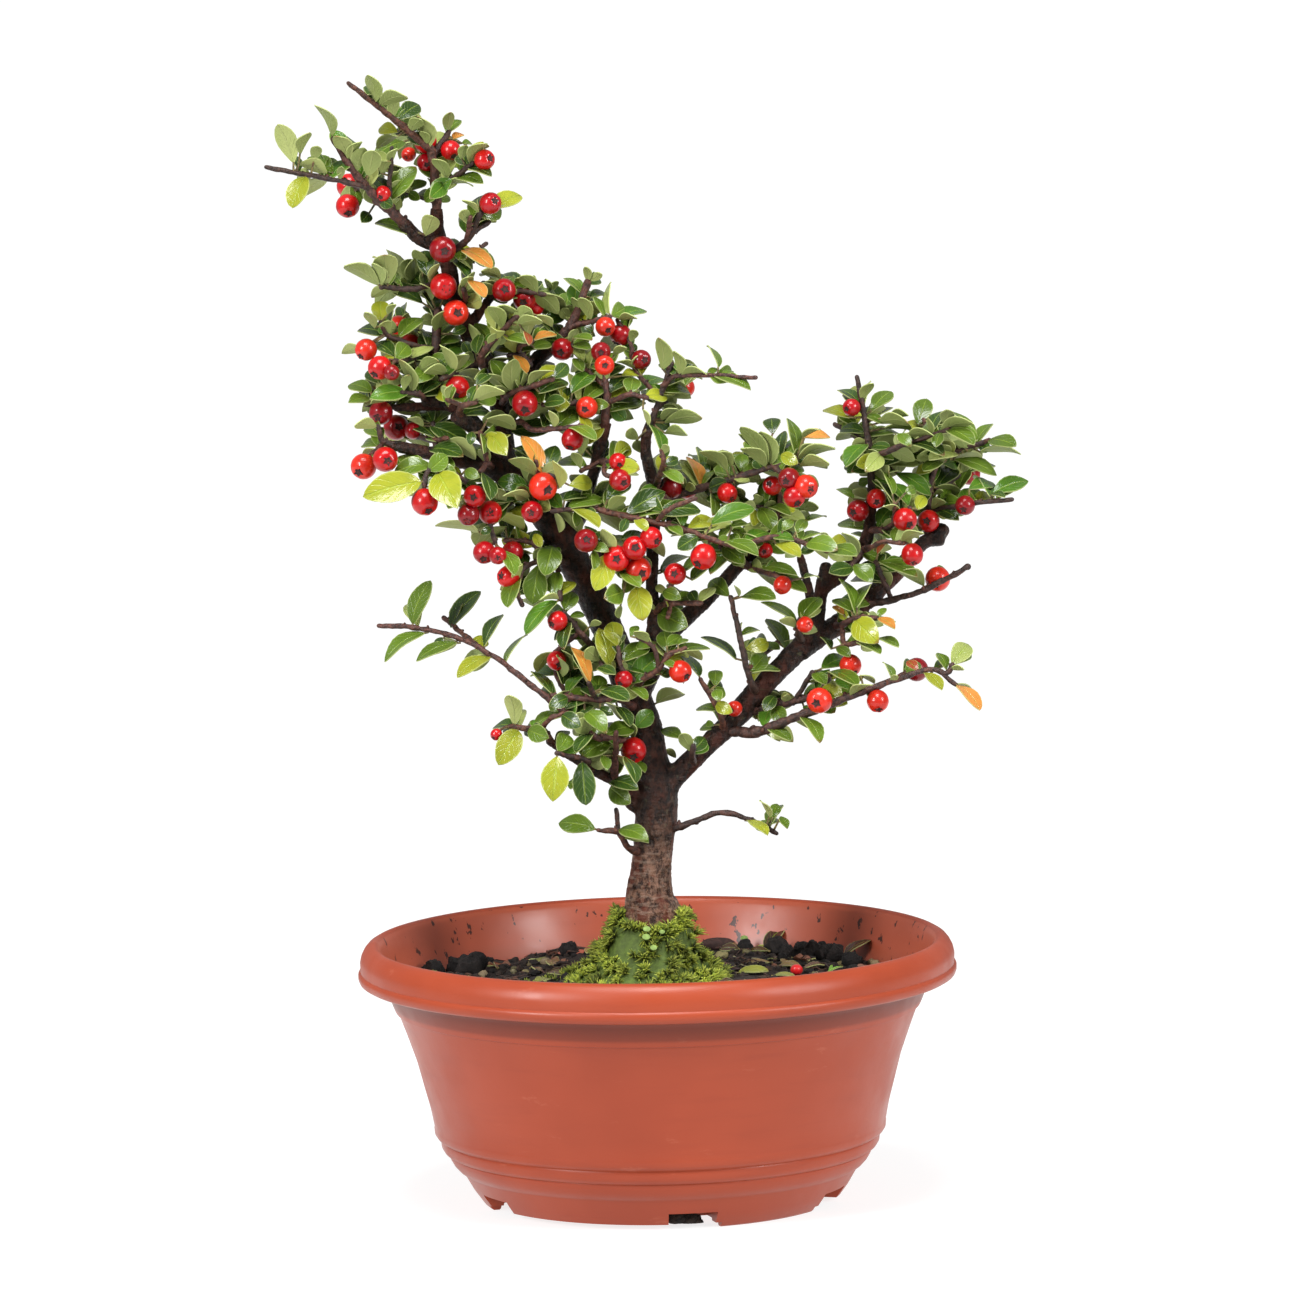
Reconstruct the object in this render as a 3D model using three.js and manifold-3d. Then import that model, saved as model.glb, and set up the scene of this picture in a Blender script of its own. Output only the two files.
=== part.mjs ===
// Cotoneaster bonsai growing in a round bowl. Millimetres, +Z up.
// The origin is the centre of the bowl's foot, on the surface that it stands on.
import * as THREE from 'three';
import { mergeVertices } from 'three/addons/utils/BufferGeometryUtils.js';
import Module from 'manifold-3d';

const wasm = await Module();
wasm.setup();

// Driving dimensions of the bowl, its soil and its moss
const RIM_RADIUS = 90;
const LIP_TOP = 79.6;
const MOUTH_RADIUS = 83.1;
const FLOOR_TOP = 4.5;
const FOOT_RADIUS = 53.6;
const FOOT_ANGLES = [38, 156, 270];
const FOOT_HALF_ANGLE = 19;
const NOTCH_ANGLE = 15;
const NOTCH_HEIGHT = 5.2;
const NOTCH_MARGIN = 2;
const NOTCH_RADII = [46, 70];
const SKIRT_RADII = [30, 75];
const PLUG_RADII = [47, 52.4];
const PLUG_HEIGHT = 5.1;
const PLUG_ANGLE = 9;
const PLUG_LIFT = 1.2;
const CUT_DEPTH = 2;
const SKIRT_LIFT = 1.5;
const SKIRT_SEGMENTS = 3;
const BOWL_SEGMENTS = 28;
const SOIL_EDGE = 63.4;
const SOIL_CENTRE = 66.5;
const SOIL_FLAT_RADIUS = 27;
const TRUNK_X = -1.5;
const TRUNK_HOLE_RADIUS = 9.6;
const TRUNK_HOLE_FLOOR = 45;
const TRUNK_HOLE_HEIGHT = 40;
const HOLE_SEGMENTS = 14;
const MOSS_HOLE_RADIUS = 9.45;
const MOSS_SEGMENTS = 18;
const GAP = 0.3;

// Driving dimensions of the tree
const THICK_RADIUS = 7;
const MIDDLING_RADIUS = 3;
const TRUNK_SIDES = 10;
const LIMB_SIDES = 6;
const BRANCH_SIDES = 5;
const TWIG_SIDES = 3;
const CLEARANCE = 0.35;
const STALK_RADIUS = 0.5;
const SNAP = 1.7;
const REACH = 3.2;
const LEAF_LENGTH = 13.5;
const LEAF_RATIO = 0.5;
const BLADE_THICKNESS = 0.66;
const ARCH = 0.45;
const LEAF_OUTLINE = [[0, 0], [0.36, 0.96], [0.86, 0.66], [0.86, -0.66], [0.36, -0.96]];
const LEAF_FACES = [[0, 4, 1], [1, 4, 2], [2, 4, 3]];
const SHIFTS = [0, 2, -2, 4, -4, 6, -6, 8, -8];
const LEAST_STRETCH = 1.02;
const MOST_STRETCH = 1.35;
const LEAST_LENGTH_TO_WIDTH = 1.8;
const BERRY_SWELL = 1.08;
const BERRY_NEST = 0.8;
const BERRY_STAND_OFF = 1.5;
const BERRY_CORE = 0.85;
const BERRY_SHIFTS = [0, -2, 2, -4, 4, -6, 6];
const FAR_SHARE = 0.12;
const FAR_TURN = 2.4;
const FAR_REACH = [5, 9];
const FAR_WIDTH = 5.5;
const SEED = 20417;
const DEPTH = 1.5;

// Wall of the bowl as radius and height, from the middle of its underside, out and up
// to the rolled lip, and down inside to the middle of its floor
const BOWL_PROFILE = [
  [0, 2.3], [50.5, 2.3], [51, 0], [FOOT_RADIUS, 0], [59.9, 9.5], [67.9, 22.2], [73, 43.9],
  [78.3, 58.6], [82, 66.4], [87.4, 67.2], [RIM_RADIUS, 69.6], [89.6, 75.5], [87.6, 78.8],
  [85.5, LIP_TOP], [MOUTH_RADIUS, 78.3], [80, 66.4], [76.2, 58.6], [71, 43.9], [65.8, 22.2],
  [52, FLOOR_TOP], [0, FLOOR_TOP],
];

// Soil: it fills the bowl and rises a little to the trunk
const SOIL_PROFILE = [
  [0, FLOOR_TOP + GAP], [51.6, FLOOR_TOP + GAP], [65.3, 22.2], [70.5, 43.9], [75.7, 58.6], [78, SOIL_EDGE],
  [60, 64], [SOIL_FLAT_RADIUS, SOIL_CENTRE], [0, SOIL_CENTRE],
];

// Moss: a mound round the foot of the trunk
const MOSS_PROFILE = [
  [MOSS_HOLE_RADIUS, SOIL_CENTRE + GAP], [20, SOIL_CENTRE + GAP], [20.5, 69.5], [17, 74.5], [14.5, 79.5],
  [12.4, 83.4], [10.6, 85.4], [MOSS_HOLE_RADIUS, 84], [MOSS_HOLE_RADIUS, SOIL_CENTRE + GAP],
];

// Fused wood, from the foot of the trunk to the cut ends of its limbs, as [x, y, z, radius].
// A limb starts inside the one that bears it.
const LIMBS = [
  // trunk, leaning over into the lowest left limb
  [[-1.5, 0, 45.3, 8.9], [-1.5, 0, 84, 8.8], [-2, 0, 91, 7.1], [-1.6, 0, 98, 6.2], [-0.4, 0, 108, 5.9],
    [0.8, 0, 121, 6.2], [-0.5, 1, 133, 5.2], [-3.2, 2, 146, 4.7], [-8.4, 3.5, 160, 4.8], [-13.5, 5, 174, 4.8],
    [-20, 5, 188, 4.8], [-28, 4, 203, 4.7], [-35, 3, 212.5, 4.4], [-42, 2, 219.5, 4.1], [-50, 0, 223.5, 3.3],
    [-60, -2, 225.5, 2.6], [-77, -6, 229.3, 1.5]],
  // leader
  [[-42, 2, 219, 3.2], [-44, 5, 241, 2.8], [-47, 6, 252, 2.6], [-52.5, 6, 261, 2.5],
    [-56.5, 5, 272, 2.4], [-59, 4, 285, 2.3], [-61.5, 3, 293, 2.1], [-61.5, 3, 300, 1.9]],
  // branch off the leader to the upper left
  [[-60, 3, 288, 2.2], [-67, 2, 291, 2], [-72, 0, 296, 1.9]],
  // two cut stubs left of the leader's foot, and the arm that passes them
  [[-43, 3, 224, 2.8], [-48, 0, 231, 2.6], [-57.5, -6, 237.8, 2]],
  [[-50, -1, 233.5, 2.2], [-57, 1, 240, 2], [-67, -1, 242.8, 1.6]],
  [[-59, 1, 241, 1.6], [-68, 3, 240.6, 1.5], [-76, 3, 240.4, 1.1]],
  // broken stub right of the leader
  [[-53.5, 6, 263, 1.6], [-49.5, 5, 268.5, 1.5], [-45.5, 4, 273.5, 1.3]],
  // upper middle arm
  [[-43, 4, 232, 2.4], [-39, 8, 243, 2.3], [-34, 10, 252.5, 2.2], [-27, 9, 258.5, 1.9]],
  // centre arm
  [[-26, 4, 199, 3], [-19, 2, 210, 2], [-16, 0, 221, 1.8], [-12.3, 0, 235, 1.7]],
  // fork right of the trunk: its upright stem and its slanting limb
  [[-5, 2, 152, 3.6], [-1, 1, 160, 3.7], [1.5, 0, 168, 3.6], [1.2, 0, 177, 2.2], [0.3, 0, 188, 1.9],
    [1.8, -1, 212, 1.8], [-0.8, -1, 227, 1.6], [1.5, -2, 236, 1.3]],
  [[1.5, 0, 168, 3.3], [6, 1, 172, 2.8], [17, 3, 181.5, 2.2], [27, 4, 191.5, 2.1], [33, 4, 196, 1.8]],
  // right limb, ending in a cut stub
  [[1, 0, 122, 4], [8, 0, 129.5, 3.3], [14.5, -1, 135.6, 3], [22, -1, 142.5, 3.1], [27, 0, 148, 3.7],
    [34, 1, 155.6, 3.3], [45.5, 3, 167, 3.2], [49, 4, 173, 2.7], [50.5, 5, 180, 2.2], [53, 6, 191.5, 1.8]],
  [[44, 2, 165, 3.3], [53, 6, 171, 3], [61, 9, 176.5, 2.9], [73, 12, 187.5, 2.5], [82, 13, 197, 2.1],
    [88, 13, 198.5, 2.3]],
  [[51.5, 5, 183.5, 1.9], [58, 7, 188.5, 1.8], [65.2, 9, 199, 2], [66.6, 9, 212, 1.5]],
  [[48, 3, 171, 1.9], [47.5, 1, 182, 1.5], [45, -1, 194, 1.1]],
  // low left arm
  [[-3, 0, 121, 2.2], [-10, -3, 125.5, 1.7], [-22, -7, 132.7, 1.5], [-32, -9, 139.7, 1.2]],
];

// Leafy stems, each with its own twigs. The first twig starts inside the wood that bears it.
const SPRAYS = {
  spray_crown_tip: [
    [[-61.5, 3, 299, 1.7], [-62.5, 2, 315, 1.5], [-65.5, 1, 319.5, 1.3], [-87, -6, 337.5, 0.8]],
    [[-62.3, 2, 315, 1], [-57.5, 5, 322.5, 1]],
    [[-61.6, 2, 305, 0.9], [-50.5, -6, 313, 0.8]],
    [[-61.6, 3, 301.5, 0.8], [-72, 6, 305.5, 0.7]],
    [[-62, 2, 312, 0.9], [-68, 16, 321, 0.7]],
  ],
  spray_crown_right: [
    [[-59.4, 4, 285, 1.3], [-52.5, -2, 290.5, 1.1], [-48.5, -5, 298, 1]],
    [[-53, -2, 290, 0.8], [-51.5, -7, 297, 0.8]],
    [[-50.5, -3, 292.5, 0.9], [-46, -2, 295.5, 0.9]],
    [[-55, 0, 287.5, 0.9], [-51, 8, 286, 0.8], [-47, 15, 289, 0.7]],
  ],
  spray_upper_left: [
    [[-70, 1, 294, 1.7], [-84, -6, 308.5, 1.4], [-92, -8, 321, 0.8]],
    [[-81, -4.5, 305, 1.1], [-86, -7, 307.5, 0.9], [-112, -12, 313, 0.8]],
    [[-76, -2, 300, 0.9], [-74.5, -6, 318, 0.7]],
    [[-77, -2, 301, 0.9], [-80, 6, 303, 0.8], [-88, 13, 308, 0.7]],
  ],
  spray_left_high: [
    [[-57.8, 4, 279, 1.2], [-68, 0, 276, 0.9], [-78.5, -4, 276.5, 0.8]],
    [[-64, 1.5, 276.5, 0.8], [-68, 9, 277, 0.8], [-74, 14, 279, 0.7]],
  ],
  spray_left_stem: [
    [[-62, 1, 242, 1.5], [-63, 3, 256, 1.5], [-61.8, 4, 269, 1.3]],
    [[-63, 3, 257.5, 1], [-76, -1, 261.5, 0.8], [-79, -3, 266, 0.8]],
    [[-63, 3, 255, 0.9], [-75, -5, 254.5, 0.8]],
    [[-63, 2.5, 253, 1], [-67, 10, 257, 0.9], [-73, 16, 263, 0.8]],
  ],
  spray_leader_front: [
    [[-48.5, 6, 254, 1.2], [-61, -6, 249, 0.9]],
  ],
  spray_stub_fruit: [
    [[-46.5, 4, 272, 1.2], [-43, 4, 275, 1], [-30, 1, 273.5, 0.8]],
    [[-37, 3, 275, 0.8], [-33, 8, 272, 0.8], [-28, 14, 274, 0.7]],
  ],
  spray_stub_foot: [
    [[-55.5, 5, 269, 1.1], [-53.5, 1, 272.5, 1], [-54, -2, 275.5, 0.9]],
  ],
  spray_leader_brown: [
    [[-46, 5, 249, 1.3], [-49, -1, 252.5, 1.2], [-48.5, -4, 256.5, 1.1], [-39.5, -8, 266, 0.9],
      [-35, -9, 268.5, 0.8]],
    [[-45, -6, 260, 0.8], [-41, -5, 269.5, 0.8]],
  ],
  spray_arm_front: [
    [[-34.5, 9, 252.5, 1.2], [-38, -1, 257.5, 0.9], [-34, -4, 259.5, 0.8]],
    [[-37.5, 1, 256, 0.8], [-41, 0, 255.5, 0.8]],
  ],
  spray_leader_low: [
    [[-44, 5, 240, 1.2], [-41.5, -1, 243.5, 1.1], [-38, -4, 245, 1], [-28, -7, 248, 0.8]],
  ],
  spray_arm_end: [
    [[-29, 9, 257, 1.7], [-22.5, 8, 264, 1.5], [-17, 8, 277, 1.1]],
    [[-23, 8, 263.5, 1], [-10.5, 5, 266.5, 0.8]],
    [[-27, 8.5, 259, 0.9], [-22, 4, 258, 0.8]],
    [[-22, 8, 265, 0.9], [-24, 15, 268, 0.8], [-22, 20, 273, 0.7]],
  ],
  spray_centre: [
    [[-12.8, 0, 233, 1.6], [-12, -1, 241.5, 1.2], [-12.5, 1, 250, 0.9]],
    [[-12, -0.8, 240.8, 0.9], [-31, -4, 240.5, 0.8]],
    [[-12, -0.8, 240.8, 0.9], [-5, -4, 243, 0.9], [0, -6, 242, 0.8]],
    [[-12.2, -0.6, 239, 0.9], [-4, 12, 243, 0.8]],
    [[-12.4, 0, 246, 0.8], [-20, 4, 252.5, 0.7]],
  ],
  spray_upright_top: [
    [[1.2, -2, 234.5, 1.2], [7.5, -2, 252, 0.9]],
    [[4.6, -2, 245.3, 0.9], [10, -4, 248.5, 0.8], [32.5, -9, 247.5, 0.7]],
    [[3.4, -2, 242, 0.9], [-3.7, 5, 251, 0.8], [-4.5, 6, 258, 0.7], [-8.5, 7, 265.5, 0.7]],
    [[2.4, -2, 238.5, 0.9], [11, 11, 245, 0.8]],
  ],
  spray_upright_side: [
    [[1.8, -1, 215, 1.2], [4.5, -9, 222, 0.9], [4, -10, 226, 0.8]],
  ],
  spray_right_pad: [
    [[1.8, -1, 211, 1.5], [12, 2, 213.7, 1.4], [44, -6, 222.5, 0.9]],
    [[27, -1, 217.6, 0.9], [35, 15, 225, 0.8]],
    [[37, -4.2, 220.8, 0.9], [44, -10, 215.5, 0.7]],
    [[14, 1.5, 214.3, 0.9], [18, 16, 221, 0.8]],
  ],
  spray_front_shoot: [
    [[-17.5, 1.5, 213, 1.3], [-17, -5, 209.5, 1.1], [-12, -8, 207.8, 1], [8, -11, 203, 1],
      [20, -12, 198.5, 0.9], [27, -12, 197, 0.9], [36, -13, 199.5, 0.9], [42, -13, 199, 0.8],
      [53, -14, 195, 0.8]],
    [[-17, -5, 209.5, 0.9], [-29, -8, 208.5, 0.8]],
    [[2, -10, 204.6, 0.8], [6, -13, 208.5, 0.8], [14, -14, 211.5, 0.7]],
  ],
  spray_slant_end: [
    [[31, 4, 194.5, 1.5], [36, 4, 201, 1.4], [39.4, 3, 209, 1.2], [38.7, 2, 213.5, 0.9]],
    [[39.2, 3, 208.5, 0.8], [26, -1, 209, 0.7]],
    [[38, 3.5, 205, 0.8], [49, 14, 209, 0.7]],
  ],
  spray_slant_front: [
    [[27, 4, 191.5, 1.1], [37, -5, 188, 0.8], [42, -6, 186.5, 0.8]],
    [[30, 1, 191, 0.8], [21, -5, 197, 0.7]],
  ],
  spray_upright_fruit: [
    [[1.2, 0, 177, 1.2], [4.5, -5, 180, 1], [15, -8, 180, 0.8]],
    [[4.5, -5, 180, 0.9], [6, -8, 185.5, 0.8], [10, -9, 189.5, 0.8]],
    [[6, -5.5, 180, 0.8], [5, -8, 176, 0.8]],
  ],
  spray_inner_front: [
    [[0.4, 0, 189, 1.2], [-4, -6, 188.5, 1], [-9, -8, 189.5, 0.9], [-18, -10, 198, 0.8]],
    [[-4, -6, 188.5, 0.8], [-5.5, -9, 196, 0.8], [-2, -10, 200, 0.7]],
  ],
  spray_trunk_left: [
    [[-23, 4, 193, 1.3], [-28, -2, 193.5, 1.1], [-33, -4, 193.5, 1], [-38, -6, 191, 0.9],
      [-40, -7, 185, 0.9], [-38.5, -8, 180.5, 0.8]],
    [[-33, -4, 193.5, 0.9], [-35, -3, 199, 0.8], [-43, -3, 200, 0.8]],
    [[-28, -2, 193.5, 0.8], [-27, -8, 182, 0.8]],
  ],
  spray_limb_elbow: [
    [[-36.5, 2.5, 213.5, 1.2], [-35, -4, 216, 1], [-31.5, -7, 219, 0.9], [-28, -8, 219, 0.8]],
    [[-35, -4, 216, 0.8], [-34.5, -7, 205.5, 0.7]],
    [[-33, -6, 217.8, 0.8], [-33.5, -8, 223.5, 0.8]],
  ],
  spray_leader_back: [
    [[-43.3, 4, 234, 1.2], [-38, -1, 235.5, 1], [-33, -4, 233, 0.9], [-19.5, -6, 234, 0.8]],
  ],
  spray_centre_side: [
    [[-15.3, 0, 223.5, 1.2], [-12, -5, 223, 0.9], [-9, -7, 224.5, 0.8]],
    [[-12.5, -4.2, 223.1, 0.8], [-13, -8, 219.5, 0.8], [-9.5, -9, 218, 0.7]],
    [[-14, -2, 223.3, 0.8], [-20, -4, 220.5, 0.8]],
  ],
  spray_left_pad_end: [
    [[-75, -5.5, 228.8, 1.2], [-79, -7, 230.5, 1], [-80.5, -8, 235, 0.8]],
    [[-78.5, -6.8, 230.3, 0.9], [-83, -4, 226, 0.8]],
  ],
  spray_left_pad_low: [
    [[-62, -2.5, 226, 1.2], [-62.5, -8, 223.5, 1.1], [-66, -10, 221, 0.9], [-67, -11, 216, 0.8]],
    [[-62.5, -8, 223.5, 0.9], [-53.5, -9, 217, 0.8], [-53, -9, 212, 0.7]],
  ],
  spray_left_pad_top: [
    [[-63, -2.5, 226.2, 1.2], [-64, 0, 235.5, 0.9]],
    [[-64.3, -1.2, 230.5, 0.9], [-75, 8, 233, 0.7]],
    [[-64.3, -1.2, 230.5, 0.8], [-60, -6, 231, 0.8]],
  ],
  spray_leader_hang: [
    [[-46, 1.5, 221.5, 1.2], [-48, -5, 223, 1], [-50, -8, 221, 0.8]],
    [[-48, -5, 223, 0.9], [-50, -9, 232.5, 0.8]],
  ],
  spray_under_elbow: [
    [[-37, 2, 214, 1.2], [-43, -4, 210.5, 1], [-47.5, -7, 206.5, 0.9], [-46, -8, 199, 0.8]],
  ],
  spray_stub_end: [
    [[-56, -5, 237.3, 1.2], [-55.5, -10, 240.5, 0.9], [-51, -12, 241.5, 0.8]],
    [[-55.5, -10, 240.5, 0.8], [-59.5, -11, 242.5, 0.8]],
  ],
  spray_arm_left_end: [
    [[-74, 3, 240.4, 1.1], [-84, 1, 241.5, 0.8]],
    [[-77, 2.5, 241, 0.8], [-77.5, 0, 246, 0.8]],
  ],
  spray_arm_left_top: [
    [[-66, 2.5, 241, 1.1], [-67.5, -3, 244, 1], [-73, -6, 245, 0.8]],
  ],
  spray_trunk_low_front: [
    [[-4, 2, 148, 1.5], [-10, -5, 151.5, 1.1], [-17, -8, 151.5, 1], [-30, -9, 153, 0.8]],
    [[-17, -8, 151.5, 0.9], [-19, -11, 156.5, 0.8]],
    [[-25, -9, 151.6, 0.8], [-29, 2, 160, 0.8]],
  ],
  spray_trunk_mid_front: [
    [[-10.5, 4, 165, 1.5], [-16, -4, 166, 1.1], [-26, -8, 178, 0.8]],
    [[-16, -4, 166, 0.9], [-15, -8, 162, 0.8]],
    [[-22, -6.5, 171.7, 0.8], [-29, -2, 166, 0.8]],
  ],
  spray_trunk_right: [
    [[-3, 1.5, 153.5, 1.4], [-4, -6, 156, 1.1], [2, -9, 160.5, 1], [5, -9, 164.5, 0.9],
      [10, -10, 166.5, 0.8]],
    [[-4, -6, 156, 0.9], [-9, -9, 161, 0.8], [-10, -9, 167, 0.8]],
    [[2, -9, 160.5, 0.8], [0.5, -11, 167, 0.8], [-4, -11, 170, 0.7]],
  ],
  spray_right_limb_left: [
    [[21, -1, 141, 1.4], [20, -6, 147, 1], [14.5, -8, 157, 0.8]],
  ],
  spray_right_limb_rise: [
    [[31.5, 1, 152, 1.5], [29, -5, 158, 1.1], [24, -6, 181.5, 0.8]],
    [[28.8, -5.3, 160, 0.8], [38, 10, 168, 0.8]],
  ],
  spray_right_limb_top: [
    [[46, 3, 167, 1.4], [44, -3, 170.5, 1], [44.5, -6, 174.5, 0.9]],
  ],
  spray_right_arm_front: [
    [[55, 7, 172.5, 1.4], [57, 0, 172.5, 1.1], [61, -3, 174.5, 1], [67.5, -5, 174.5, 0.9]],
    [[57, 0, 172.5, 0.9], [58, -3, 167, 0.8], [64, -4, 167.5, 0.8]],
    [[61, -3, 174.5, 0.8], [62, 4, 170, 0.8], [66, 12, 171, 0.8]],
  ],
  spray_low_right: [
    [[22.5, -1.3, 141.4, 1.8], [32, -6, 141, 1.8], [48, -10, 147, 1.4], [80, -12, 158, 0.9],
      [88, -12, 157.5, 0.9], [90, -12, 160, 0.8]],
    [[87, -12, 157.6, 0.8], [91, -12, 154, 0.8]],
    [[70, -12, 154.9, 0.8], [80, 0, 160, 0.8]],
  ],
  spray_low_right_top: [
    [[27.4, -0.1, 146.6, 1.5], [48, -3, 151.5, 1.1], [53, -4, 156.5, 0.9]],
    [[42, -2, 149, 0.9], [48, -5, 158.5, 0.8]],
    [[36, -1, 147, 0.9], [47, 12, 152, 0.8]],
  ],
  spray_right_side: [
    [[64, 9.5, 178.5, 1.4], [80, 6, 182, 1], [95, 3, 189.5, 0.9]],
    [[72, 8.3, 180.2, 0.8], [67.5, 3, 191.5, 0.8]],
    [[82, 5.6, 183, 0.8], [86, 12, 187, 0.8]],
  ],
  spray_right_top: [
    [[66.5, 9, 210, 1.4], [66.3, 9, 225, 1.2], [62.8, 9, 247, 0.8]],
    [[66.8, 9, 221, 0.9], [70, 5, 224, 0.9], [90, 0, 231, 0.8]],
    [[66.2, 9, 227, 0.9], [56, 20, 233, 0.8]],
    [[66.9, 9, 218, 0.9], [79, 22, 224, 0.8]],
  ],
  spray_far_right: [
    [[83, 13, 196.5, 1.4], [86, 16, 220, 1], [102, 14, 227.5, 0.8]],
    [[85.9, 16, 219, 0.8], [82.5, 17, 234, 0.7]],
    [[85, 14.5, 206.5, 0.9], [96, 10, 208.5, 0.8], [108.5, 8, 209.5, 0.8]],
    [[85.6, 15.5, 212.5, 0.9], [95, 27, 218, 0.8]],
  ],
  spray_right_inner: [
    [[65.5, 9, 201, 1.3], [71, 4, 201.5, 1], [78, 1, 207.5, 0.8]],
    [[73, 3, 203, 0.8], [73.5, 0, 208.5, 0.7]],
  ],
  spray_right_inner_low: [
    [[62, 8, 194.5, 1.2], [66, 2, 196, 0.9], [70, 0, 197.5, 0.8], [76, -1, 197, 0.8]],
    [[64, 5, 195.2, 0.8], [60, 1, 190.5, 0.8]],
  ],
  spray_limb_underside: [
    [[12.5, -1, 131.5, 1.3], [11.5, -7, 134, 1], [12, -9, 137, 0.9]],
  ],
  spray_low_left_shoot: [
    [[-1.5, 1, 138, 1.5], [-14, -9, 140, 1.1], [-20, -10, 142.5, 1.1], [-50, -8, 167, 0.9],
      [-70, -6, 174, 0.8], [-81.5, -5, 175, 0.8]],
    [[-52, -7.9, 168, 0.9], [-62, 5, 177, 0.8]],
  ],
  spray_low_left: [
    [[-30, -8.5, 138.5, 1.2], [-34, -10, 142, 1.1], [-43, -11, 144, 0.8]],
    [[-34, -10, 142, 0.9], [-31, -14, 146, 0.8], [-27, -15, 147.5, 0.8]],
  ],
  spray_low_left_riser: [
    [[-12, -4, 127, 1.3], [-11, -13, 141.5, 0.8]],
  ],
  spray_low_left_hang: [
    [[-19, -6, 131, 1.3], [-21, -11, 133.5, 1], [-29, -14, 135.5, 0.8]],
  ],
  spray_foot_left: [
    [[-2.5, 0, 104.5, 1.5], [-8, -5, 106.5, 1.1], [-11, -6, 111, 1], [-17, -7, 112, 0.8]],
    [[-11, -6, 110.5, 0.9], [-11.5, -6, 118, 0.8]],
  ],
  spray_foot_right: [
    [[2.5, 0, 110.5, 1.4], [9, -3, 113, 1.1], [22, -4, 116.5, 0.9], [36.5, -5, 110, 0.8]],
  ],
};

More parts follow.
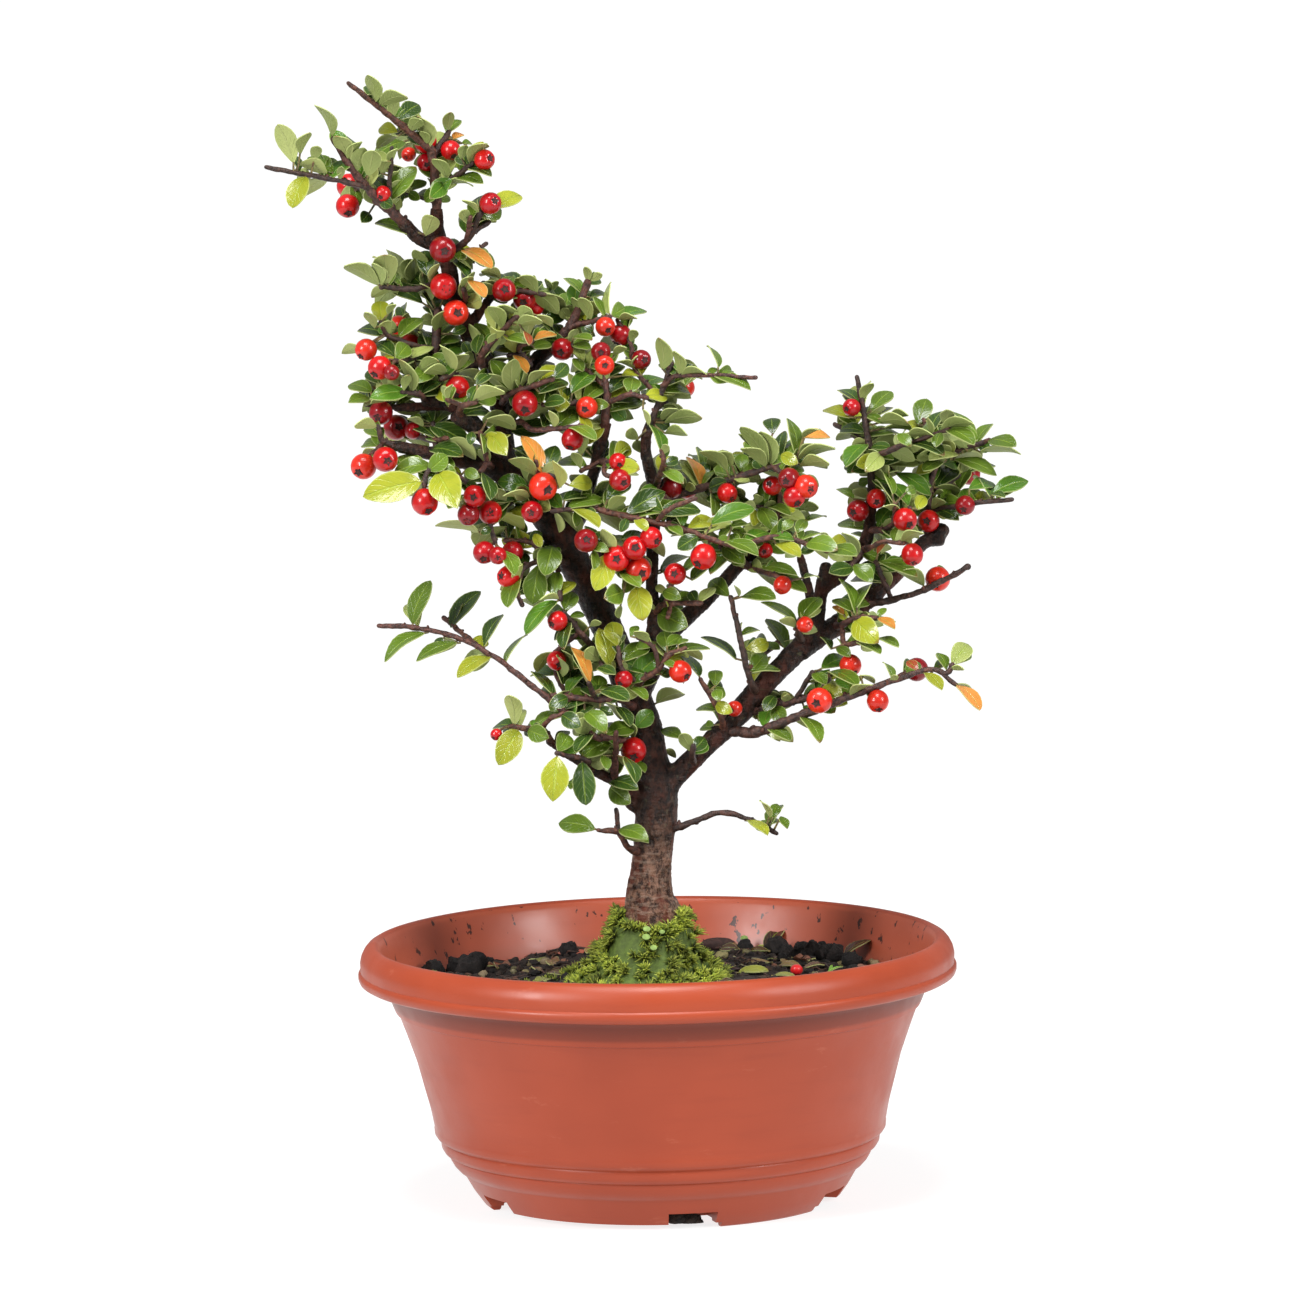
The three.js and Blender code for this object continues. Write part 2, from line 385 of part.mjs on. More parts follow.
// Leaves as [base x, base z, tip x, tip z, width seen]
const LEAVES = [
  [-79, 331, -81, 340, -4.5], [-78.5, 330.5, -69.5, 333.5, -4.5], [-73, 326, -66, 331, 5.5],
  [-74, 326.5, -73, 333, -3.5], [-70, 322, -65.5, 326.5, -4], [-72, 322.5, -78.5, 324, 4],
  [-70, 320, -79.5, 315, 5], [-62.5, 317.5, -66, 328, -5], [-74.5, 301.5, -67.5, 312.5, 6],
  [-92.5, 322.5, -96.5, 331.5, -3.5], [-88, 313.5, -91, 322, -5], [-82, 309, -80, 317, -6],
  [-85, 310.5, -83, 318.5, -5], [-103.5, 313, -108.5, 325.5, -6], [-103, 314, -94, 311, -4],
  [-91.5, 310.5, -99.5, 315.5, 5], [-100, 310.5, -104.5, 300.5, 6], [-93.5, 309.8, -101.5, 304, -4],
  [-46, 299, -36.5, 302.5, 5], [-78.5, 276.5, -89.5, 283, -4.5], [-76.5, 277.5, -77.5, 287, -7.5],
  [-69.5, 277.5, -70.5, 284.5, -5.5], [-64.5, 279, -65.5, 287, 5.5], [-65.5, 271, -78, 276.5, 4.5],
  [-62, 267.5, -65.5, 276, 4.5], [-55, 287.5, -45.5, 281.5, 4], [-76, 260, -85.5, 263.5, 4],
  [-74, 255.5, -81, 260.5, 4.5], [-74.5, 259.5, -66.5, 267, 4.5], [-57, 249.5, -47.5, 246.5, -4.5],
  [-68.5, 243.5, -70, 253.5, 4.5], [-70, 244, -73.5, 254.5, -3.5], [-70, 245, -82.5, 244, 5],
  [-70, 243, -82.5, 241.5, -3], [-53, 242, -42.5, 245.5, -4.5], [-33, 273.5, -26, 268, -5],
  [-40, 264.5, -34, 269, -5], [-40, 244, -46.5, 254, 5.5], [-40, 244.5, -39.5, 254, -5.5],
  [-33, 243.5, -23.5, 248, 5], [-23, 243, -15.5, 249.5, 5], [-19.5, 240.5, -12, 246, 5],
  [-66, 235, -53, 228.5, 6], [-59, 230, -51.5, 224.5, -4], [-66, 227.5, -55, 225, 4.5],
  [-63, 222, -76, 221.5, 5], [-67.5, 218.5, -85.5, 213.5, 9], [-63, 221, -57.5, 210.5, 10],
  [-47, 232.5, -42.5, 226, 6.5], [-42, 232.5, -28.5, 233.5, 6], [-27.5, 232.5, -19.5, 238, 5],
  [-31.5, 220, -37.5, 231.5, 5], [-34, 218.5, -41.5, 224.5, -4], [-30.5, 220, -27.5, 228, 5.5],
  [-36, 215.5, -45, 218, 5.5], [-25, 208.5, -13, 211.5, 4], [-13, 211, -6, 217, 5.5],
  [-11.5, 225, -5.5, 228.5, 5.5], [-11, 221, -2.5, 220.5, 5], [-7.5, 207.5, 5, 213.5, 6.5],
  [-4.5, 205.5, 10.5, 208.5, 4], [2, 207, 15.5, 208.5, 5], [-33.5, 200, -44.5, 200, 7],
  [-44.5, 197.5, -40.5, 189.5, 4.5], [-29, 198.5, -31.5, 189.5, 7.5], [-11.5, 196, -16.5, 184.5, 7],
  [4.5, 249.5, 4, 260, -5], [9.5, 248.5, 9, 256, -3.5], [-4, 243.5, 5, 248.5, 4.5],
  [-12, 243, -5, 248.5, 5], [-11.5, 240.5, -2.5, 244.5, 4.5], [-11, 237.5, -0.5, 240, 3.5],
  [4, 234, 16.5, 236, -4.5], [19, 246.5, 31, 243.5, 3], [24, 219, 16, 226.5, -4],
  [36, 220.5, 27.5, 232.5, -4.5], [37, 220.5, 34, 231.5, -5], [39.5, 222, 41, 231, 4],
  [44, 224, 42.5, 235.5, 4], [44.5, 220.5, 54, 221.5, -4], [17.5, 203, 31.5, 208.5, 5.5],
  [11, 203, 21, 204.5, 4.5], [33, 209, 37, 201, 5.5], [28, 196.5, 35.5, 201, 4.5],
  [21.5, 197.5, 32.5, 194.5, 3.5], [21.5, 197, 28, 191.5, 5], [47, 198.5, 56, 195.5, 5],
  [64, 238, 57, 243.5, 3], [66.5, 236, 73, 242.5, 5], [67, 227.5, 76, 226.5, -4],
  [78.5, 226, 88.5, 222.5, 3.5], [80.5, 231.5, 83.5, 240, 6], [87, 229, 97.5, 233, -4],
  [97.5, 226.5, 91.5, 236.5, 3], [97.5, 226.5, 103, 232, 3], [89, 229.5, 97.5, 226.5, 3.5],
  [101, 227.5, 110, 225.5, 4], [98, 223.5, 111.5, 223.5, -2], [91, 220.5, 104, 216.5, 4],
  [86, 212, 92, 219.5, 5.5], [95, 209.5, 105, 209.5, 4], [102, 211, 113.5, 214.5, 5],
  [73, 218.5, 84, 211, 4.5], [77.5, 207.5, 72.5, 215.5, 4.5], [86, 207.5, 92.5, 204, 4],
  [52, 195, 62, 193.5, 4], [61.5, 189.5, 53.5, 188.5, 4.5], [67.5, 192, 80, 187, 4],
  [-71.5, 175.5, -66, 188.5, 5.5], [-60.5, 173, -51, 185, 5], [-50, 168, -44, 177.5, 3.5],
  [-67, 172, -80.5, 165, 3.5], [-57.5, 168.5, -70.5, 164, 3.5], [-48.5, 164, -58.5, 159.5, 4],
  [-41, 145, -43, 153, -5], [-40.5, 142, -46.5, 132.5, 7.5], [-38, 142.5, -31, 140, 5.5],
  [-36.5, 144, -25.5, 148, 3.5], [-27, 181, -38, 172, 4.5], [-39, 189.5, -43, 180, 4.5],
  [-33, 193, -35.5, 180.5, 7.5], [-26.5, 191, -28.5, 183, 5], [-25, 177, -20, 168.5, -4.5],
  [-17.5, 156, -24, 167.5, 3.5], [-12.5, 160.5, -16, 173, 6], [-10, 167.5, -12, 175, 6],
  [-16, 154, -7, 151, 4], [-7.5, 155.5, 3, 165, 7], [-9.5, 162.5, -1, 167, 5], [-4, 186, -2.5, 175.5, 7.5],
  [2, 177, 11, 173, 8], [26.5, 181.5, 37.5, 181, 4], [44, 173.5, 50.5, 181.5, 5.5],
  [33, 190, 46.5, 182, 4.5], [32, 191, 44, 188.5, 3], [60, 175.5, 67.5, 167.5, 8],
  [50, 159, 59, 161.5, 4.5], [52, 158.5, 61.5, 153.5, 3.5], [49, 154.5, 58, 149, 7],
  [90, 159, 95, 166.5, 6], [90.5, 154, 98, 146, 3.5], [-17, 111.5, -29, 114.5, 6],
  [-11, 112, -2.5, 109.5, 4.5], [-13.5, 125, -7.5, 120, 6], [-14, 126.5, -5, 124.5, 4.5],
  [-29, 135, -30.5, 121, 8.5], [-22, 132, -20.5, 119.5, 7], [-10.5, 139.5, -21.5, 134.5, 5.5],
  [-14.5, 141, -5.5, 143, 5],
];

// Berries as [x, z, radius]
const BERRIES = [
  [-60, 287.5, 4], [-60, 276.5, 4], [-56.5, 268.5, 3.9], [-42, 275, 3.6], [-36, 272, 3.4], [-47, 314, 3.1],
  [-88, 301, 3.6], [-45.5, 301, 3.3], [-83.5, 258, 3.3], [-73.5, 264.5, 3.6], [-70, 258.5, 3.9],
  [-79.5, 252.5, 3.6], [-79.5, 239, 3.6], [-75, 234.5, 3.9], [-85, 223, 3.9], [-78.5, 225, 3.8],
  [-67, 212, 4], [-52, 213.5, 3.4], [-54, 208, 3.3], [-47.5, 208.5, 3.6], [-49.5, 196.5, 3.4],
  [-41, 196.5, 3.3], [-42.5, 189, 3.3], [-56.5, 246, 3.6], [-36.5, 241, 3.9], [-25, 257, 3.4],
  [-12, 263.5, 3], [-7.5, 261, 3.3], [-31.5, 216, 4.3], [-19, 199.5, 3.6], [-10, 194, 4],
  [-3.5, 190.5, 3.9], [-4.5, 197, 3.6], [0.5, 200, 3.3], [6.5, 215, 3.6], [7.5, 189, 3.3], [16, 194, 3.9],
  [42, 217, 3.3], [47, 214.5, 3.6], [43.5, 211.5, 3.3], [61, 238, 2.7], [62.5, 207, 3.4], [76.5, 204, 3.6],
  [83.5, 203.5, 3.4], [94.5, 208, 3], [78.5, 193.5, 3.3], [86, 186, 3.8], [59.5, 160.5, 3.3],
  [50, 150, 3.9], [67.5, 149.5, 3.3], [8.5, 159.5, 3.4], [-6, 136, 3.9], [-47, 141.5, 1.8],
  [-22.5, 230, 3.3], [-18, 239.5, 3.3], [-35, 208.5, 3.3], [-8.5, 217.5, 3.3],
];

// The crown's points stand where the front view shows them, in the plane y = 0.
// At its own depth a point keeps its place as seen from this far in front and this high up.
const EYE_DISTANCE = 2600;
const EYE_HEIGHT = 483;

function place([x, y, z]) {
  const depth = y / EYE_DISTANCE;
  return new THREE.Vector3(x * (1 + depth), y, z - (EYE_HEIGHT - z) * depth);
}

// Depths in the tables are half as deep again on the tree.
function deepen(points) {
  points.forEach((point) => {
    point[1] *= DEPTH;
  });
}
LIMBS.forEach(deepen);
Object.values(SPRAYS).flat().forEach(deepen);

// Seeded random numbers from 0 to 1
function randomFrom(seed) {
  let state = seed >>> 0;
  return () => {
    state = (Math.imul(state, 1664525) + 1013904223) >>> 0;
    return state / 4294967296;
  };
}

function solid(geometry) {
  const bare = geometry.clone();
  bare.deleteAttribute('normal');
  bare.deleteAttribute('uv');
  const merged = mergeVertices(bare, 1e-4);
  const faces = [];
  for (let i = 0; i < merged.index.count; i += 3) {
    const [a, b, c] = merged.index.array.slice(i, i + 3);
    if (a !== b && b !== c && c !== a) faces.push(a, b, c);
  }
  return new wasm.Manifold(new wasm.Mesh({
    numProp: 3,
    vertProperties: Float32Array.from(merged.attributes.position.array),
    triVerts: Uint32Array.from(faces),
  }));
}

// The largest closed shell of a solid: loose scraps go, and sealed hollows are filled.
function largestShell(body) {
  const mesh = body.getMesh();
  const owner = Array.from({ length: mesh.vertProperties.length / 3 }, (_, i) => i);
  const find = (i) => {
    while (owner[i] !== i) {
      owner[i] = owner[owner[i]];
      i = owner[i];
    }
    return i;
  };
  const faces = mesh.triVerts;
  for (let i = 0; i < faces.length; i += 3) {
    owner[find(faces[i])] = find(faces[i + 1]);
    owner[find(faces[i + 1])] = find(faces[i + 2]);
  }
  const volumes = new Map();
  const corners = [0, 1, 2].map(() => new THREE.Vector3());
  for (let i = 0; i < faces.length; i += 3) {
    corners.forEach((corner, k) => corner.fromArray(mesh.vertProperties, faces[i + k] * 3));
    const volume = corners[0].dot(corners[1].clone().cross(corners[2])) / 6;
    const shell = find(faces[i]);
    volumes.set(shell, (volumes.get(shell) ?? 0) + volume);
  }
  const [largest] = [...volumes].sort((a, b) => b[1] - a[1])[0];
  const kept = [];
  for (let i = 0; i < faces.length; i += 3) {
    if (find(faces[i]) === largest) kept.push(faces[i], faces[i + 1], faces[i + 2]);
  }
  const geometry = new THREE.BufferGeometry();
  geometry.setAttribute('position', new THREE.BufferAttribute(mesh.vertProperties, 3));
  geometry.setIndex(kept);
  return geometry;
}

// A path that turns at its points and has a ring of the tube at each of them
class Stem extends THREE.Curve {
  constructor(points) {
    super();
    this.points = points;
  }

  getPoint(t, target = new THREE.Vector3()) {
    const along = t * (this.points.length - 1);
    const i = Math.min(Math.floor(along), this.points.length - 2);
    return target.lerpVectors(this.points[i], this.points[i + 1], along - i);
  }

  getPointAt(t, target) {
    return this.getPoint(t, target);
  }

  getTangentAt(t, target) {
    return this.getTangent(t, target);
  }
}

// Round stem through centres with a radius at each of them
function tube(centres, radii, sides) {
  const hair = 0.1;
  const outline = new THREE.Shape(Array.from({ length: sides }, (_, i) => {
    const angle = (i / sides) * 2 * Math.PI;
    return new THREE.Vector2(hair * Math.cos(angle), hair * Math.sin(angle));
  }));
  const path = new Stem(centres);
  const geometry = new THREE.ExtrudeGeometry(outline, {
    steps: centres.length - 1,
    extrudePath: path,
    bevelEnabled: false,
  });
  const position = geometry.attributes.position;
  const vertex = new THREE.Vector3();
  for (let i = 0; i < position.count; i += 1) {
    vertex.fromBufferAttribute(position, i);
    const distances = centres.map((centre) => centre.distanceTo(vertex));
    const ring = distances.indexOf(Math.min(...distances));
    vertex.sub(centres[ring]).multiplyScalar(radii[ring] / hair).add(centres[ring]);
    position.setXYZ(i, vertex.x, vertex.y, vertex.z);
  }
  return solid(geometry);
}

function limb(points, grow = 0) {
  const centres = points.map(place);
  const last = centres.length - 1;
  const onward = centres[last].clone().sub(centres[last - 1]).normalize();
  centres[last].addScaledVector(onward, grow);
  const radii = points.map((point) => point[3] + grow);
  const widest = Math.max(...radii);
  const slender = widest > MIDDLING_RADIUS ? LIMB_SIDES : BRANCH_SIDES;
  return tube(centres, radii, widest > THICK_RADIUS ? TRUNK_SIDES : slender);
}

// What each spray is made of, for keeping sprays clear of each other: triangles,
// where a stem is a flat one and a berry is a point, each with a padding round it
function shape(owner, points, pad) {
  const centre = new THREE.Vector3();
  points.forEach((point) => centre.addScaledVector(point, 1 / points.length));
  const reach = Math.max(...points.map((point) => point.distanceTo(centre))) + pad;
  return { owner, points, pad, centre, reach };
}

function pointToShape(point, other) {
  if (other.points.length < 3) {
    const line = new THREE.Line3(other.points[0], other.points[other.points.length - 1]);
    return line.closestPointToPoint(point, true, new THREE.Vector3()).distanceTo(point);
  }
  const triangle = new THREE.Triangle(...other.points);
  return triangle.closestPointToPoint(point, new THREE.Vector3()).distanceTo(point);
}

function edges(item) {
  const { points } = item;
  if (points.length < 3) return [new THREE.Line3(points[0], points[points.length - 1])];
  return points.map((point, i) => new THREE.Line3(point, points[(i + 1) % 3]));
}

function pierces(line, other) {
  if (other.points.length < 3) return false;
  const direction = line.delta(new THREE.Vector3());
  const length = direction.length();
  if (length < 1e-6) return false;
  const ray = new THREE.Ray(line.start, direction.normalize());
  const hit = ray.intersectTriangle(...other.points, false, new THREE.Vector3());
  return hit !== null && hit.distanceTo(line.start) < length;
}

function closerThan(a, b, gap) {
  const limit = gap + a.pad + b.pad;
  if (a.centre.distanceTo(b.centre) > a.reach + b.reach + gap) return false;
  if (a.points.some((point) => pointToShape(point, b) < limit)) return true;
  if (b.points.some((point) => pointToShape(point, a) < limit)) return true;
  const linesA = edges(a);
  const linesB = edges(b);
  const meet = (line, other) => line.distanceSqToLine3(other) < limit * limit;
  if (linesA.some((line) => linesB.some((other) => meet(line, other)))) return true;
  return linesA.some((line) => pierces(line, b)) || linesB.some((line) => pierces(line, a));
}

// Nearest point of a spray's stems to a place in the front view
function nearestStem(x, z) {
  let best = { distance: Infinity };
  for (const [name, twigs] of Object.entries(SPRAYS)) {
    for (const twig of twigs) {
      for (let i = 0; i + 1 < twig.length; i += 1) {
        const [ax, ay, az] = twig[i];
        const [bx, by, bz] = twig[i + 1];
        const length = (bx - ax) ** 2 + (bz - az) ** 2;
        const t = THREE.MathUtils.clamp(((x - ax) * (bx - ax) + (z - az) * (bz - az)) / length, 0, 1);
        const point = [ax + t * (bx - ax), ay + t * (by - ay), az + t * (bz - az)];
        const distance = Math.hypot(x - point[0], z - point[2]);
        if (distance < best.distance - 1e-9) best = { distance, name, point };
      }
    }
  }
  return best;
}

// Where a leaf stands in space. Its row gives the base and the tip in the front view,
// and the width seen there, negative where the underside is seen. Length that the view
// doesn't show goes into depth, and width that it doesn't show into a roll about the rib.
function leafFrame(row, foot, shift) {
  const [x0, z0, x1, z1, width] = row;
  const onStem = foot.distance < SNAP;
  const run = Math.hypot(x1 - x0, z1 - z0);
  const length = Math.max(
    run * LEAST_STRETCH,
    Math.abs(width) * LEAST_LENGTH_TO_WIDTH,
    Math.min(LEAF_LENGTH, run * MOST_STRETCH),
  );
  const side = (z1 >= z0 ? 1 : -1) * (width > 0 ? 1 : -1);
  const y0 = foot.point[1];
  const root = place(foot.point);
  const base = onStem ? root : place([x0, y0, z0]);
  const tip = place([x1, y0 + side * Math.sqrt(length ** 2 - run ** 2) + shift, z1]);
  const axis = tip.clone().sub(base).normalize();
  const facing = new THREE.Vector3(0, -EYE_DISTANCE, EYE_HEIGHT).sub(base);
  facing.addScaledVector(axis, -facing.dot(axis)).normalize();
  const blade = Math.max(Math.abs(width), LEAF_RATIO * length);
  const roll = Math.acos(Math.abs(width) / blade);
  const ups = [roll, -roll].map((angle) => {
    const up = facing.clone().applyAxisAngle(axis, angle);
    return width > 0 ? up : up.negate();
  });
  const up = ups[0].z > ups[1].z ? ups[0] : ups[1];
  const across = up.clone().cross(axis);
  const length3 = tip.distanceTo(base);
  const point = (along, half) => base.clone()
    .addScaledVector(axis, along * length3)
    .addScaledVector(across, (half * blade) / 2)
    .addScaledVector(up, ARCH * length3 * along * (1 - along));
  const outline = LEAF_OUTLINE.map(([along, half]) => point(along, half));
  if (foot.distance < REACH) outline[0] = root;
  return { root, base, axis, up, joined: foot.distance < REACH, outline };
}

// Arched blade of even thickness on its five-cornered outline
function bladeSolid(frame) {
  const positions = [];
  for (const side of [1, -1]) {
    for (const corner of frame.outline) {
      const point = corner.clone().addScaledVector(frame.up, (side * BLADE_THICKNESS) / 2);
      positions.push(point.x, point.y, point.z);
    }
  }
  const faces = [];
  const corners = frame.outline.length;
  for (const [a, b, c] of LEAF_FACES) faces.push(a, b, c, a + corners, c + corners, b + corners);
  for (let i = 0; i < corners; i += 1) {
    const j = (i + 1) % corners;
    faces.push(j + corners, i + corners, i, j + corners, i, j);
  }
  const geometry = new THREE.BufferGeometry();
  geometry.setAttribute('position', new THREE.Float32BufferAttribute(positions, 3));
  geometry.setIndex(faces);
  return solid(geometry);
}

function leafShapes(owner, frame) {
  const corners = frame.outline;
  const list = LEAF_FACES.map((face) => shape(owner, face.map((i) => corners[i]), BLADE_THICKNESS / 2));
  if (!frame.joined) list.push(shape(owner, [frame.root, frame.base], STALK_RADIUS));
  return list;
}

function outerShapes(owner, frame) {
  return leafShapes(owner, frame).slice(1, LEAF_FACES.length);
}

const shapes = [];
const parts = Object.fromEntries(Object.keys(SPRAYS).map((name) => [name, []]));

function clashes(list, gap = GAP) {
  return list.some((item) => (
    shapes.some((other) => other.owner !== item.owner && closerThan(item, other, gap))
  ));
}

// Stems first
for (const [name, twigs] of Object.entries(SPRAYS)) {
  for (const twig of twigs) {
    const centres = twig.map(place);
    parts[name].push(tube(centres, twig.map((point) => point[3]), TWIG_SIDES));
    for (let i = 0; i + 1 < twig.length; i += 1) {
      shapes.push(shape(name, [centres[i], centres[i + 1]], Math.max(twig[i][3], twig[i + 1][3])));
    }
  }
}
const limbShapes = LIMBS.flatMap((points) => points.slice(1).map((end, i) => (
  shape('wood', [place(points[i]), place(end)], Math.max(points[i][3], end[3])))));

// Berries, each in front of its stem or beside it, on a short stalk
for (const [x, z, radius] of BERRIES) {
  const foot = nearestStem(x, z);
  const nest = Math.sqrt(Math.max(0, radius ** 2 - foot.distance ** 2)) * BERRY_NEST;
  const nearer = foot.distance < radius ? nest : BERRY_STAND_OFF;
  for (const shift of BERRY_SHIFTS) {
    const centre = place([x, foot.point[1] - nearer + shift, z]);
    const root = place(foot.point);
    const list = [
      shape(foot.name, [centre, centre], radius),
      shape(foot.name, [root, centre], STALK_RADIUS),
    ];
    const inWood = limbShapes.some((wood) => closerThan(list[0], wood, GAP));
    if (inWood || clashes(list)) continue;
    shapes.push(...list);
    const berry = new THREE.IcosahedronGeometry(radius * BERRY_SWELL, 0);
    berry.rotateX(x).rotateZ(z);
    berry.translate(centre.x, centre.y, centre.z);
    parts[foot.name].push(solid(berry));
    if (root.distanceTo(centre) > radius * BERRY_CORE) parts[foot.name].push(stalk(root, centre));
    break;
  }
}

// Leaves, the largest first, each swung nearer or farther until it is clear of other sprays
function addLeaf(row, foot, mustClear) {
  let spare = null;
  for (const shift of SHIFTS) {
    const frame = leafFrame(row, foot, shift);
    const list = leafShapes(foot.name, frame);
    const outer = outerShapes(foot.name, frame);
    const inWood = outer.some((item) => limbShapes.some((wood) => closerThan(item, wood, GAP)));
    if (inWood || clashes(list)) continue;
    const own = shapes.filter((other) => other.owner === foot.name && other.blade);
    const crossing = outer.some((item) => own.some((other) => closerThan(item, other, 0)));
    if (!crossing) return keepLeaf(foot.name, frame, list, outer);
    spare ??= [foot.name, frame, list, outer];
  }
  if (spare && !mustClear) keepLeaf(...spare);
  return undefined;
}

function keepLeaf(name, frame, list, outer) {
  shapes.push(...list, ...outer.map((item) => ({ ...item, blade: true })));
  parts[name].push(bladeSolid(frame));
  const inBlade = frame.base.clone().addScaledVector(frame.axis, 1);
  if (!frame.joined) parts[name].push(stalk(frame.root, inBlade));
}

function stalk(from, to) {
  return tube([from, to], [STALK_RADIUS, STALK_RADIUS], TWIG_SIDES);
}

const area = ([x0, z0, x1, z1, width]) => Math.hypot(x1 - x0, z1 - z0) * Math.abs(width);
for (const row of [...LEAVES].sort((a, b) => area(b) - area(a))) {
  addLeaf(row, nearestStem(row[0], row[1]), false);
}

// Leaves on the far side, drawn along the stems that the front view hides
const random = randomFrom(SEED);
for (const [name, twigs] of Object.entries(SPRAYS)) {
  for (const twig of twigs) {
    for (let i = 1; i < twig.length; i += 1) {
      const [x, y, z] = twig[i];
      const turn = (random() - 0.5) * FAR_TURN;
      const reach = THREE.MathUtils.lerp(...FAR_REACH, random());
      const row = [x, z, x + reach * Math.sin(turn), z + reach * Math.cos(turn), FAR_WIDTH];
      if (random() < FAR_SHARE) addLeaf(row, { name, point: [x, y, z], distance: 0 }, true);
    }
  }
}

const group = new THREE.Group();

function addNode(name, geometry, { color, roughness }) {
  geometry.computeVertexNormals();
  const material = new THREE.MeshStandardMaterial({ color, roughness, metalness: 0 });
  const mesh = new THREE.Mesh(geometry, material);
  mesh.name = name;
  group.add(mesh);
}

const fuse = (bodies) => bodies.reduce((whole, body) => whole.add(body));

const wood = fuse(LIMBS.map((points) => limb(points)));
addNode('trunk_and_limbs', largestShell(wood), { color: 0x5a4538, roughness: 0.7 });

const woodRoom = fuse(LIMBS.map((points) => limb(points, CLEARANCE)));
for (const [name, bodies] of Object.entries(parts)) {
  addNode(name, largestShell(fuse(bodies).subtract(woodRoom)), { color: 0x4f7a33, roughness: 0.5 });
}

// Bowl: one turned wall, with three feet left standing where the rest of the foot ring is cut away
function turned(profile, segments) {
  const outline = profile.map(([r, z]) => new THREE.Vector2(r, z));
  return new THREE.LatheGeometry(outline, segments).rotateX(Math.PI / 2);
}

function footCut(fromDegrees, toDegrees, [inner, outer], height, segments = 1) {
  const from = THREE.MathUtils.degToRad(fromDegrees - 90);
  const to = THREE.MathUtils.degToRad(toDegrees - 90);
  const sector = new THREE.Shape();
  sector.absarc(0, 0, outer, from, to, false);
  sector.absarc(0, 0, inner, to, from, true);
  const geometry = new THREE.ExtrudeGeometry(sector, {
    depth: height + CUT_DEPTH,
    bevelEnabled: false,
    curveSegments: segments,
  });
  return solid(geometry.translate(0, 0, -CUT_DEPTH));
}

let bowl = solid(turned(BOWL_PROFILE, BOWL_SEGMENTS));
FOOT_ANGLES.forEach((angle, i) => {
  const next = FOOT_ANGLES[(i + 1) % FOOT_ANGLES.length] + (i + 1 === FOOT_ANGLES.length ? 360 : 0);
  const from = angle + FOOT_HALF_ANGLE;
  const to = next - FOOT_HALF_ANGLE;
  const first = from + NOTCH_MARGIN;
  const last = to - NOTCH_MARGIN;
  bowl = bowl.subtract(footCut(from, to, SKIRT_RADII, SKIRT_LIFT, SKIRT_SEGMENTS));
  bowl = bowl.subtract(footCut(first, first + NOTCH_ANGLE, NOTCH_RADII, NOTCH_HEIGHT));
  bowl = bowl.subtract(footCut(last - NOTCH_ANGLE, last, NOTCH_RADII, NOTCH_HEIGHT));
});
addNode('bowl', largestShell(bowl), { color: 0xc86448, roughness: 0.45 });

// Soil: its top is uneven, and it shows in one notch of the foot
const soilGeometry = turned(SOIL_PROFILE, BOWL_SEGMENTS);
const soilVertices = soilGeometry.attributes.position;
for (let i = 0; i < soilVertices.count; i += 1) {
  const [x, y, z] = [soilVertices.getX(i), soilVertices.getY(i), soilVertices.getZ(i)];
  const onTop = z > SOIL_EDGE - 0.4 && Math.hypot(x, y) > SOIL_FLAT_RADIUS + 1;
  const relief = Math.sin(x / 7 + 1) * Math.cos(y / 6) + 0.6 * Math.sin((x + y) / 4);
  if (onTop) soilVertices.setZ(i, z + relief);
}
const hole = new THREE.CylinderGeometry(
  TRUNK_HOLE_RADIUS,
  TRUNK_HOLE_RADIUS,
  TRUNK_HOLE_HEIGHT,
  HOLE_SEGMENTS,
).rotateX(Math.PI / 2);
hole.translate(TRUNK_X, 0, TRUNK_HOLE_FLOOR + TRUNK_HOLE_HEIGHT / 2);
const plugFrom = FOOT_ANGLES[0] - FOOT_HALF_ANGLE - NOTCH_MARGIN - NOTCH_ANGLE + 1;
const plug = footCut(plugFrom, plugFrom + PLUG_ANGLE, PLUG_RADII, PLUG_HEIGHT);
const underPlug = footCut(plugFrom - NOTCH_ANGLE, plugFrom + 2 * NOTCH_ANGLE, SKIRT_RADII, PLUG_LIFT);
const soil = solid(soilGeometry).subtract(solid(hole)).add(plug.subtract(underPlug));
addNode('soil', largestShell(soil), { color: 0x2c221b, roughness: 0.95 });

// Moss: wider on the left, and higher on its two sides than in front and behind
const mossGeometry = turned(MOSS_PROFILE, MOSS_SEGMENTS);
const mossVertices = mossGeometry.attributes.position;
for (let i = 0; i < mossVertices.count; i += 1) {
  const [x, y, z] = [mossVertices.getX(i), mossVertices.getY(i), mossVertices.getZ(i)];
  const radius = Math.hypot(x, y);
  if (radius < MOSS_HOLE_RADIUS + 0.5) continue;
  const tufts = 0.05 * (Math.sin(x * 1.3 + z) + Math.cos(y * 1.1 - z * 0.7));
  const spread = 1 + tufts + (x < -4 ? 0.08 : 0);
  const lift = THREE.MathUtils.smoothstep(z, 70, 84) * (3.6 * (x / radius) ** 2 - 1.2);
  mossVertices.setXYZ(i, x * spread, y * spread, z + lift);
}
mossGeometry.translate(TRUNK_X, 0, 0);
addNode('moss', largestShell(solid(mossGeometry)), { color: 0x8fa838, roughness: 0.95 });

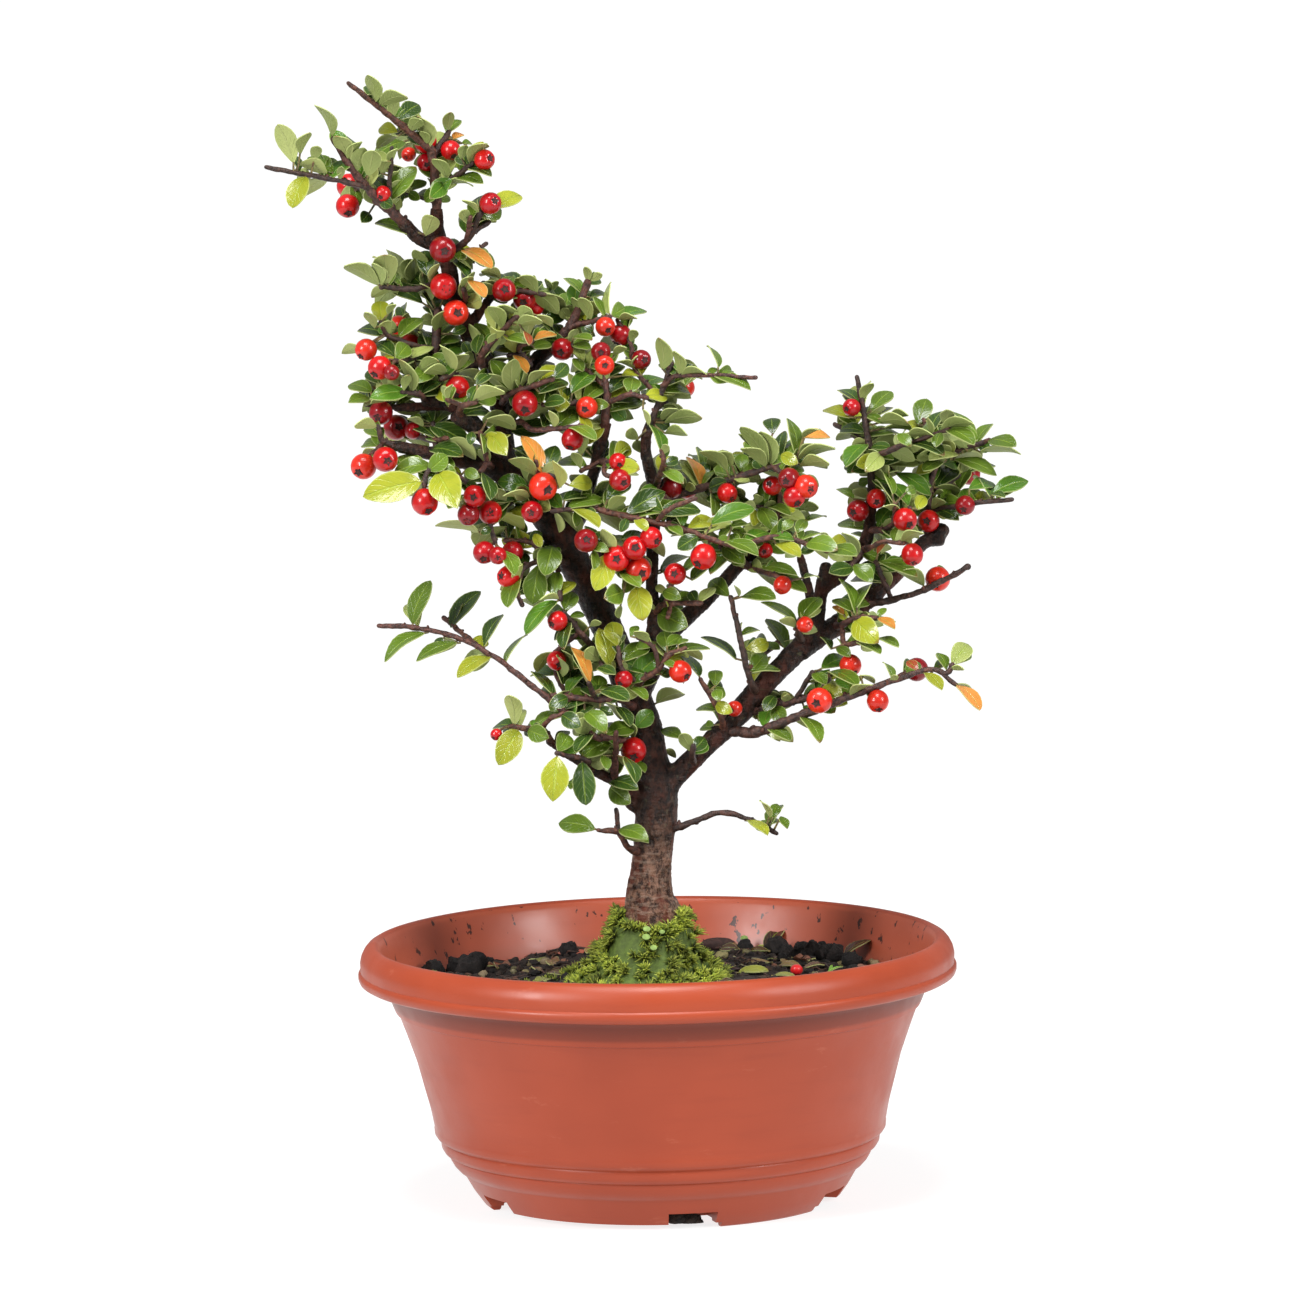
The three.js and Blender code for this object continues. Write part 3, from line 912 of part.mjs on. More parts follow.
// Two small things that lie on the soil
function lyingOval(name, [x, y], [halfLength, halfWidth, halfHeight], turn, look) {
  const flattened = -0.8;
  const oval = new THREE.SphereGeometry(1, 8, 5).rotateX(Math.PI / 2);
  const vertices = oval.attributes.position;
  for (let i = 0; i < vertices.count; i += 1) vertices.setZ(i, Math.max(vertices.getZ(i), flattened));
  oval.scale(halfLength, halfWidth, halfHeight).rotateZ(turn);
  oval.translate(x, y, soilTop(x, y) + GAP - flattened * halfHeight);
  addNode(name, largestShell(solid(oval)), look);
}

group.updateMatrixWorld(true);
const soilMesh = group.getObjectByName('soil');
soilMesh.material.side = THREE.DoubleSide;
function soilTop(x, y) {
  const reach = 2.5;
  const drops = [[0, 0], [reach, 0], [-reach, 0], [0, reach], [0, -reach]].map(([dx, dy]) => {
    const above = new THREE.Vector3(x + dx, y + dy, 2 * LIP_TOP);
    const ray = new THREE.Raycaster(above, new THREE.Vector3(0, 0, -1));
    return ray.intersectObject(soilMesh)[0].point.z;
  });
  return Math.max(...drops);
}
lyingOval('seed_pod', [19, 71], [6, 2.4, 2.2], 0.15, { color: 0x6b4a34, roughness: 0.8 });
lyingOval('fallen_berry', [42, 8], [2, 2, 1.8], 0, { color: 0xa01818, roughness: 0.35 });

export default group;
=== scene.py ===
# A fruiting bonsai in its bowl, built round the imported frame. Tables are in millimetres.
import math
import random

import bmesh
import bpy
import numpy as np
from mathutils import Matrix, Vector, noise


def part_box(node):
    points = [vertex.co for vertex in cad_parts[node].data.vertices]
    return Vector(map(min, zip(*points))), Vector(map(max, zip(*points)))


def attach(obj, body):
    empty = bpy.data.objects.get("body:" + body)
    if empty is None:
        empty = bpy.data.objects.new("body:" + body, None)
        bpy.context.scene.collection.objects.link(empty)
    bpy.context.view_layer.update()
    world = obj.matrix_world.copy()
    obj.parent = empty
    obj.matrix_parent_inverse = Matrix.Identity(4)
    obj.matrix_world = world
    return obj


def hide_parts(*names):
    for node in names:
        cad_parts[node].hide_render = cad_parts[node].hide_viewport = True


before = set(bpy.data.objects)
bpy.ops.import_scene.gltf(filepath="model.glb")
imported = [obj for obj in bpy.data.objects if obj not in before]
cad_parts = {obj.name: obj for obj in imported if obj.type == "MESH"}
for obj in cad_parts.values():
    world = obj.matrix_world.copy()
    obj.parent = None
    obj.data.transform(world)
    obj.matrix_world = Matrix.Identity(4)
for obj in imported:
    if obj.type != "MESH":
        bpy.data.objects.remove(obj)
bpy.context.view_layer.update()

MM = 0.001
# Sight line of the front view, for points that lie off the plane y = 0
EYE_DISTANCE = 2600
EYE_HEIGHT = 483
# Factor on the depths in the tables
DEPTH = 1.5
# Leaf rule, as in the part's source
LEAF_LENGTH = 13.5
LEAF_RATIO = 0.5
SNAP = 1.7
ARCH = 0.45
SHIFTS = [0, 2, -2, 4, -4, 6, -6, 8, -8]
FAR_SHARE = 0.12
SEED = 20417
TRUNK_X = -1.5

# Limbs and shoots: points x, y, z and radius
LIMBS = [
    # trunk, leaning over into the lowest left limb
    [[-1.5, 0, 45.3, 8.9], [-1.5, 0, 84, 8.8], [-2, 0, 91, 7.1], [-1.6, 0, 98, 6.2], [-0.4, 0, 108, 5.9],
     [0.8, 0, 121, 6.2], [-0.5, 1, 133, 5.2], [-3.2, 2, 146, 4.7], [-8.4, 3.5, 160, 4.8],
     [-13.5, 5, 174, 4.8], [-20, 5, 188, 4.8], [-28, 4, 203, 4.7], [-35, 3, 212.5, 4.4], [-42, 2, 219.5, 4.1],
     [-50, 0, 223.5, 3.3], [-60, -2, 225.5, 2.6], [-77, -6, 229.3, 1.5]],
    # leader
    [[-42, 2, 219, 3.2], [-44, 5, 241, 2.8], [-47, 6, 252, 2.6], [-52.5, 6, 261, 2.5], [-56.5, 5, 272, 2.4],
     [-59, 4, 285, 2.3], [-61.5, 3, 293, 2.1], [-61.5, 3, 300, 1.9]],
    # branch off the leader to the upper left
    [[-60, 3, 288, 2.2], [-67, 2, 291, 2], [-72, 0, 296, 1.9]],
    # two cut stubs left of the leader's foot, and the arm that passes them
    [[-43, 3, 224, 2.8], [-48, 0, 231, 2.6], [-57.5, -6, 237.8, 2]],
    [[-50, -1, 233.5, 2.2], [-57, 1, 240, 2], [-67, -1, 242.8, 1.6]],
    [[-59, 1, 241, 1.6], [-68, 3, 240.6, 1.5], [-76, 3, 240.4, 1.1]],
    # broken stub right of the leader
    [[-53.5, 6, 263, 1.6], [-49.5, 5, 268.5, 1.5], [-45.5, 4, 273.5, 1.3]],
    # upper middle arm
    [[-43, 4, 232, 2.4], [-39, 8, 243, 2.3], [-34, 10, 252.5, 2.2], [-27, 9, 258.5, 1.9]],
    # centre arm
    [[-26, 4, 199, 3], [-19, 2, 210, 2], [-16, 0, 221, 1.8], [-12.3, 0, 235, 1.7]],
    # fork right of the trunk: its upright stem and its slanting limb
    [[-5, 2, 152, 3.6], [-1, 1, 160, 3.7], [1.5, 0, 168, 3.6], [1.2, 0, 177, 2.2], [0.3, 0, 188, 1.9],
     [1.8, -1, 212, 1.8], [-0.8, -1, 227, 1.6], [1.5, -2, 236, 1.3]],
    [[1.5, 0, 168, 3.3], [6, 1, 172, 2.8], [17, 3, 181.5, 2.2], [27, 4, 191.5, 2.1], [33, 4, 196, 1.8]],
    # right limb, ending in a cut stub
    [[1, 0, 122, 4], [8, 0, 129.5, 3.3], [14.5, -1, 135.6, 3], [22, -1, 142.5, 3.1], [27, 0, 148, 3.7],
     [34, 1, 155.6, 3.3], [45.5, 3, 167, 3.2], [49, 4, 173, 2.7], [50.5, 5, 180, 2.2], [53, 6, 191.5, 1.8]],
    [[44, 2, 165, 3.3], [53, 6, 171, 3], [61, 9, 176.5, 2.9], [73, 12, 187.5, 2.5], [82, 13, 197, 2.1],
     [88, 13, 198.5, 2.3]],
    [[51.5, 5, 183.5, 1.9], [58, 7, 188.5, 1.8], [65.2, 9, 199, 2], [66.6, 9, 212, 1.5]],
    [[48, 3, 171, 1.9], [47.5, 1, 182, 1.5], [45, -1, 194, 1.1]],
    # low left arm
    [[-3, 0, 121, 2.2], [-10, -3, 125.5, 1.7], [-22, -7, 132.7, 1.5], [-32, -9, 139.7, 1.2]],
]
SPRAYS = {
    "spray_crown_tip": [
        [[-61.5, 3, 299, 1.7], [-62.5, 2, 315, 1.5], [-65.5, 1, 319.5, 1.3], [-87, -6, 337.5, 0.8]],
        [[-62.3, 2, 315, 1], [-57.5, 5, 322.5, 1]], [[-61.6, 2, 305, 0.9], [-50.5, -6, 313, 0.8]],
        [[-61.6, 3, 301.5, 0.8], [-72, 6, 305.5, 0.7]], [[-62, 2, 312, 0.9], [-68, 16, 321, 0.7]],
    ],
    "spray_crown_right": [
        [[-59.4, 4, 285, 1.3], [-52.5, -2, 290.5, 1.1], [-48.5, -5, 298, 1]],
        [[-53, -2, 290, 0.8], [-51.5, -7, 297, 0.8]], [[-50.5, -3, 292.5, 0.9], [-46, -2, 295.5, 0.9]],
        [[-55, 0, 287.5, 0.9], [-51, 8, 286, 0.8], [-47, 15, 289, 0.7]],
    ],
    "spray_upper_left": [
        [[-70, 1, 294, 1.7], [-84, -6, 308.5, 1.4], [-92, -8, 321, 0.8]],
        [[-81, -4.5, 305, 1.1], [-86, -7, 307.5, 0.9], [-112, -12, 313, 0.8]],
        [[-76, -2, 300, 0.9], [-74.5, -6, 318, 0.7]],
        [[-77, -2, 301, 0.9], [-80, 6, 303, 0.8], [-88, 13, 308, 0.7]],
    ],
    "spray_left_high": [
        [[-57.8, 4, 279, 1.2], [-68, 0, 276, 0.9], [-78.5, -4, 276.5, 0.8]],
        [[-64, 1.5, 276.5, 0.8], [-68, 9, 277, 0.8], [-74, 14, 279, 0.7]],
    ],
    "spray_left_stem": [
        [[-62, 1, 242, 1.5], [-63, 3, 256, 1.5], [-61.8, 4, 269, 1.3]],
        [[-63, 3, 257.5, 1], [-76, -1, 261.5, 0.8], [-79, -3, 266, 0.8]],
        [[-63, 3, 255, 0.9], [-75, -5, 254.5, 0.8]],
        [[-63, 2.5, 253, 1], [-67, 10, 257, 0.9], [-73, 16, 263, 0.8]],
    ],
    "spray_leader_front": [
        [[-48.5, 6, 254, 1.2], [-61, -6, 249, 0.9]],
    ],
    "spray_stub_fruit": [
        [[-46.5, 4, 272, 1.2], [-43, 4, 275, 1], [-30, 1, 273.5, 0.8]],
        [[-37, 3, 275, 0.8], [-33, 8, 272, 0.8], [-28, 14, 274, 0.7]],
    ],
    "spray_stub_foot": [
        [[-55.5, 5, 269, 1.1], [-53.5, 1, 272.5, 1], [-54, -2, 275.5, 0.9]],
    ],
    "spray_leader_brown": [
        [[-46, 5, 249, 1.3], [-49, -1, 252.5, 1.2], [-48.5, -4, 256.5, 1.1], [-39.5, -8, 266, 0.9],
         [-35, -9, 268.5, 0.8]],
        [[-45, -6, 260, 0.8], [-41, -5, 269.5, 0.8]],
    ],
    "spray_arm_front": [
        [[-34.5, 9, 252.5, 1.2], [-38, -1, 257.5, 0.9], [-34, -4, 259.5, 0.8]],
        [[-37.5, 1, 256, 0.8], [-41, 0, 255.5, 0.8]],
    ],
    "spray_leader_low": [
        [[-44, 5, 240, 1.2], [-41.5, -1, 243.5, 1.1], [-38, -4, 245, 1], [-28, -7, 248, 0.8]],
    ],
    "spray_arm_end": [
        [[-29, 9, 257, 1.7], [-22.5, 8, 264, 1.5], [-17, 8, 277, 1.1]],
        [[-23, 8, 263.5, 1], [-10.5, 5, 266.5, 0.8]], [[-27, 8.5, 259, 0.9], [-22, 4, 258, 0.8]],
        [[-22, 8, 265, 0.9], [-24, 15, 268, 0.8], [-22, 20, 273, 0.7]],
    ],
    "spray_centre": [
        [[-12.8, 0, 233, 1.6], [-12, -1, 241.5, 1.2], [-12.5, 1, 250, 0.9]],
        [[-12, -0.8, 240.8, 0.9], [-31, -4, 240.5, 0.8]],
        [[-12, -0.8, 240.8, 0.9], [-5, -4, 243, 0.9], [0, -6, 242, 0.8]],
        [[-12.2, -0.6, 239, 0.9], [-4, 12, 243, 0.8]], [[-12.4, 0, 246, 0.8], [-20, 4, 252.5, 0.7]],
    ],
    "spray_upright_top": [
        [[1.2, -2, 234.5, 1.2], [7.5, -2, 252, 0.9]],
        [[4.6, -2, 245.3, 0.9], [10, -4, 248.5, 0.8], [32.5, -9, 247.5, 0.7]],
        [[3.4, -2, 242, 0.9], [-3.7, 5, 251, 0.8], [-4.5, 6, 258, 0.7], [-8.5, 7, 265.5, 0.7]],
        [[2.4, -2, 238.5, 0.9], [11, 11, 245, 0.8]],
    ],
    "spray_upright_side": [
        [[1.8, -1, 215, 1.2], [4.5, -9, 222, 0.9], [4, -10, 226, 0.8]],
    ],
    "spray_right_pad": [
        [[1.8, -1, 211, 1.5], [12, 2, 213.7, 1.4], [44, -6, 222.5, 0.9]],
        [[27, -1, 217.6, 0.9], [35, 15, 225, 0.8]], [[37, -4.2, 220.8, 0.9], [44, -10, 215.5, 0.7]],
        [[14, 1.5, 214.3, 0.9], [18, 16, 221, 0.8]],
    ],
    "spray_front_shoot": [
        [[-17.5, 1.5, 213, 1.3], [-17, -5, 209.5, 1.1], [-12, -8, 207.8, 1], [8, -11, 203, 1],
         [20, -12, 198.5, 0.9], [27, -12, 197, 0.9], [36, -13, 199.5, 0.9], [42, -13, 199, 0.8],
         [53, -14, 195, 0.8]],
        [[-17, -5, 209.5, 0.9], [-29, -8, 208.5, 0.8]],
        [[2, -10, 204.6, 0.8], [6, -13, 208.5, 0.8], [14, -14, 211.5, 0.7]],
    ],
    "spray_slant_end": [
        [[31, 4, 194.5, 1.5], [36, 4, 201, 1.4], [39.4, 3, 209, 1.2], [38.7, 2, 213.5, 0.9]],
        [[39.2, 3, 208.5, 0.8], [26, -1, 209, 0.7]], [[38, 3.5, 205, 0.8], [49, 14, 209, 0.7]],
    ],
    "spray_slant_front": [
        [[27, 4, 191.5, 1.1], [37, -5, 188, 0.8], [42, -6, 186.5, 0.8]],
        [[30, 1, 191, 0.8], [21, -5, 197, 0.7]],
    ],
    "spray_upright_fruit": [
        [[1.2, 0, 177, 1.2], [4.5, -5, 180, 1], [15, -8, 180, 0.8]],
        [[4.5, -5, 180, 0.9], [6, -8, 185.5, 0.8], [10, -9, 189.5, 0.8]],
        [[6, -5.5, 180, 0.8], [5, -8, 176, 0.8]],
    ],
    "spray_inner_front": [
        [[0.4, 0, 189, 1.2], [-4, -6, 188.5, 1], [-9, -8, 189.5, 0.9], [-18, -10, 198, 0.8]],
        [[-4, -6, 188.5, 0.8], [-5.5, -9, 196, 0.8], [-2, -10, 200, 0.7]],
    ],
    "spray_trunk_left": [
        [[-23, 4, 193, 1.3], [-28, -2, 193.5, 1.1], [-33, -4, 193.5, 1], [-38, -6, 191, 0.9],
         [-40, -7, 185, 0.9], [-38.5, -8, 180.5, 0.8]],
        [[-33, -4, 193.5, 0.9], [-35, -3, 199, 0.8], [-43, -3, 200, 0.8]],
        [[-28, -2, 193.5, 0.8], [-27, -8, 182, 0.8]],
    ],
    "spray_limb_elbow": [
        [[-36.5, 2.5, 213.5, 1.2], [-35, -4, 216, 1], [-31.5, -7, 219, 0.9], [-28, -8, 219, 0.8]],
        [[-35, -4, 216, 0.8], [-34.5, -7, 205.5, 0.7]], [[-33, -6, 217.8, 0.8], [-33.5, -8, 223.5, 0.8]],
    ],
    "spray_leader_back": [
        [[-43.3, 4, 234, 1.2], [-38, -1, 235.5, 1], [-33, -4, 233, 0.9], [-19.5, -6, 234, 0.8]],
    ],
    "spray_centre_side": [
        [[-15.3, 0, 223.5, 1.2], [-12, -5, 223, 0.9], [-9, -7, 224.5, 0.8]],
        [[-12.5, -4.2, 223.1, 0.8], [-13, -8, 219.5, 0.8], [-9.5, -9, 218, 0.7]],
        [[-14, -2, 223.3, 0.8], [-20, -4, 220.5, 0.8]],
    ],
    "spray_left_pad_end": [
        [[-75, -5.5, 228.8, 1.2], [-79, -7, 230.5, 1], [-80.5, -8, 235, 0.8]],
        [[-78.5, -6.8, 230.3, 0.9], [-83, -4, 226, 0.8]],
    ],
    "spray_left_pad_low": [
        [[-62, -2.5, 226, 1.2], [-62.5, -8, 223.5, 1.1], [-66, -10, 221, 0.9], [-67, -11, 216, 0.8]],
        [[-62.5, -8, 223.5, 0.9], [-53.5, -9, 217, 0.8], [-53, -9, 212, 0.7]],
    ],
    "spray_left_pad_top": [
        [[-63, -2.5, 226.2, 1.2], [-64, 0, 235.5, 0.9]], [[-64.3, -1.2, 230.5, 0.9], [-75, 8, 233, 0.7]],
        [[-64.3, -1.2, 230.5, 0.8], [-60, -6, 231, 0.8]],
    ],
    "spray_leader_hang": [
        [[-46, 1.5, 221.5, 1.2], [-48, -5, 223, 1], [-50, -8, 221, 0.8]],
        [[-48, -5, 223, 0.9], [-50, -9, 232.5, 0.8]],
    ],
    "spray_under_elbow": [
        [[-37, 2, 214, 1.2], [-43, -4, 210.5, 1], [-47.5, -7, 206.5, 0.9], [-46, -8, 199, 0.8]],
    ],
    "spray_stub_end": [
        [[-56, -5, 237.3, 1.2], [-55.5, -10, 240.5, 0.9], [-51, -12, 241.5, 0.8]],
        [[-55.5, -10, 240.5, 0.8], [-59.5, -11, 242.5, 0.8]],
    ],
    "spray_arm_left_end": [
        [[-74, 3, 240.4, 1.1], [-84, 1, 241.5, 0.8]], [[-77, 2.5, 241, 0.8], [-77.5, 0, 246, 0.8]],
    ],
    "spray_arm_left_top": [
        [[-66, 2.5, 241, 1.1], [-67.5, -3, 244, 1], [-73, -6, 245, 0.8]],
    ],
    "spray_trunk_low_front": [
        [[-4, 2, 148, 1.5], [-10, -5, 151.5, 1.1], [-17, -8, 151.5, 1], [-30, -9, 153, 0.8]],
        [[-17, -8, 151.5, 0.9], [-19, -11, 156.5, 0.8]], [[-25, -9, 151.6, 0.8], [-29, 2, 160, 0.8]],
    ],
    "spray_trunk_mid_front": [
        [[-10.5, 4, 165, 1.5], [-16, -4, 166, 1.1], [-26, -8, 178, 0.8]],
        [[-16, -4, 166, 0.9], [-15, -8, 162, 0.8]], [[-22, -6.5, 171.7, 0.8], [-29, -2, 166, 0.8]],
    ],
    "spray_trunk_right": [
        [[-3, 1.5, 153.5, 1.4], [-4, -6, 156, 1.1], [2, -9, 160.5, 1], [5, -9, 164.5, 0.9],
         [10, -10, 166.5, 0.8]],
        [[-4, -6, 156, 0.9], [-9, -9, 161, 0.8], [-10, -9, 167, 0.8]],
        [[2, -9, 160.5, 0.8], [0.5, -11, 167, 0.8], [-4, -11, 170, 0.7]],
    ],
    "spray_right_limb_left": [
        [[21, -1, 141, 1.4], [20, -6, 147, 1], [14.5, -8, 157, 0.8]],
    ],
    "spray_right_limb_rise": [
        [[31.5, 1, 152, 1.5], [29, -5, 158, 1.1], [24, -6, 181.5, 0.8]],
        [[28.8, -5.3, 160, 0.8], [38, 10, 168, 0.8]],
    ],
    "spray_right_limb_top": [
        [[46, 3, 167, 1.4], [44, -3, 170.5, 1], [44.5, -6, 174.5, 0.9]],
    ],
    "spray_right_arm_front": [
        [[55, 7, 172.5, 1.4], [57, 0, 172.5, 1.1], [61, -3, 174.5, 1], [67.5, -5, 174.5, 0.9]],
        [[57, 0, 172.5, 0.9], [58, -3, 167, 0.8], [64, -4, 167.5, 0.8]],
        [[61, -3, 174.5, 0.8], [62, 4, 170, 0.8], [66, 12, 171, 0.8]],
    ],
    "spray_low_right": [
        [[22.5, -1.3, 141.4, 1.8], [32, -6, 141, 1.8], [48, -10, 147, 1.4], [80, -12, 158, 0.9],
         [88, -12, 157.5, 0.9], [90, -12, 160, 0.8]],
        [[87, -12, 157.6, 0.8], [91, -12, 154, 0.8]], [[70, -12, 154.9, 0.8], [80, 0, 160, 0.8]],
    ],
    "spray_low_right_top": [
        [[27.4, -0.1, 146.6, 1.5], [48, -3, 151.5, 1.1], [53, -4, 156.5, 0.9]],
        [[42, -2, 149, 0.9], [48, -5, 158.5, 0.8]], [[36, -1, 147, 0.9], [47, 12, 152, 0.8]],
    ],
    "spray_right_side": [
        [[64, 9.5, 178.5, 1.4], [80, 6, 182, 1], [95, 3, 189.5, 0.9]],
        [[72, 8.3, 180.2, 0.8], [67.5, 3, 191.5, 0.8]], [[82, 5.6, 183, 0.8], [86, 12, 187, 0.8]],
    ],
    "spray_right_top": [
        [[66.5, 9, 210, 1.4], [66.3, 9, 225, 1.2], [62.8, 9, 247, 0.8]],
        [[66.8, 9, 221, 0.9], [70, 5, 224, 0.9], [90, 0, 231, 0.8]],
        [[66.2, 9, 227, 0.9], [56, 20, 233, 0.8]], [[66.9, 9, 218, 0.9], [79, 22, 224, 0.8]],
    ],
    "spray_far_right": [
        [[83, 13, 196.5, 1.4], [86, 16, 220, 1], [102, 14, 227.5, 0.8]],
        [[85.9, 16, 219, 0.8], [82.5, 17, 234, 0.7]],
        [[85, 14.5, 206.5, 0.9], [96, 10, 208.5, 0.8], [108.5, 8, 209.5, 0.8]],
        [[85.6, 15.5, 212.5, 0.9], [95, 27, 218, 0.8]],
    ],
    "spray_right_inner": [
        [[65.5, 9, 201, 1.3], [71, 4, 201.5, 1], [78, 1, 207.5, 0.8]],
        [[73, 3, 203, 0.8], [73.5, 0, 208.5, 0.7]],
    ],
    "spray_right_inner_low": [
        [[62, 8, 194.5, 1.2], [66, 2, 196, 0.9], [70, 0, 197.5, 0.8], [76, -1, 197, 0.8]],
        [[64, 5, 195.2, 0.8], [60, 1, 190.5, 0.8]],
    ],
    "spray_limb_underside": [
        [[12.5, -1, 131.5, 1.3], [11.5, -7, 134, 1], [12, -9, 137, 0.9]],
    ],
    "spray_low_left_shoot": [
        [[-1.5, 1, 138, 1.5], [-14, -9, 140, 1.1], [-20, -10, 142.5, 1.1], [-50, -8, 167, 0.9],
         [-70, -6, 174, 0.8], [-81.5, -5, 175, 0.8]],
        [[-52, -7.9, 168, 0.9], [-62, 5, 177, 0.8]],
    ],
    "spray_low_left": [
        [[-30, -8.5, 138.5, 1.2], [-34, -10, 142, 1.1], [-43, -11, 144, 0.8]],
        [[-34, -10, 142, 0.9], [-31, -14, 146, 0.8], [-27, -15, 147.5, 0.8]],
    ],
    "spray_low_left_riser": [
        [[-12, -4, 127, 1.3], [-11, -13, 141.5, 0.8]],
    ],
    "spray_low_left_hang": [
        [[-19, -6, 131, 1.3], [-21, -11, 133.5, 1], [-29, -14, 135.5, 0.8]],
    ],
    "spray_foot_left": [
        [[-2.5, 0, 104.5, 1.5], [-8, -5, 106.5, 1.1], [-11, -6, 111, 1], [-17, -7, 112, 0.8]],
        [[-11, -6, 110.5, 0.9], [-11.5, -6, 118, 0.8]],
    ],
    "spray_foot_right": [
        [[2.5, 0, 110.5, 1.4], [9, -3, 113, 1.1], [22, -4, 116.5, 0.9], [36.5, -5, 110, 0.8]],
    ],
}

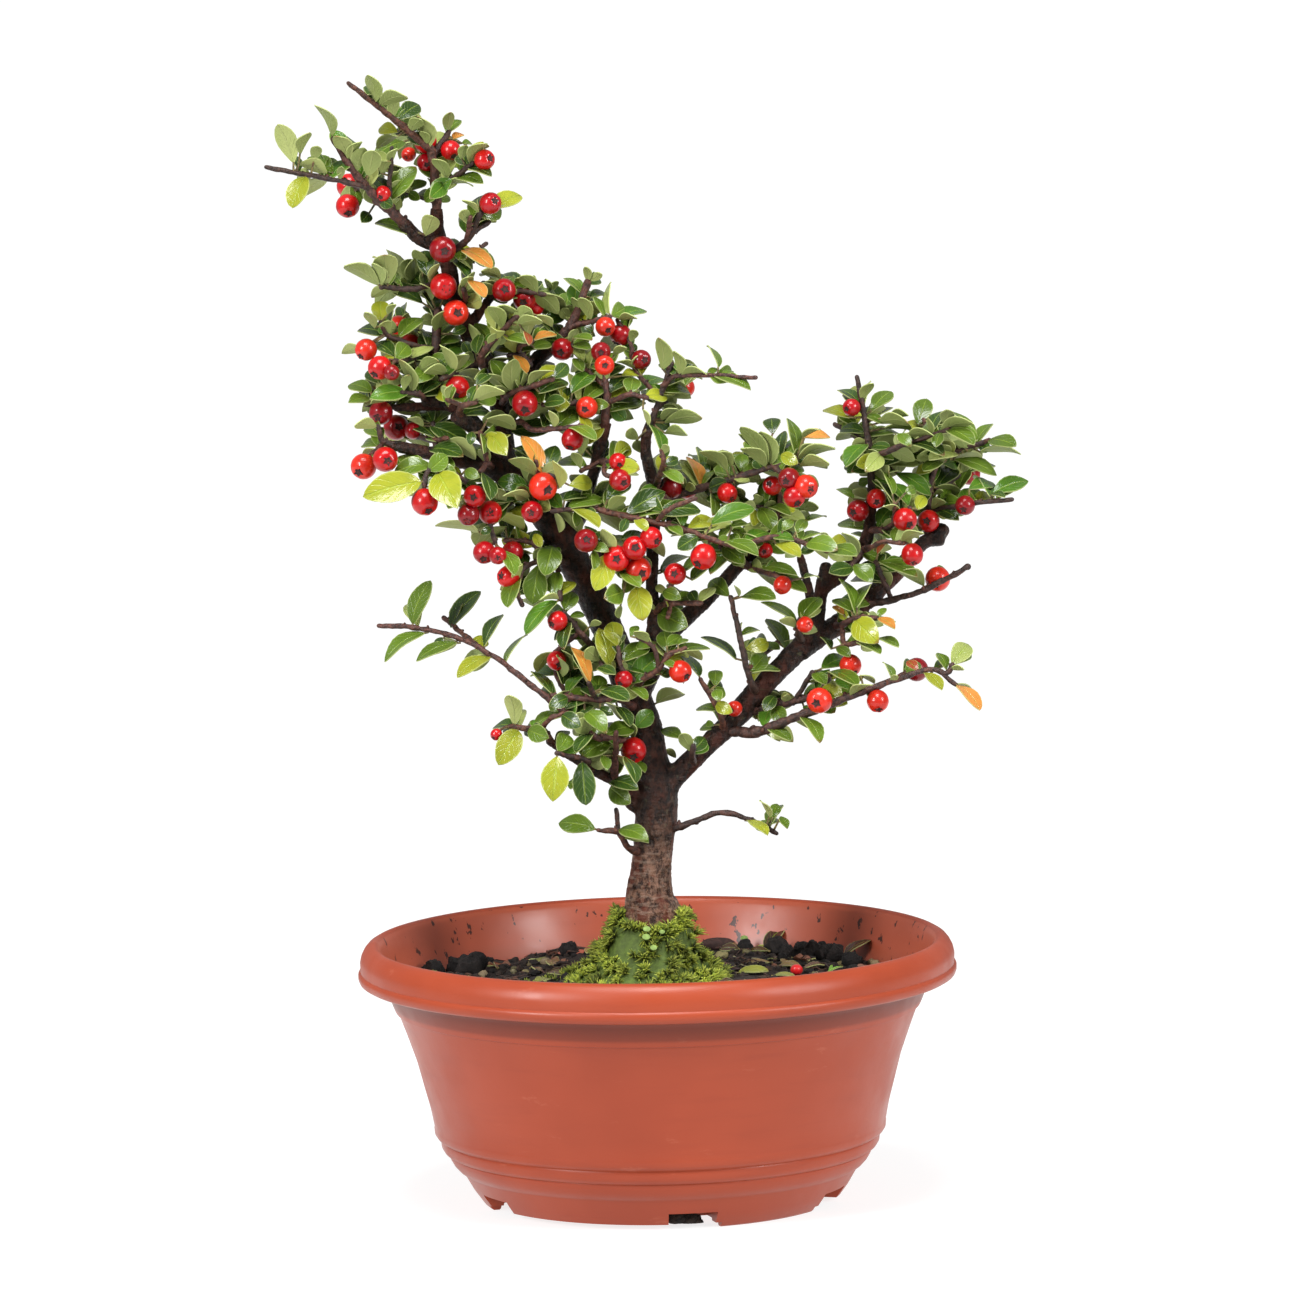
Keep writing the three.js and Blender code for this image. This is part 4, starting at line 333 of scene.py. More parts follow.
# Leaves: base x, z, tip x, z, width (negative where the underside shows) and colour
LEAVES = [
    [-79, 331, -81, 340, -4.5, "M"], [-78.5, 330.5, -69.5, 333.5, -4.5, "M"], [-73, 326, -66, 331, 5.5, "D"],
    [-74, 326.5, -73, 333, -3.5, "M"], [-73.5, 325.5, -77, 331.5, 2.5, "M"],
    [-70, 322, -65.5, 326.5, -4, "M"], [-72, 322.5, -78.5, 324, 4, "Y"], [-71, 321.5, -71.5, 326, 3, "M"],
    [-72, 321.5, -79, 318.5, -2.5, "P"], [-70, 320, -79.5, 315, 5, "M"], [-62.5, 317.5, -66, 328, -5, "P"],
    [-65, 318, -65, 323, -3, "M"], [-62.5, 308, -66.5, 312.5, 3, "M"], [-74.5, 301.5, -67.5, 312.5, 6, "M"],
    [-76, 303, -80.5, 309.5, 4, "D"], [-78, 310, -75.5, 314.5, -3, "M"], [-75, 313, -73.5, 318, -2.5, "M"],
    [-79, 303.5, -74.5, 300.5, 4, "D"], [-72.5, 303.5, -70.5, 306.5, 2.5, "M"],
    [-70, 305.5, -64.5, 307.5, 3, "M"], [-70, 304.5, -66.5, 302.5, 3, "M"],
    [-92.5, 322.5, -96.5, 331.5, -3.5, "M"], [-88, 313.5, -91, 322, -5, "P"],
    [-87.5, 314, -84, 320.5, -3, "M"], [-82, 309, -80, 317, -6, "M"], [-85, 310.5, -83, 318.5, -5, "M"],
    [-98, 314, -96.5, 319, -3.5, "M"], [-103.5, 313, -108.5, 325.5, -6, "P"],
    [-102, 316, -99, 323, -3.5, "M"], [-103, 314, -94, 311, -4, "P"], [-91.5, 310.5, -99.5, 315.5, 5, "M"],
    [-100, 310.5, -104.5, 300.5, 6, "Y"], [-93.5, 309.8, -101.5, 304, -4, "P"],
    [-90, 310, -89.5, 313, -2.5, "D"], [-87.5, 306, -85, 300.5, 3.5, "M"], [-81.5, 299, -84, 296, 4, "D"],
    [-68, 291, -80, 296, 3.5, "M"], [-65.5, 291, -62.5, 298, -5.5, "P"], [-57.5, 323, -57, 328.5, -3.5, "M"],
    [-57, 321, -54, 326, 3, "M"], [-57, 320, -53, 322, 2, "O"], [-54, 319, -50.5, 319, 1.5, "M"],
    [-52, 313, -47, 319.5, -4, "M"], [-49.5, 317, -45.5, 318, -1.5, "M"], [-54, 314, -52.5, 318.5, -3, "M"],
    [-58.5, 308, -62, 315, -4, "M"], [-52, 311, -45, 309, 2.5, "D"], [-56, 308, -47.5, 307, 3, "M"],
    [-58, 305.5, -50.5, 306.5, -1.5, "M"], [-51.5, 295, -54, 299, -3.5, "M"],
    [-50, 298.5, -54, 302, -1.5, "P"], [-49.5, 298, -49, 302.5, 2, "M"], [-48.5, 296.5, -42, 299, 5, "M"],
    [-46, 299, -36.5, 302.5, 5, "Y"], [-49, 293, -45.5, 296, 2, "M"], [-51, 293, -50, 296, 1.5, "D"],
    [-78.5, 276.5, -89.5, 283, -4.5, "M"], [-76.5, 277.5, -77.5, 287, -7.5, "P"],
    [-79, 277, -80.5, 284, -3.5, "M"], [-69.5, 277.5, -70.5, 284.5, -5.5, "M"],
    [-68.5, 278, -68.5, 284.5, -3, "M"], [-66, 280, -68.5, 287, -4, "M"], [-64.5, 279, -65.5, 287, 5.5, "D"],
    [-64, 278.5, -61.5, 283.5, -2.5, "P"], [-65.5, 271, -78, 276.5, 4.5, "D"],
    [-75, 275, -81.5, 273.5, -3, "P"], [-62, 267.5, -65.5, 276, 4.5, "D"], [-63.5, 272, -66.5, 278, -2, "M"],
    [-60.5, 273, -56, 270.5, -4, "M"], [-54.5, 270.5, -49, 272.5, -5, "Y"],
    [-54.5, 274, -52, 279.5, -3.5, "M"], [-53, 278.5, -48, 272.5, 3.5, "O"],
    [-55, 287.5, -45.5, 281.5, 4, "O"], [-78.5, 266, -79, 272.5, 5.5, "Y"], [-80.5, 264, -83.5, 269, -3, "M"],
    [-77, 268, -74.5, 271.5, -2, "M"], [-76.5, 262, -78, 266.5, -4, "M"], [-76, 260, -85.5, 263.5, 4, "D"],
    [-74, 255.5, -81, 260.5, 4.5, "D"], [-84, 258, -90.5, 257.5, -3, "P"],
    [-74.5, 259.5, -66.5, 267, 4.5, "M"], [-68.5, 265.5, -62, 266.5, -4, "M"],
    [-71, 254.5, -63.5, 258, 3, "P"], [-65, 258, -66, 263, 2.5, "D"], [-61, 262, -59.5, 269, -3.5, "M"],
    [-62, 258.5, -55, 261.5, 4, "M"], [-58, 262, -53.5, 264, 3, "D"], [-58, 250, -61.5, 258.5, -3, "P"],
    [-58, 250.5, -58.5, 257.5, 3, "D"], [-57, 250, -53.5, 256.5, -4, "M"], [-57.5, 249, -52, 254.5, 3.5, "M"],
    [-58.5, 249.5, -66.5, 251.5, -3.5, "M"], [-58.5, 250, -62.5, 255.5, 3, "D"],
    [-57, 249.5, -47.5, 246.5, -4.5, "P"], [-68.5, 243.5, -70, 253.5, 4.5, "D"],
    [-67.5, 243, -66.5, 252, 3, "D"], [-70, 244, -73.5, 254.5, -3.5, "M"], [-69, 250.5, -62, 254, -5, "M"],
    [-61.5, 246, -66.5, 251, -3.5, "M"], [-67, 244.5, -61.5, 248, 3, "D"],
    [-77.5, 246.5, -73.5, 251, -4.5, "M"], [-72.5, 246, -71, 250.5, -3, "M"],
    [-79, 247.5, -83.5, 251.5, 4, "D"], [-81.5, 245, -89, 247.5, 4, "M"], [-70, 245, -82.5, 244, 5, "G"],
    [-70, 243, -82.5, 241.5, -3, "M"], [-82, 243, -89, 242.5, 3, "M"], [-59.5, 240, -57.8, 246.5, 3.5, "M"],
    [-60.5, 243.5, -58.5, 247.5, -2, "M"], [-53, 242, -42.5, 245.5, -4.5, "P"],
    [-53, 241, -50, 246.5, 3.5, "D"], [-47.5, 238.5, -39.5, 243, 4, "M"], [-51, 246.5, -46.5, 250, 3, "D"],
    [-42.5, 278.5, -48.5, 281, -3, "P"], [-44, 274.5, -47.5, 278, -3, "M"], [-31.5, 274.5, -37, 279, -4, "M"],
    [-35, 274.5, -29, 275.5, 2.5, "M"], [-28.5, 273.5, -29.5, 278, -2, "M"],
    [-28, 273.5, -26, 277.5, -2, "M"], [-33, 273.5, -26, 268, -5, "M"], [-40, 264.5, -34, 269, -5, "M"],
    [-39, 264, -31, 265.5, -3.5, "M"], [-33, 267.5, -28, 263.5, -2.5, "P"],
    [-41.5, 261, -35.5, 259.5, 3, "M"], [-36.5, 263, -34.8, 258.5, 2, "R"],
    [-34.5, 258.5, -34, 263.5, 2.5, "D"], [-32.5, 260, -26.5, 262, 2.5, "O"],
    [-34, 257.5, -28.5, 258.5, 3, "M"], [-40, 255, -34, 258, 3, "Y"], [-40, 256, -35.5, 250.5, 2.5, "O"],
    [-35, 251, -36, 255, 3, "D"], [-46, 256, -44.5, 262, -4, "M"], [-51, 265.5, -46.5, 259, 4.5, "M"],
    [-51, 255.5, -52.5, 265, -3.5, "P"], [-50.5, 255.5, -49, 262, 3.5, "D"],
    [-52, 255.5, -54.5, 260, 3.5, "D"], [-48, 254.5, -41, 256.5, 2.5, "D"], [-40, 244, -46.5, 254, 5.5, "M"],
    [-40, 244.5, -39.5, 254, -5.5, "M"], [-45.5, 254.5, -41.5, 250, 1.5, "O"],
    [-38.5, 244, -37.5, 252, 4, "D"], [-41.5, 244, -48, 249.5, -3.5, "M"],
    [-35.5, 249.5, -27.5, 252.5, 3.5, "D"], [-35.5, 246.5, -28, 251.5, -3, "M"],
    [-28, 248, -23.5, 252.5, 4.5, "D"], [-33, 243.5, -23.5, 248, 5, "D"], [-23, 243, -15.5, 249.5, 5, "G"],
    [-31, 242, -24.5, 241.5, 3.5, "D"], [-25.5, 260, -27.2, 264.5, 2.5, "D"],
    [-22, 259, -16.5, 256.5, 2.5, "M"], [-22, 260.5, -16, 259.5, 2, "M"], [-22.5, 264.5, -15, 266, 2.5, "M"],
    [-16.5, 266.5, -19.5, 272, -3.5, "M"], [-19.5, 268, -21.5, 272.5, -2.5, "M"],
    [-22.5, 265.5, -25, 269, -3.5, "M"], [-19.5, 273.5, -24, 278.5, 2.5, "M"],
    [-16.5, 277.5, -17.5, 281.5, -2.5, "P"], [-16, 278, -12.5, 279.5, -2.5, "P"],
    [-17, 272, -11, 273.5, 2.5, "D"], [-12.5, 267, -15.5, 272.5, 2.5, "M"],
    [-10.5, 267, -10.5, 277, 2.5, "P"], [-22, 254.5, -19, 250, 3, "M"], [-19.5, 252, -10.5, 253.5, 3, "M"],
    [-19.5, 240.5, -12, 246, 5, "M"], [-80.5, 234.5, -87.5, 235.5, -3.5, "P"],
    [-80.5, 228.5, -80, 235, 4, "M"], [-79, 227, -85.5, 226, -2.5, "M"], [-62.5, 235.5, -66, 240, 5, "D"],
    [-66.5, 234.5, -71.5, 237, -2, "P"], [-67.5, 235.5, -69.5, 238.5, 2.5, "M"],
    [-66, 235, -53, 228.5, 6, "D"], [-59, 230, -51.5, 224.5, -4, "P"], [-66, 227.5, -55, 225, 4.5, "D"],
    [-71, 231, -65.5, 228.5, -3, "M"], [-63, 222, -76, 221.5, 5, "M"], [-67.5, 218.5, -85.5, 213.5, 9, "Y"],
    [-63, 221, -57.5, 210.5, 10, "Y"], [-55.5, 214, -60, 210, 3, "M"], [-49.5, 220.5, -47.5, 212, 4, "D"],
    [-55, 221.5, -50.5, 219, 3.5, "M"], [-54.5, 217.5, -51, 215.5, 3, "D"],
    [-47, 232.5, -42.5, 226, 6.5, "Y"], [-52.5, 233, -53, 229, 3, "D"], [-49, 233, -48.5, 226.5, 2, "M"],
    [-50, 202, -64, 205, -2.5, "P"], [-46, 205, -52, 198.5, -4, "M"], [-47.5, 204, -50.5, 202, 2.5, "D"],
    [-48.5, 236.5, -39.5, 234, -3.5, "P"], [-42, 232.5, -28.5, 233.5, 6, "D"],
    [-27.5, 232.5, -19.5, 238, 5, "M"], [-28, 233, -29, 238.5, -2.5, "P"],
    [-20.5, 237.5, -17.5, 231.5, 3, "Y"], [-24, 232.5, -15.5, 230.5, 2.5, "M"],
    [-18, 231, -20, 225.5, -3, "M"], [-31.5, 220, -37.5, 231.5, 5, "O"], [-34.5, 223.5, -40, 228.5, 3.5, "D"],
    [-34, 218.5, -41.5, 224.5, -4, "M"], [-30.5, 220, -27.5, 228, 5.5, "D"],
    [-27, 214.5, -27.5, 224, -4, "Y"], [-24.5, 216, -17, 217, 5, "Y"], [-20, 216, -17.5, 212.5, 3.5, "M"],
    [-26, 211.5, -18.5, 213.5, 3, "D"], [-21.5, 221, -22.5, 226, -3, "M"], [-36, 215.5, -45, 218, 5.5, "G"],
    [-34.5, 212, -43.5, 213.5, -2.5, "P"], [-34.5, 205.5, -41.5, 209.5, 4, "Y"],
    [-25, 208.5, -13, 211.5, 4, "M"], [-13, 211, -6, 217, 5.5, "D"], [-12, 209, -7, 213, -3.5, "M"],
    [-23.5, 208.5, -15, 203.5, 3, "Y"], [-17, 207.5, -8.5, 202.5, -3.5, "P"],
    [-28.5, 208.5, -26.5, 202.5, -2, "P"], [-27, 208, -23.5, 205.5, -2, "M"],
    [-22, 208, -22, 203.5, 2.5, "M"], [-17.5, 226.5, -12, 229.5, 4.5, "D"], [-15, 225, -10, 226.5, 3, "D"],
    [-11.5, 225, -5.5, 228.5, 5.5, "Y"], [-19.5, 227.5, -15, 224.5, -3, "P"],
    [-16.5, 221, -7.5, 221, 3.5, "M"], [-11, 221, -2.5, 220.5, 5, "Y"], [-2.5, 229.5, -6.5, 232.5, -3.5, "M"],
    [-3.5, 229.5, -2.5, 226, -3.5, "M"], [-7.5, 207.5, 5, 213.5, 6.5, "D"],
    [-4.5, 205.5, 10.5, 208.5, 4, "M"], [2, 207, 15.5, 208.5, 5, "D"], [-6.5, 205.5, -8.5, 202, 3, "D"],
    [-5, 205, -0.5, 202, 3, "Y"], [-9, 199.5, 0, 199.5, 2.5, "D"], [-42, 204.5, -51.5, 197, -4.5, "M"],
    [-33.5, 200, -44.5, 200, 7, "Y"], [-33.5, 195.5, -42, 194.5, -2, "P"],
    [-44.5, 197.5, -40.5, 189.5, 4.5, "M"], [-29, 198.5, -31.5, 189.5, 7.5, "M"],
    [-34.5, 202, -32.5, 198, 3, "Y"], [-17.5, 195.5, -15.5, 189.5, -3, "M"], [-17, 199, -12.5, 196.5, 3, "M"],
    [-11.5, 196, -16.5, 184.5, 7, "Y"], [-8.5, 266, 0.5, 268.5, 3.5, "G"], [-8.5, 265.5, -2.5, 266, -2, "M"],
    [-5, 258.5, -3, 262.5, -3, "M"], [-5, 251.5, -6, 258, 3.5, "M"], [-2.5, 255, -3.5, 258.5, 2.5, "D"],
    [-4, 250.5, -8.5, 253.5, -2, "P"], [-4, 250.5, -2.5, 254.5, -1.5, "P"],
    [-10, 254.5, -6, 257.5, -2.5, "M"], [4.5, 249.5, 4, 260, -5, "M"], [9.5, 248.5, 9, 256, -3.5, "M"],
    [9.5, 248.5, 18, 249, -2.5, "M"], [6, 244.5, 16.5, 248, 2, "M"], [5, 243.5, 13, 243.5, 3, "M"],
    [5, 242.5, 8.5, 243, 1.5, "Y"], [-1.5, 241.5, 6, 242, 4, "Y"], [3.5, 242, 8, 240.5, -2, "M"],
    [-4, 243.5, 5, 248.5, 4.5, "G"], [-12, 243, -5, 248.5, 5, "D"], [-8, 248.5, -2, 249, 2.5, "Y"],
    [-11.5, 240.5, -2.5, 244.5, 4.5, "Y"], [-11, 237.5, -0.5, 240, 3.5, "M"],
    [-1.5, 239, 0.5, 234, -1.5, "P"], [4, 234, 16.5, 236, -4.5, "M"], [4, 235, 9, 238.5, -2.5, "D"],
    [4.5, 231, 12, 231.5, -3.5, "M"], [21.5, 250, 18.5, 257.5, 2, "M"], [18, 248.5, 21, 250.5, 2, "M"],
    [22, 249, 26, 249.5, 1.5, "M"], [19, 246.5, 31, 243.5, 3, "M"], [3, 225, 1.5, 234.5, 3.5, "G"],
    [4, 225, 6, 228, -2.5, "M"], [2, 219.5, 5, 225, 4.5, "Y"], [5, 221.5, 9, 223.5, 3, "D"],
    [2, 218, 8, 220, -3, "M"], [5, 219.5, 10.5, 216.5, 3, "M"], [15.5, 215, 11.5, 224, 3.5, "O"],
    [15, 217, 17, 222.5, 4.5, "D"], [11, 213, 13.5, 216, -3, "Y"], [15.5, 215, 20, 220, 2.5, "M"],
    [24, 219, 16, 226.5, -4, "M"], [25.5, 220.5, 21, 225.5, -3, "M"], [27.5, 217, 20, 220.5, 4, "M"],
    [27.5, 219, 28, 224.5, 4.5, "M"], [27.5, 219.5, 33, 222, 3, "D"], [28, 217.5, 36.5, 220.5, 2.5, "M"],
    [35.5, 220.5, 28, 226, -3.5, "M"], [36, 220.5, 27.5, 232.5, -4.5, "M"], [37, 220.5, 34, 231.5, -5, "M"],
    [37.5, 230, 37, 235.5, 5.5, "D"], [39.5, 222, 41, 231, 4, "D"], [44, 224, 42.5, 235.5, 4, "M"],
    [46, 229, 54, 229, 3, "O"], [46, 229, 51.5, 231.5, -1.5, "M"], [45, 224, 50, 227, -2.5, "D"],
    [45, 222.5, 56, 225.5, -3, "M"], [44.5, 220.5, 54, 221.5, -4, "M"], [45, 220.5, 53.5, 219.5, -1.5, "M"],
    [39.5, 224.5, 44.5, 221.5, 4, "Y"], [36.5, 220, 40.5, 223.5, 2.5, "M"],
    [17.5, 203, 31.5, 208.5, 5.5, "G"], [11, 203, 21, 204.5, 4.5, "Y"], [5, 203, 11, 203.5, 3, "M"],
    [5, 202.5, 10, 200.5, 2.5, "M"], [11, 201, 19, 201.5, 2.5, "D"], [33, 209, 37, 201, 5.5, "M"],
    [31, 209, 31, 203, 3, "Y"], [24, 202.5, 30, 204, 2.5, "M"], [22, 209.5, 30, 211.5, 4, "D"],
    [18.5, 213.5, 19.5, 206.5, 2.5, "M"], [26, 215, 28, 211, -2, "P"], [28, 196.5, 35.5, 201, 4.5, "G"],
    [21.5, 197.5, 32.5, 194.5, 3.5, "M"], [21.5, 197, 28, 191.5, 5, "M"], [37, 197.5, 45, 193.5, 3.5, "Y"],
    [39.5, 201, 43, 204.5, 3, "M"], [44.5, 197.5, 43, 204.5, 2.5, "M"], [43.5, 200.5, 47, 204.5, 3.5, "M"],
    [46, 203.5, 53, 205.5, 1.5, "M"], [45, 199, 53.5, 200, 1.5, "M"], [47, 198.5, 56, 195.5, 5, "M"],
    [47.5, 195.5, 53, 192.5, -2.5, "P"], [3, 190, 12.5, 194, 2.5, "M"], [64, 238, 57, 243.5, 3, "D"],
    [64.5, 240, 67.5, 245, -3, "M"], [66.5, 236, 73, 242.5, 5, "M"], [61, 234.5, 52.5, 237.5, 3.5, "Y"],
    [62.5, 232, 57.5, 235.5, 3, "M"], [64.5, 230, 57.5, 231.5, 3.5, "D"], [64, 229.5, 56.5, 229, -1.5, "M"],
    [68.5, 233, 78, 233.5, -4, "M"], [72, 235, 78, 235.5, -2.5, "M"], [70, 231.5, 79, 231, -2, "M"],
    [66.5, 229, 75, 230.5, 3, "M"], [67, 227.5, 76, 226.5, -4, "M"], [67, 226, 72.5, 225.5, 2.5, "D"],
    [74.5, 230, 78.5, 226, 3.5, "M"], [77, 228.5, 85.5, 230, -3, "M"], [78.5, 226, 88.5, 222.5, 3.5, "D"],
    [80.5, 231.5, 83.5, 240, 6, "M"], [84, 229, 84, 234.5, -2, "M"], [87, 229, 97.5, 233, -4, "M"],
    [97.5, 226.5, 91.5, 236.5, 3, "M"], [97.5, 226.5, 103, 232, 3, "M"], [89, 229.5, 97.5, 226.5, 3.5, "M"],
    [87.5, 231, 86, 225.5, 3.5, "M"], [101, 227.5, 110, 225.5, 4, "M"], [98, 223.5, 111.5, 223.5, -2, "M"],
    [91, 220.5, 104, 216.5, 4, "M"], [86, 212, 92, 219.5, 5.5, "D"], [92.5, 212, 96, 218.5, 4, "M"],
    [95, 212.5, 103, 214.5, 4, "G"], [95, 209.5, 105, 209.5, 4, "Y"], [102, 211, 113.5, 214.5, 5, "G"],
    [102, 211, 106.5, 210.5, 1.5, "D"], [73, 218.5, 84, 211, 4.5, "G"], [73, 223.5, 79.5, 221.5, -4, "M"],
    [77.5, 207.5, 72.5, 215.5, 4.5, "G"], [74, 208, 68, 216, 2.5, "D"], [73, 211, 69, 219, 2, "M"],
    [76.5, 212, 80, 213.5, 3, "M"], [80, 206.5, 82, 211, 4, "Y"], [82.5, 209.5, 79, 211.5, 1.5, "D"],
    [83, 207, 88, 210, -3.5, "M"], [87, 209.5, 90, 213, 3, "M"], [86, 211, 88, 212.5, -1.5, "M"],
    [86, 207.5, 92.5, 204, 4, "D"], [61.5, 210, 56.5, 214, 2.5, "M"], [65, 210, 61, 213.5, -3, "M"],
    [75, 206, 70, 208.5, -2, "M"], [74, 203.5, 70, 202, -2.5, "M"], [64.5, 203, 61, 203.5, -2.5, "M"],
    [64.5, 198.5, 60.5, 200.5, 1.5, "M"], [73, 197.5, 75, 202.5, 2, "M"], [75, 197.5, 82, 200.5, -3, "M"],
    [65, 199.5, 69, 197, -1.5, "M"], [52, 195, 62, 193.5, 4, "M"], [61.5, 189.5, 53.5, 188.5, 4.5, "D"],
    [67.5, 192, 80, 187, 4, "M"], [67.5, 190.5, 71, 184, -3.5, "P"], [68, 193.5, 71, 197, 1.5, "R"],
    [-71.5, 175.5, -66, 188.5, 5.5, "M"], [-60.5, 173, -51, 185, 5, "D"], [-50, 168, -44, 177.5, 3.5, "D"],
    [-43.5, 163, -37, 171.5, 1.5, "M"], [-67, 172, -80.5, 165, 3.5, "M"],
    [-57.5, 168.5, -70.5, 164, 3.5, "M"], [-48.5, 164, -58.5, 159.5, 4, "Y"],
    [-30, 153.5, -36.5, 160, 2.5, "D"], [-41, 145, -43, 153, -5, "P"], [-40, 143.5, -48, 143.5, 3, "D"],
    [-40.5, 142, -46.5, 132.5, 7.5, "Y"], [-38, 142.5, -31, 140, 5.5, "M"],
    [-36.5, 144, -25.5, 148, 3.5, "M"], [-27, 181, -38, 172, 4.5, "G"], [-39, 189.5, -43, 180, 4.5, "M"],
    [-33, 193, -35.5, 180.5, 7.5, "M"], [-26.5, 191, -28.5, 183, 5, "M"], [-29, 181.5, -22.5, 187, 4, "Y"],
    [-26, 181, -33, 182, -2, "P"], [-24.5, 175, -26.5, 167, 3.5, "D"], [-25, 177, -20, 168.5, -4.5, "P"],
    [-24, 177, -20, 177, 2, "M"], [-29, 167, -34.5, 160.5, -3, "Y"], [-26.5, 158, -28, 165, -3, "M"],
    [-28, 155, -27.5, 162.5, 4, "D"], [-24, 160, -26.5, 167, -2.5, "M"], [-21, 159.5, -23.5, 165, 2.5, "D"],
    [-17.5, 156, -24, 167.5, 3.5, "O"], [-15, 163, -20, 167, -4.5, "M"], [-17, 161, -11, 159.5, 2.5, "D"],
    [-12.5, 160.5, -16, 173, 6, "Y"], [-10, 167.5, -12, 175, 6, "Y"], [-18.5, 173.5, -15, 175, -2, "M"],
    [-26, 153, -20.5, 159.5, 3, "G"], [-26, 152.5, -19, 153, 4, "M"], [-25, 152.5, -31, 150, 4.5, "D"],
    [-16, 154.5, -12, 155, 1.5, "M"], [-16, 154, -7, 151, 4, "D"], [-16.5, 151.5, -9.5, 145.5, -1.5, "P"],
    [-11, 149.5, -7, 143, 3.5, "D"], [-7, 155, -1.5, 151.5, 2.5, "M"], [-7.5, 155.5, 3, 165, 7, "G"],
    [-9.5, 162.5, -1, 167, 5, "M"], [-5.5, 154.5, 1.5, 157, 2.5, "M"], [-10, 162.5, -7.5, 160, -2.5, "M"],
    [0.5, 149.5, 9.5, 153.5, -4.5, "M"], [-1.5, 167, -5, 172, -3, "M"], [-6.5, 170, -4, 173.5, 2.5, "M"],
    [-8, 184, -14, 182, 6.5, "M"], [-4, 186, -2.5, 175.5, 7.5, "Y"], [-18, 196, -16.5, 191, 2.5, "M"],
    [-9.5, 190, -3, 185, 4, "M"], [-9, 180, -9.5, 176, -2, "M"], [0.5, 176, -1.5, 182, 3, "M"],
    [2, 177, 11, 173, 8, "M"], [3.5, 184, 9, 181.5, 4, "M"], [8, 179, 12, 183, 3.5, "M"],
    [14, 180, 12, 183.5, 3.5, "D"], [14.5, 179.5, 19.5, 184.5, 3, "P"], [5, 178.5, 4.5, 182, 1.5, "Y"],
    [4, 183.5, 1.5, 185.5, 2.5, "P"], [12, 186.5, 17.5, 191, 3, "M"], [3, 189, 6, 192, 2.5, "D"],
    [4, 167, 9, 170, 3.5, "M"], [7.5, 167.5, 11, 169, 1.5, "M"], [4, 165, 17.5, 166.5, 2.5, "M"],
    [10, 165, 15, 162.5, -2.5, "P"], [14.5, 157, 8, 165.5, 3, "D"], [3.5, 162.5, 7, 161, 2, "M"],
    [2.5, 158.5, 5.5, 159, 2.5, "D"], [19, 154.5, 19, 159.5, 4.5, "M"], [19, 154, 20, 150.5, 3.5, "M"],
    [19, 150, 23.5, 147, 4, "Y"], [19, 147, 13, 148.5, 2.5, "M"], [26, 162, 15, 170, 2.5, "D"],
    [26.5, 181.5, 37.5, 181, 4, "M"], [26.5, 181.5, 25, 185, -1, "M"], [27.5, 170, 32.5, 172, 2, "M"],
    [27, 169.5, 27, 174, 1.5, "M"], [28.5, 166, 35, 167.5, 4.5, "Y"], [34, 167, 38.5, 165.5, 2.5, "M"],
    [30.5, 159, 38.5, 159.5, 2.5, "M"], [44, 173, 33, 180, 2.5, "M"], [41, 164.5, 34.5, 175, 4, "M"],
    [43.5, 171.5, 38.5, 175, -3, "P"], [44, 173.5, 50.5, 181.5, 5.5, "M"], [42, 163.5, 47, 168.5, 4.5, "M"],
    [33, 190, 46.5, 182, 4.5, "M"], [32, 191, 44, 188.5, 3, "M"], [45.5, 187, 50.5, 187.5, 1, "M"],
    [61.5, 176, 57, 187, 3, "M"], [61.5, 177, 66, 184.5, 3, "M"], [60.5, 176.5, 54.5, 180, 3, "M"],
    [58, 175.5, 54.5, 178.5, 2, "O"], [60, 174, 56.5, 176.5, 3, "Y"], [60, 175.5, 67.5, 167.5, 8, "Y"],
    [68, 175, 70.5, 177.5, 2, "M"], [68, 175, 73, 171.5, 2.5, "O"], [66, 168, 74, 166.5, 1.5, "M"],
    [61, 168.5, 68.5, 163.5, 2.5, "M"], [55, 172.5, 58, 174.5, 1.5, "R"], [51.5, 172, 55.5, 173.5, 2, "M"],
    [54, 165, 51, 169.5, 2, "D"], [58, 164, 56, 169, 1.5, "M"], [55, 166, 59.5, 163, 3, "M"],
    [50, 159, 59, 161.5, 4.5, "G"], [47, 159, 52, 154.5, 3.5, "M"], [52, 158.5, 61.5, 153.5, 3.5, "M"],
    [49, 154.5, 58, 149, 7, "Y"], [58.5, 151.5, 66, 154, -2, "M"], [62, 157.5, 66.5, 154.5, -1.5, "P"],
    [72, 155.5, 69.5, 161.5, 2, "M"], [71, 155, 73.5, 157, -2, "M"], [80, 158, 76.5, 161.5, 3, "R"],
    [81, 158, 87, 153, 3, "Y"], [88.5, 158, 85.5, 163.5, 3, "M"], [90, 159, 95, 166.5, 6, "P"],
    [90, 158, 93.5, 158.5, -1.5, "M"], [90.5, 154, 98, 146, 3.5, "O"], [34, 142, 41, 137.5, 3, "M"],
    [44, 145.5, 50.5, 138, 3.5, "M"], [36.5, 148.5, 39, 143.5, 5, "M"], [42, 149, 39, 151.5, -2.5, "P"],
    [37, 152, 33.5, 147, 4, "D"], [30.5, 144.5, 34, 147, 2.5, "Y"], [45, 148.5, 48.5, 146, 2.5, "D"],
    [2, 142, 8.5, 139.5, 3.5, "M"], [11, 135, 8.5, 140.5, -4, "M"], [11.5, 135, 15.5, 139.5, 4.5, "D"],
    [3.5, 136, 6.5, 134, -2, "P"], [19, 142, 14, 142.5, 2.5, "M"], [18.5, 143, 16, 144, 2, "M"],
    [-17, 111.5, -29, 114.5, 6, "M"], [-11, 112, -2.5, 109.5, 4.5, "M"], [-13.5, 125, -7.5, 120, 6, "M"],
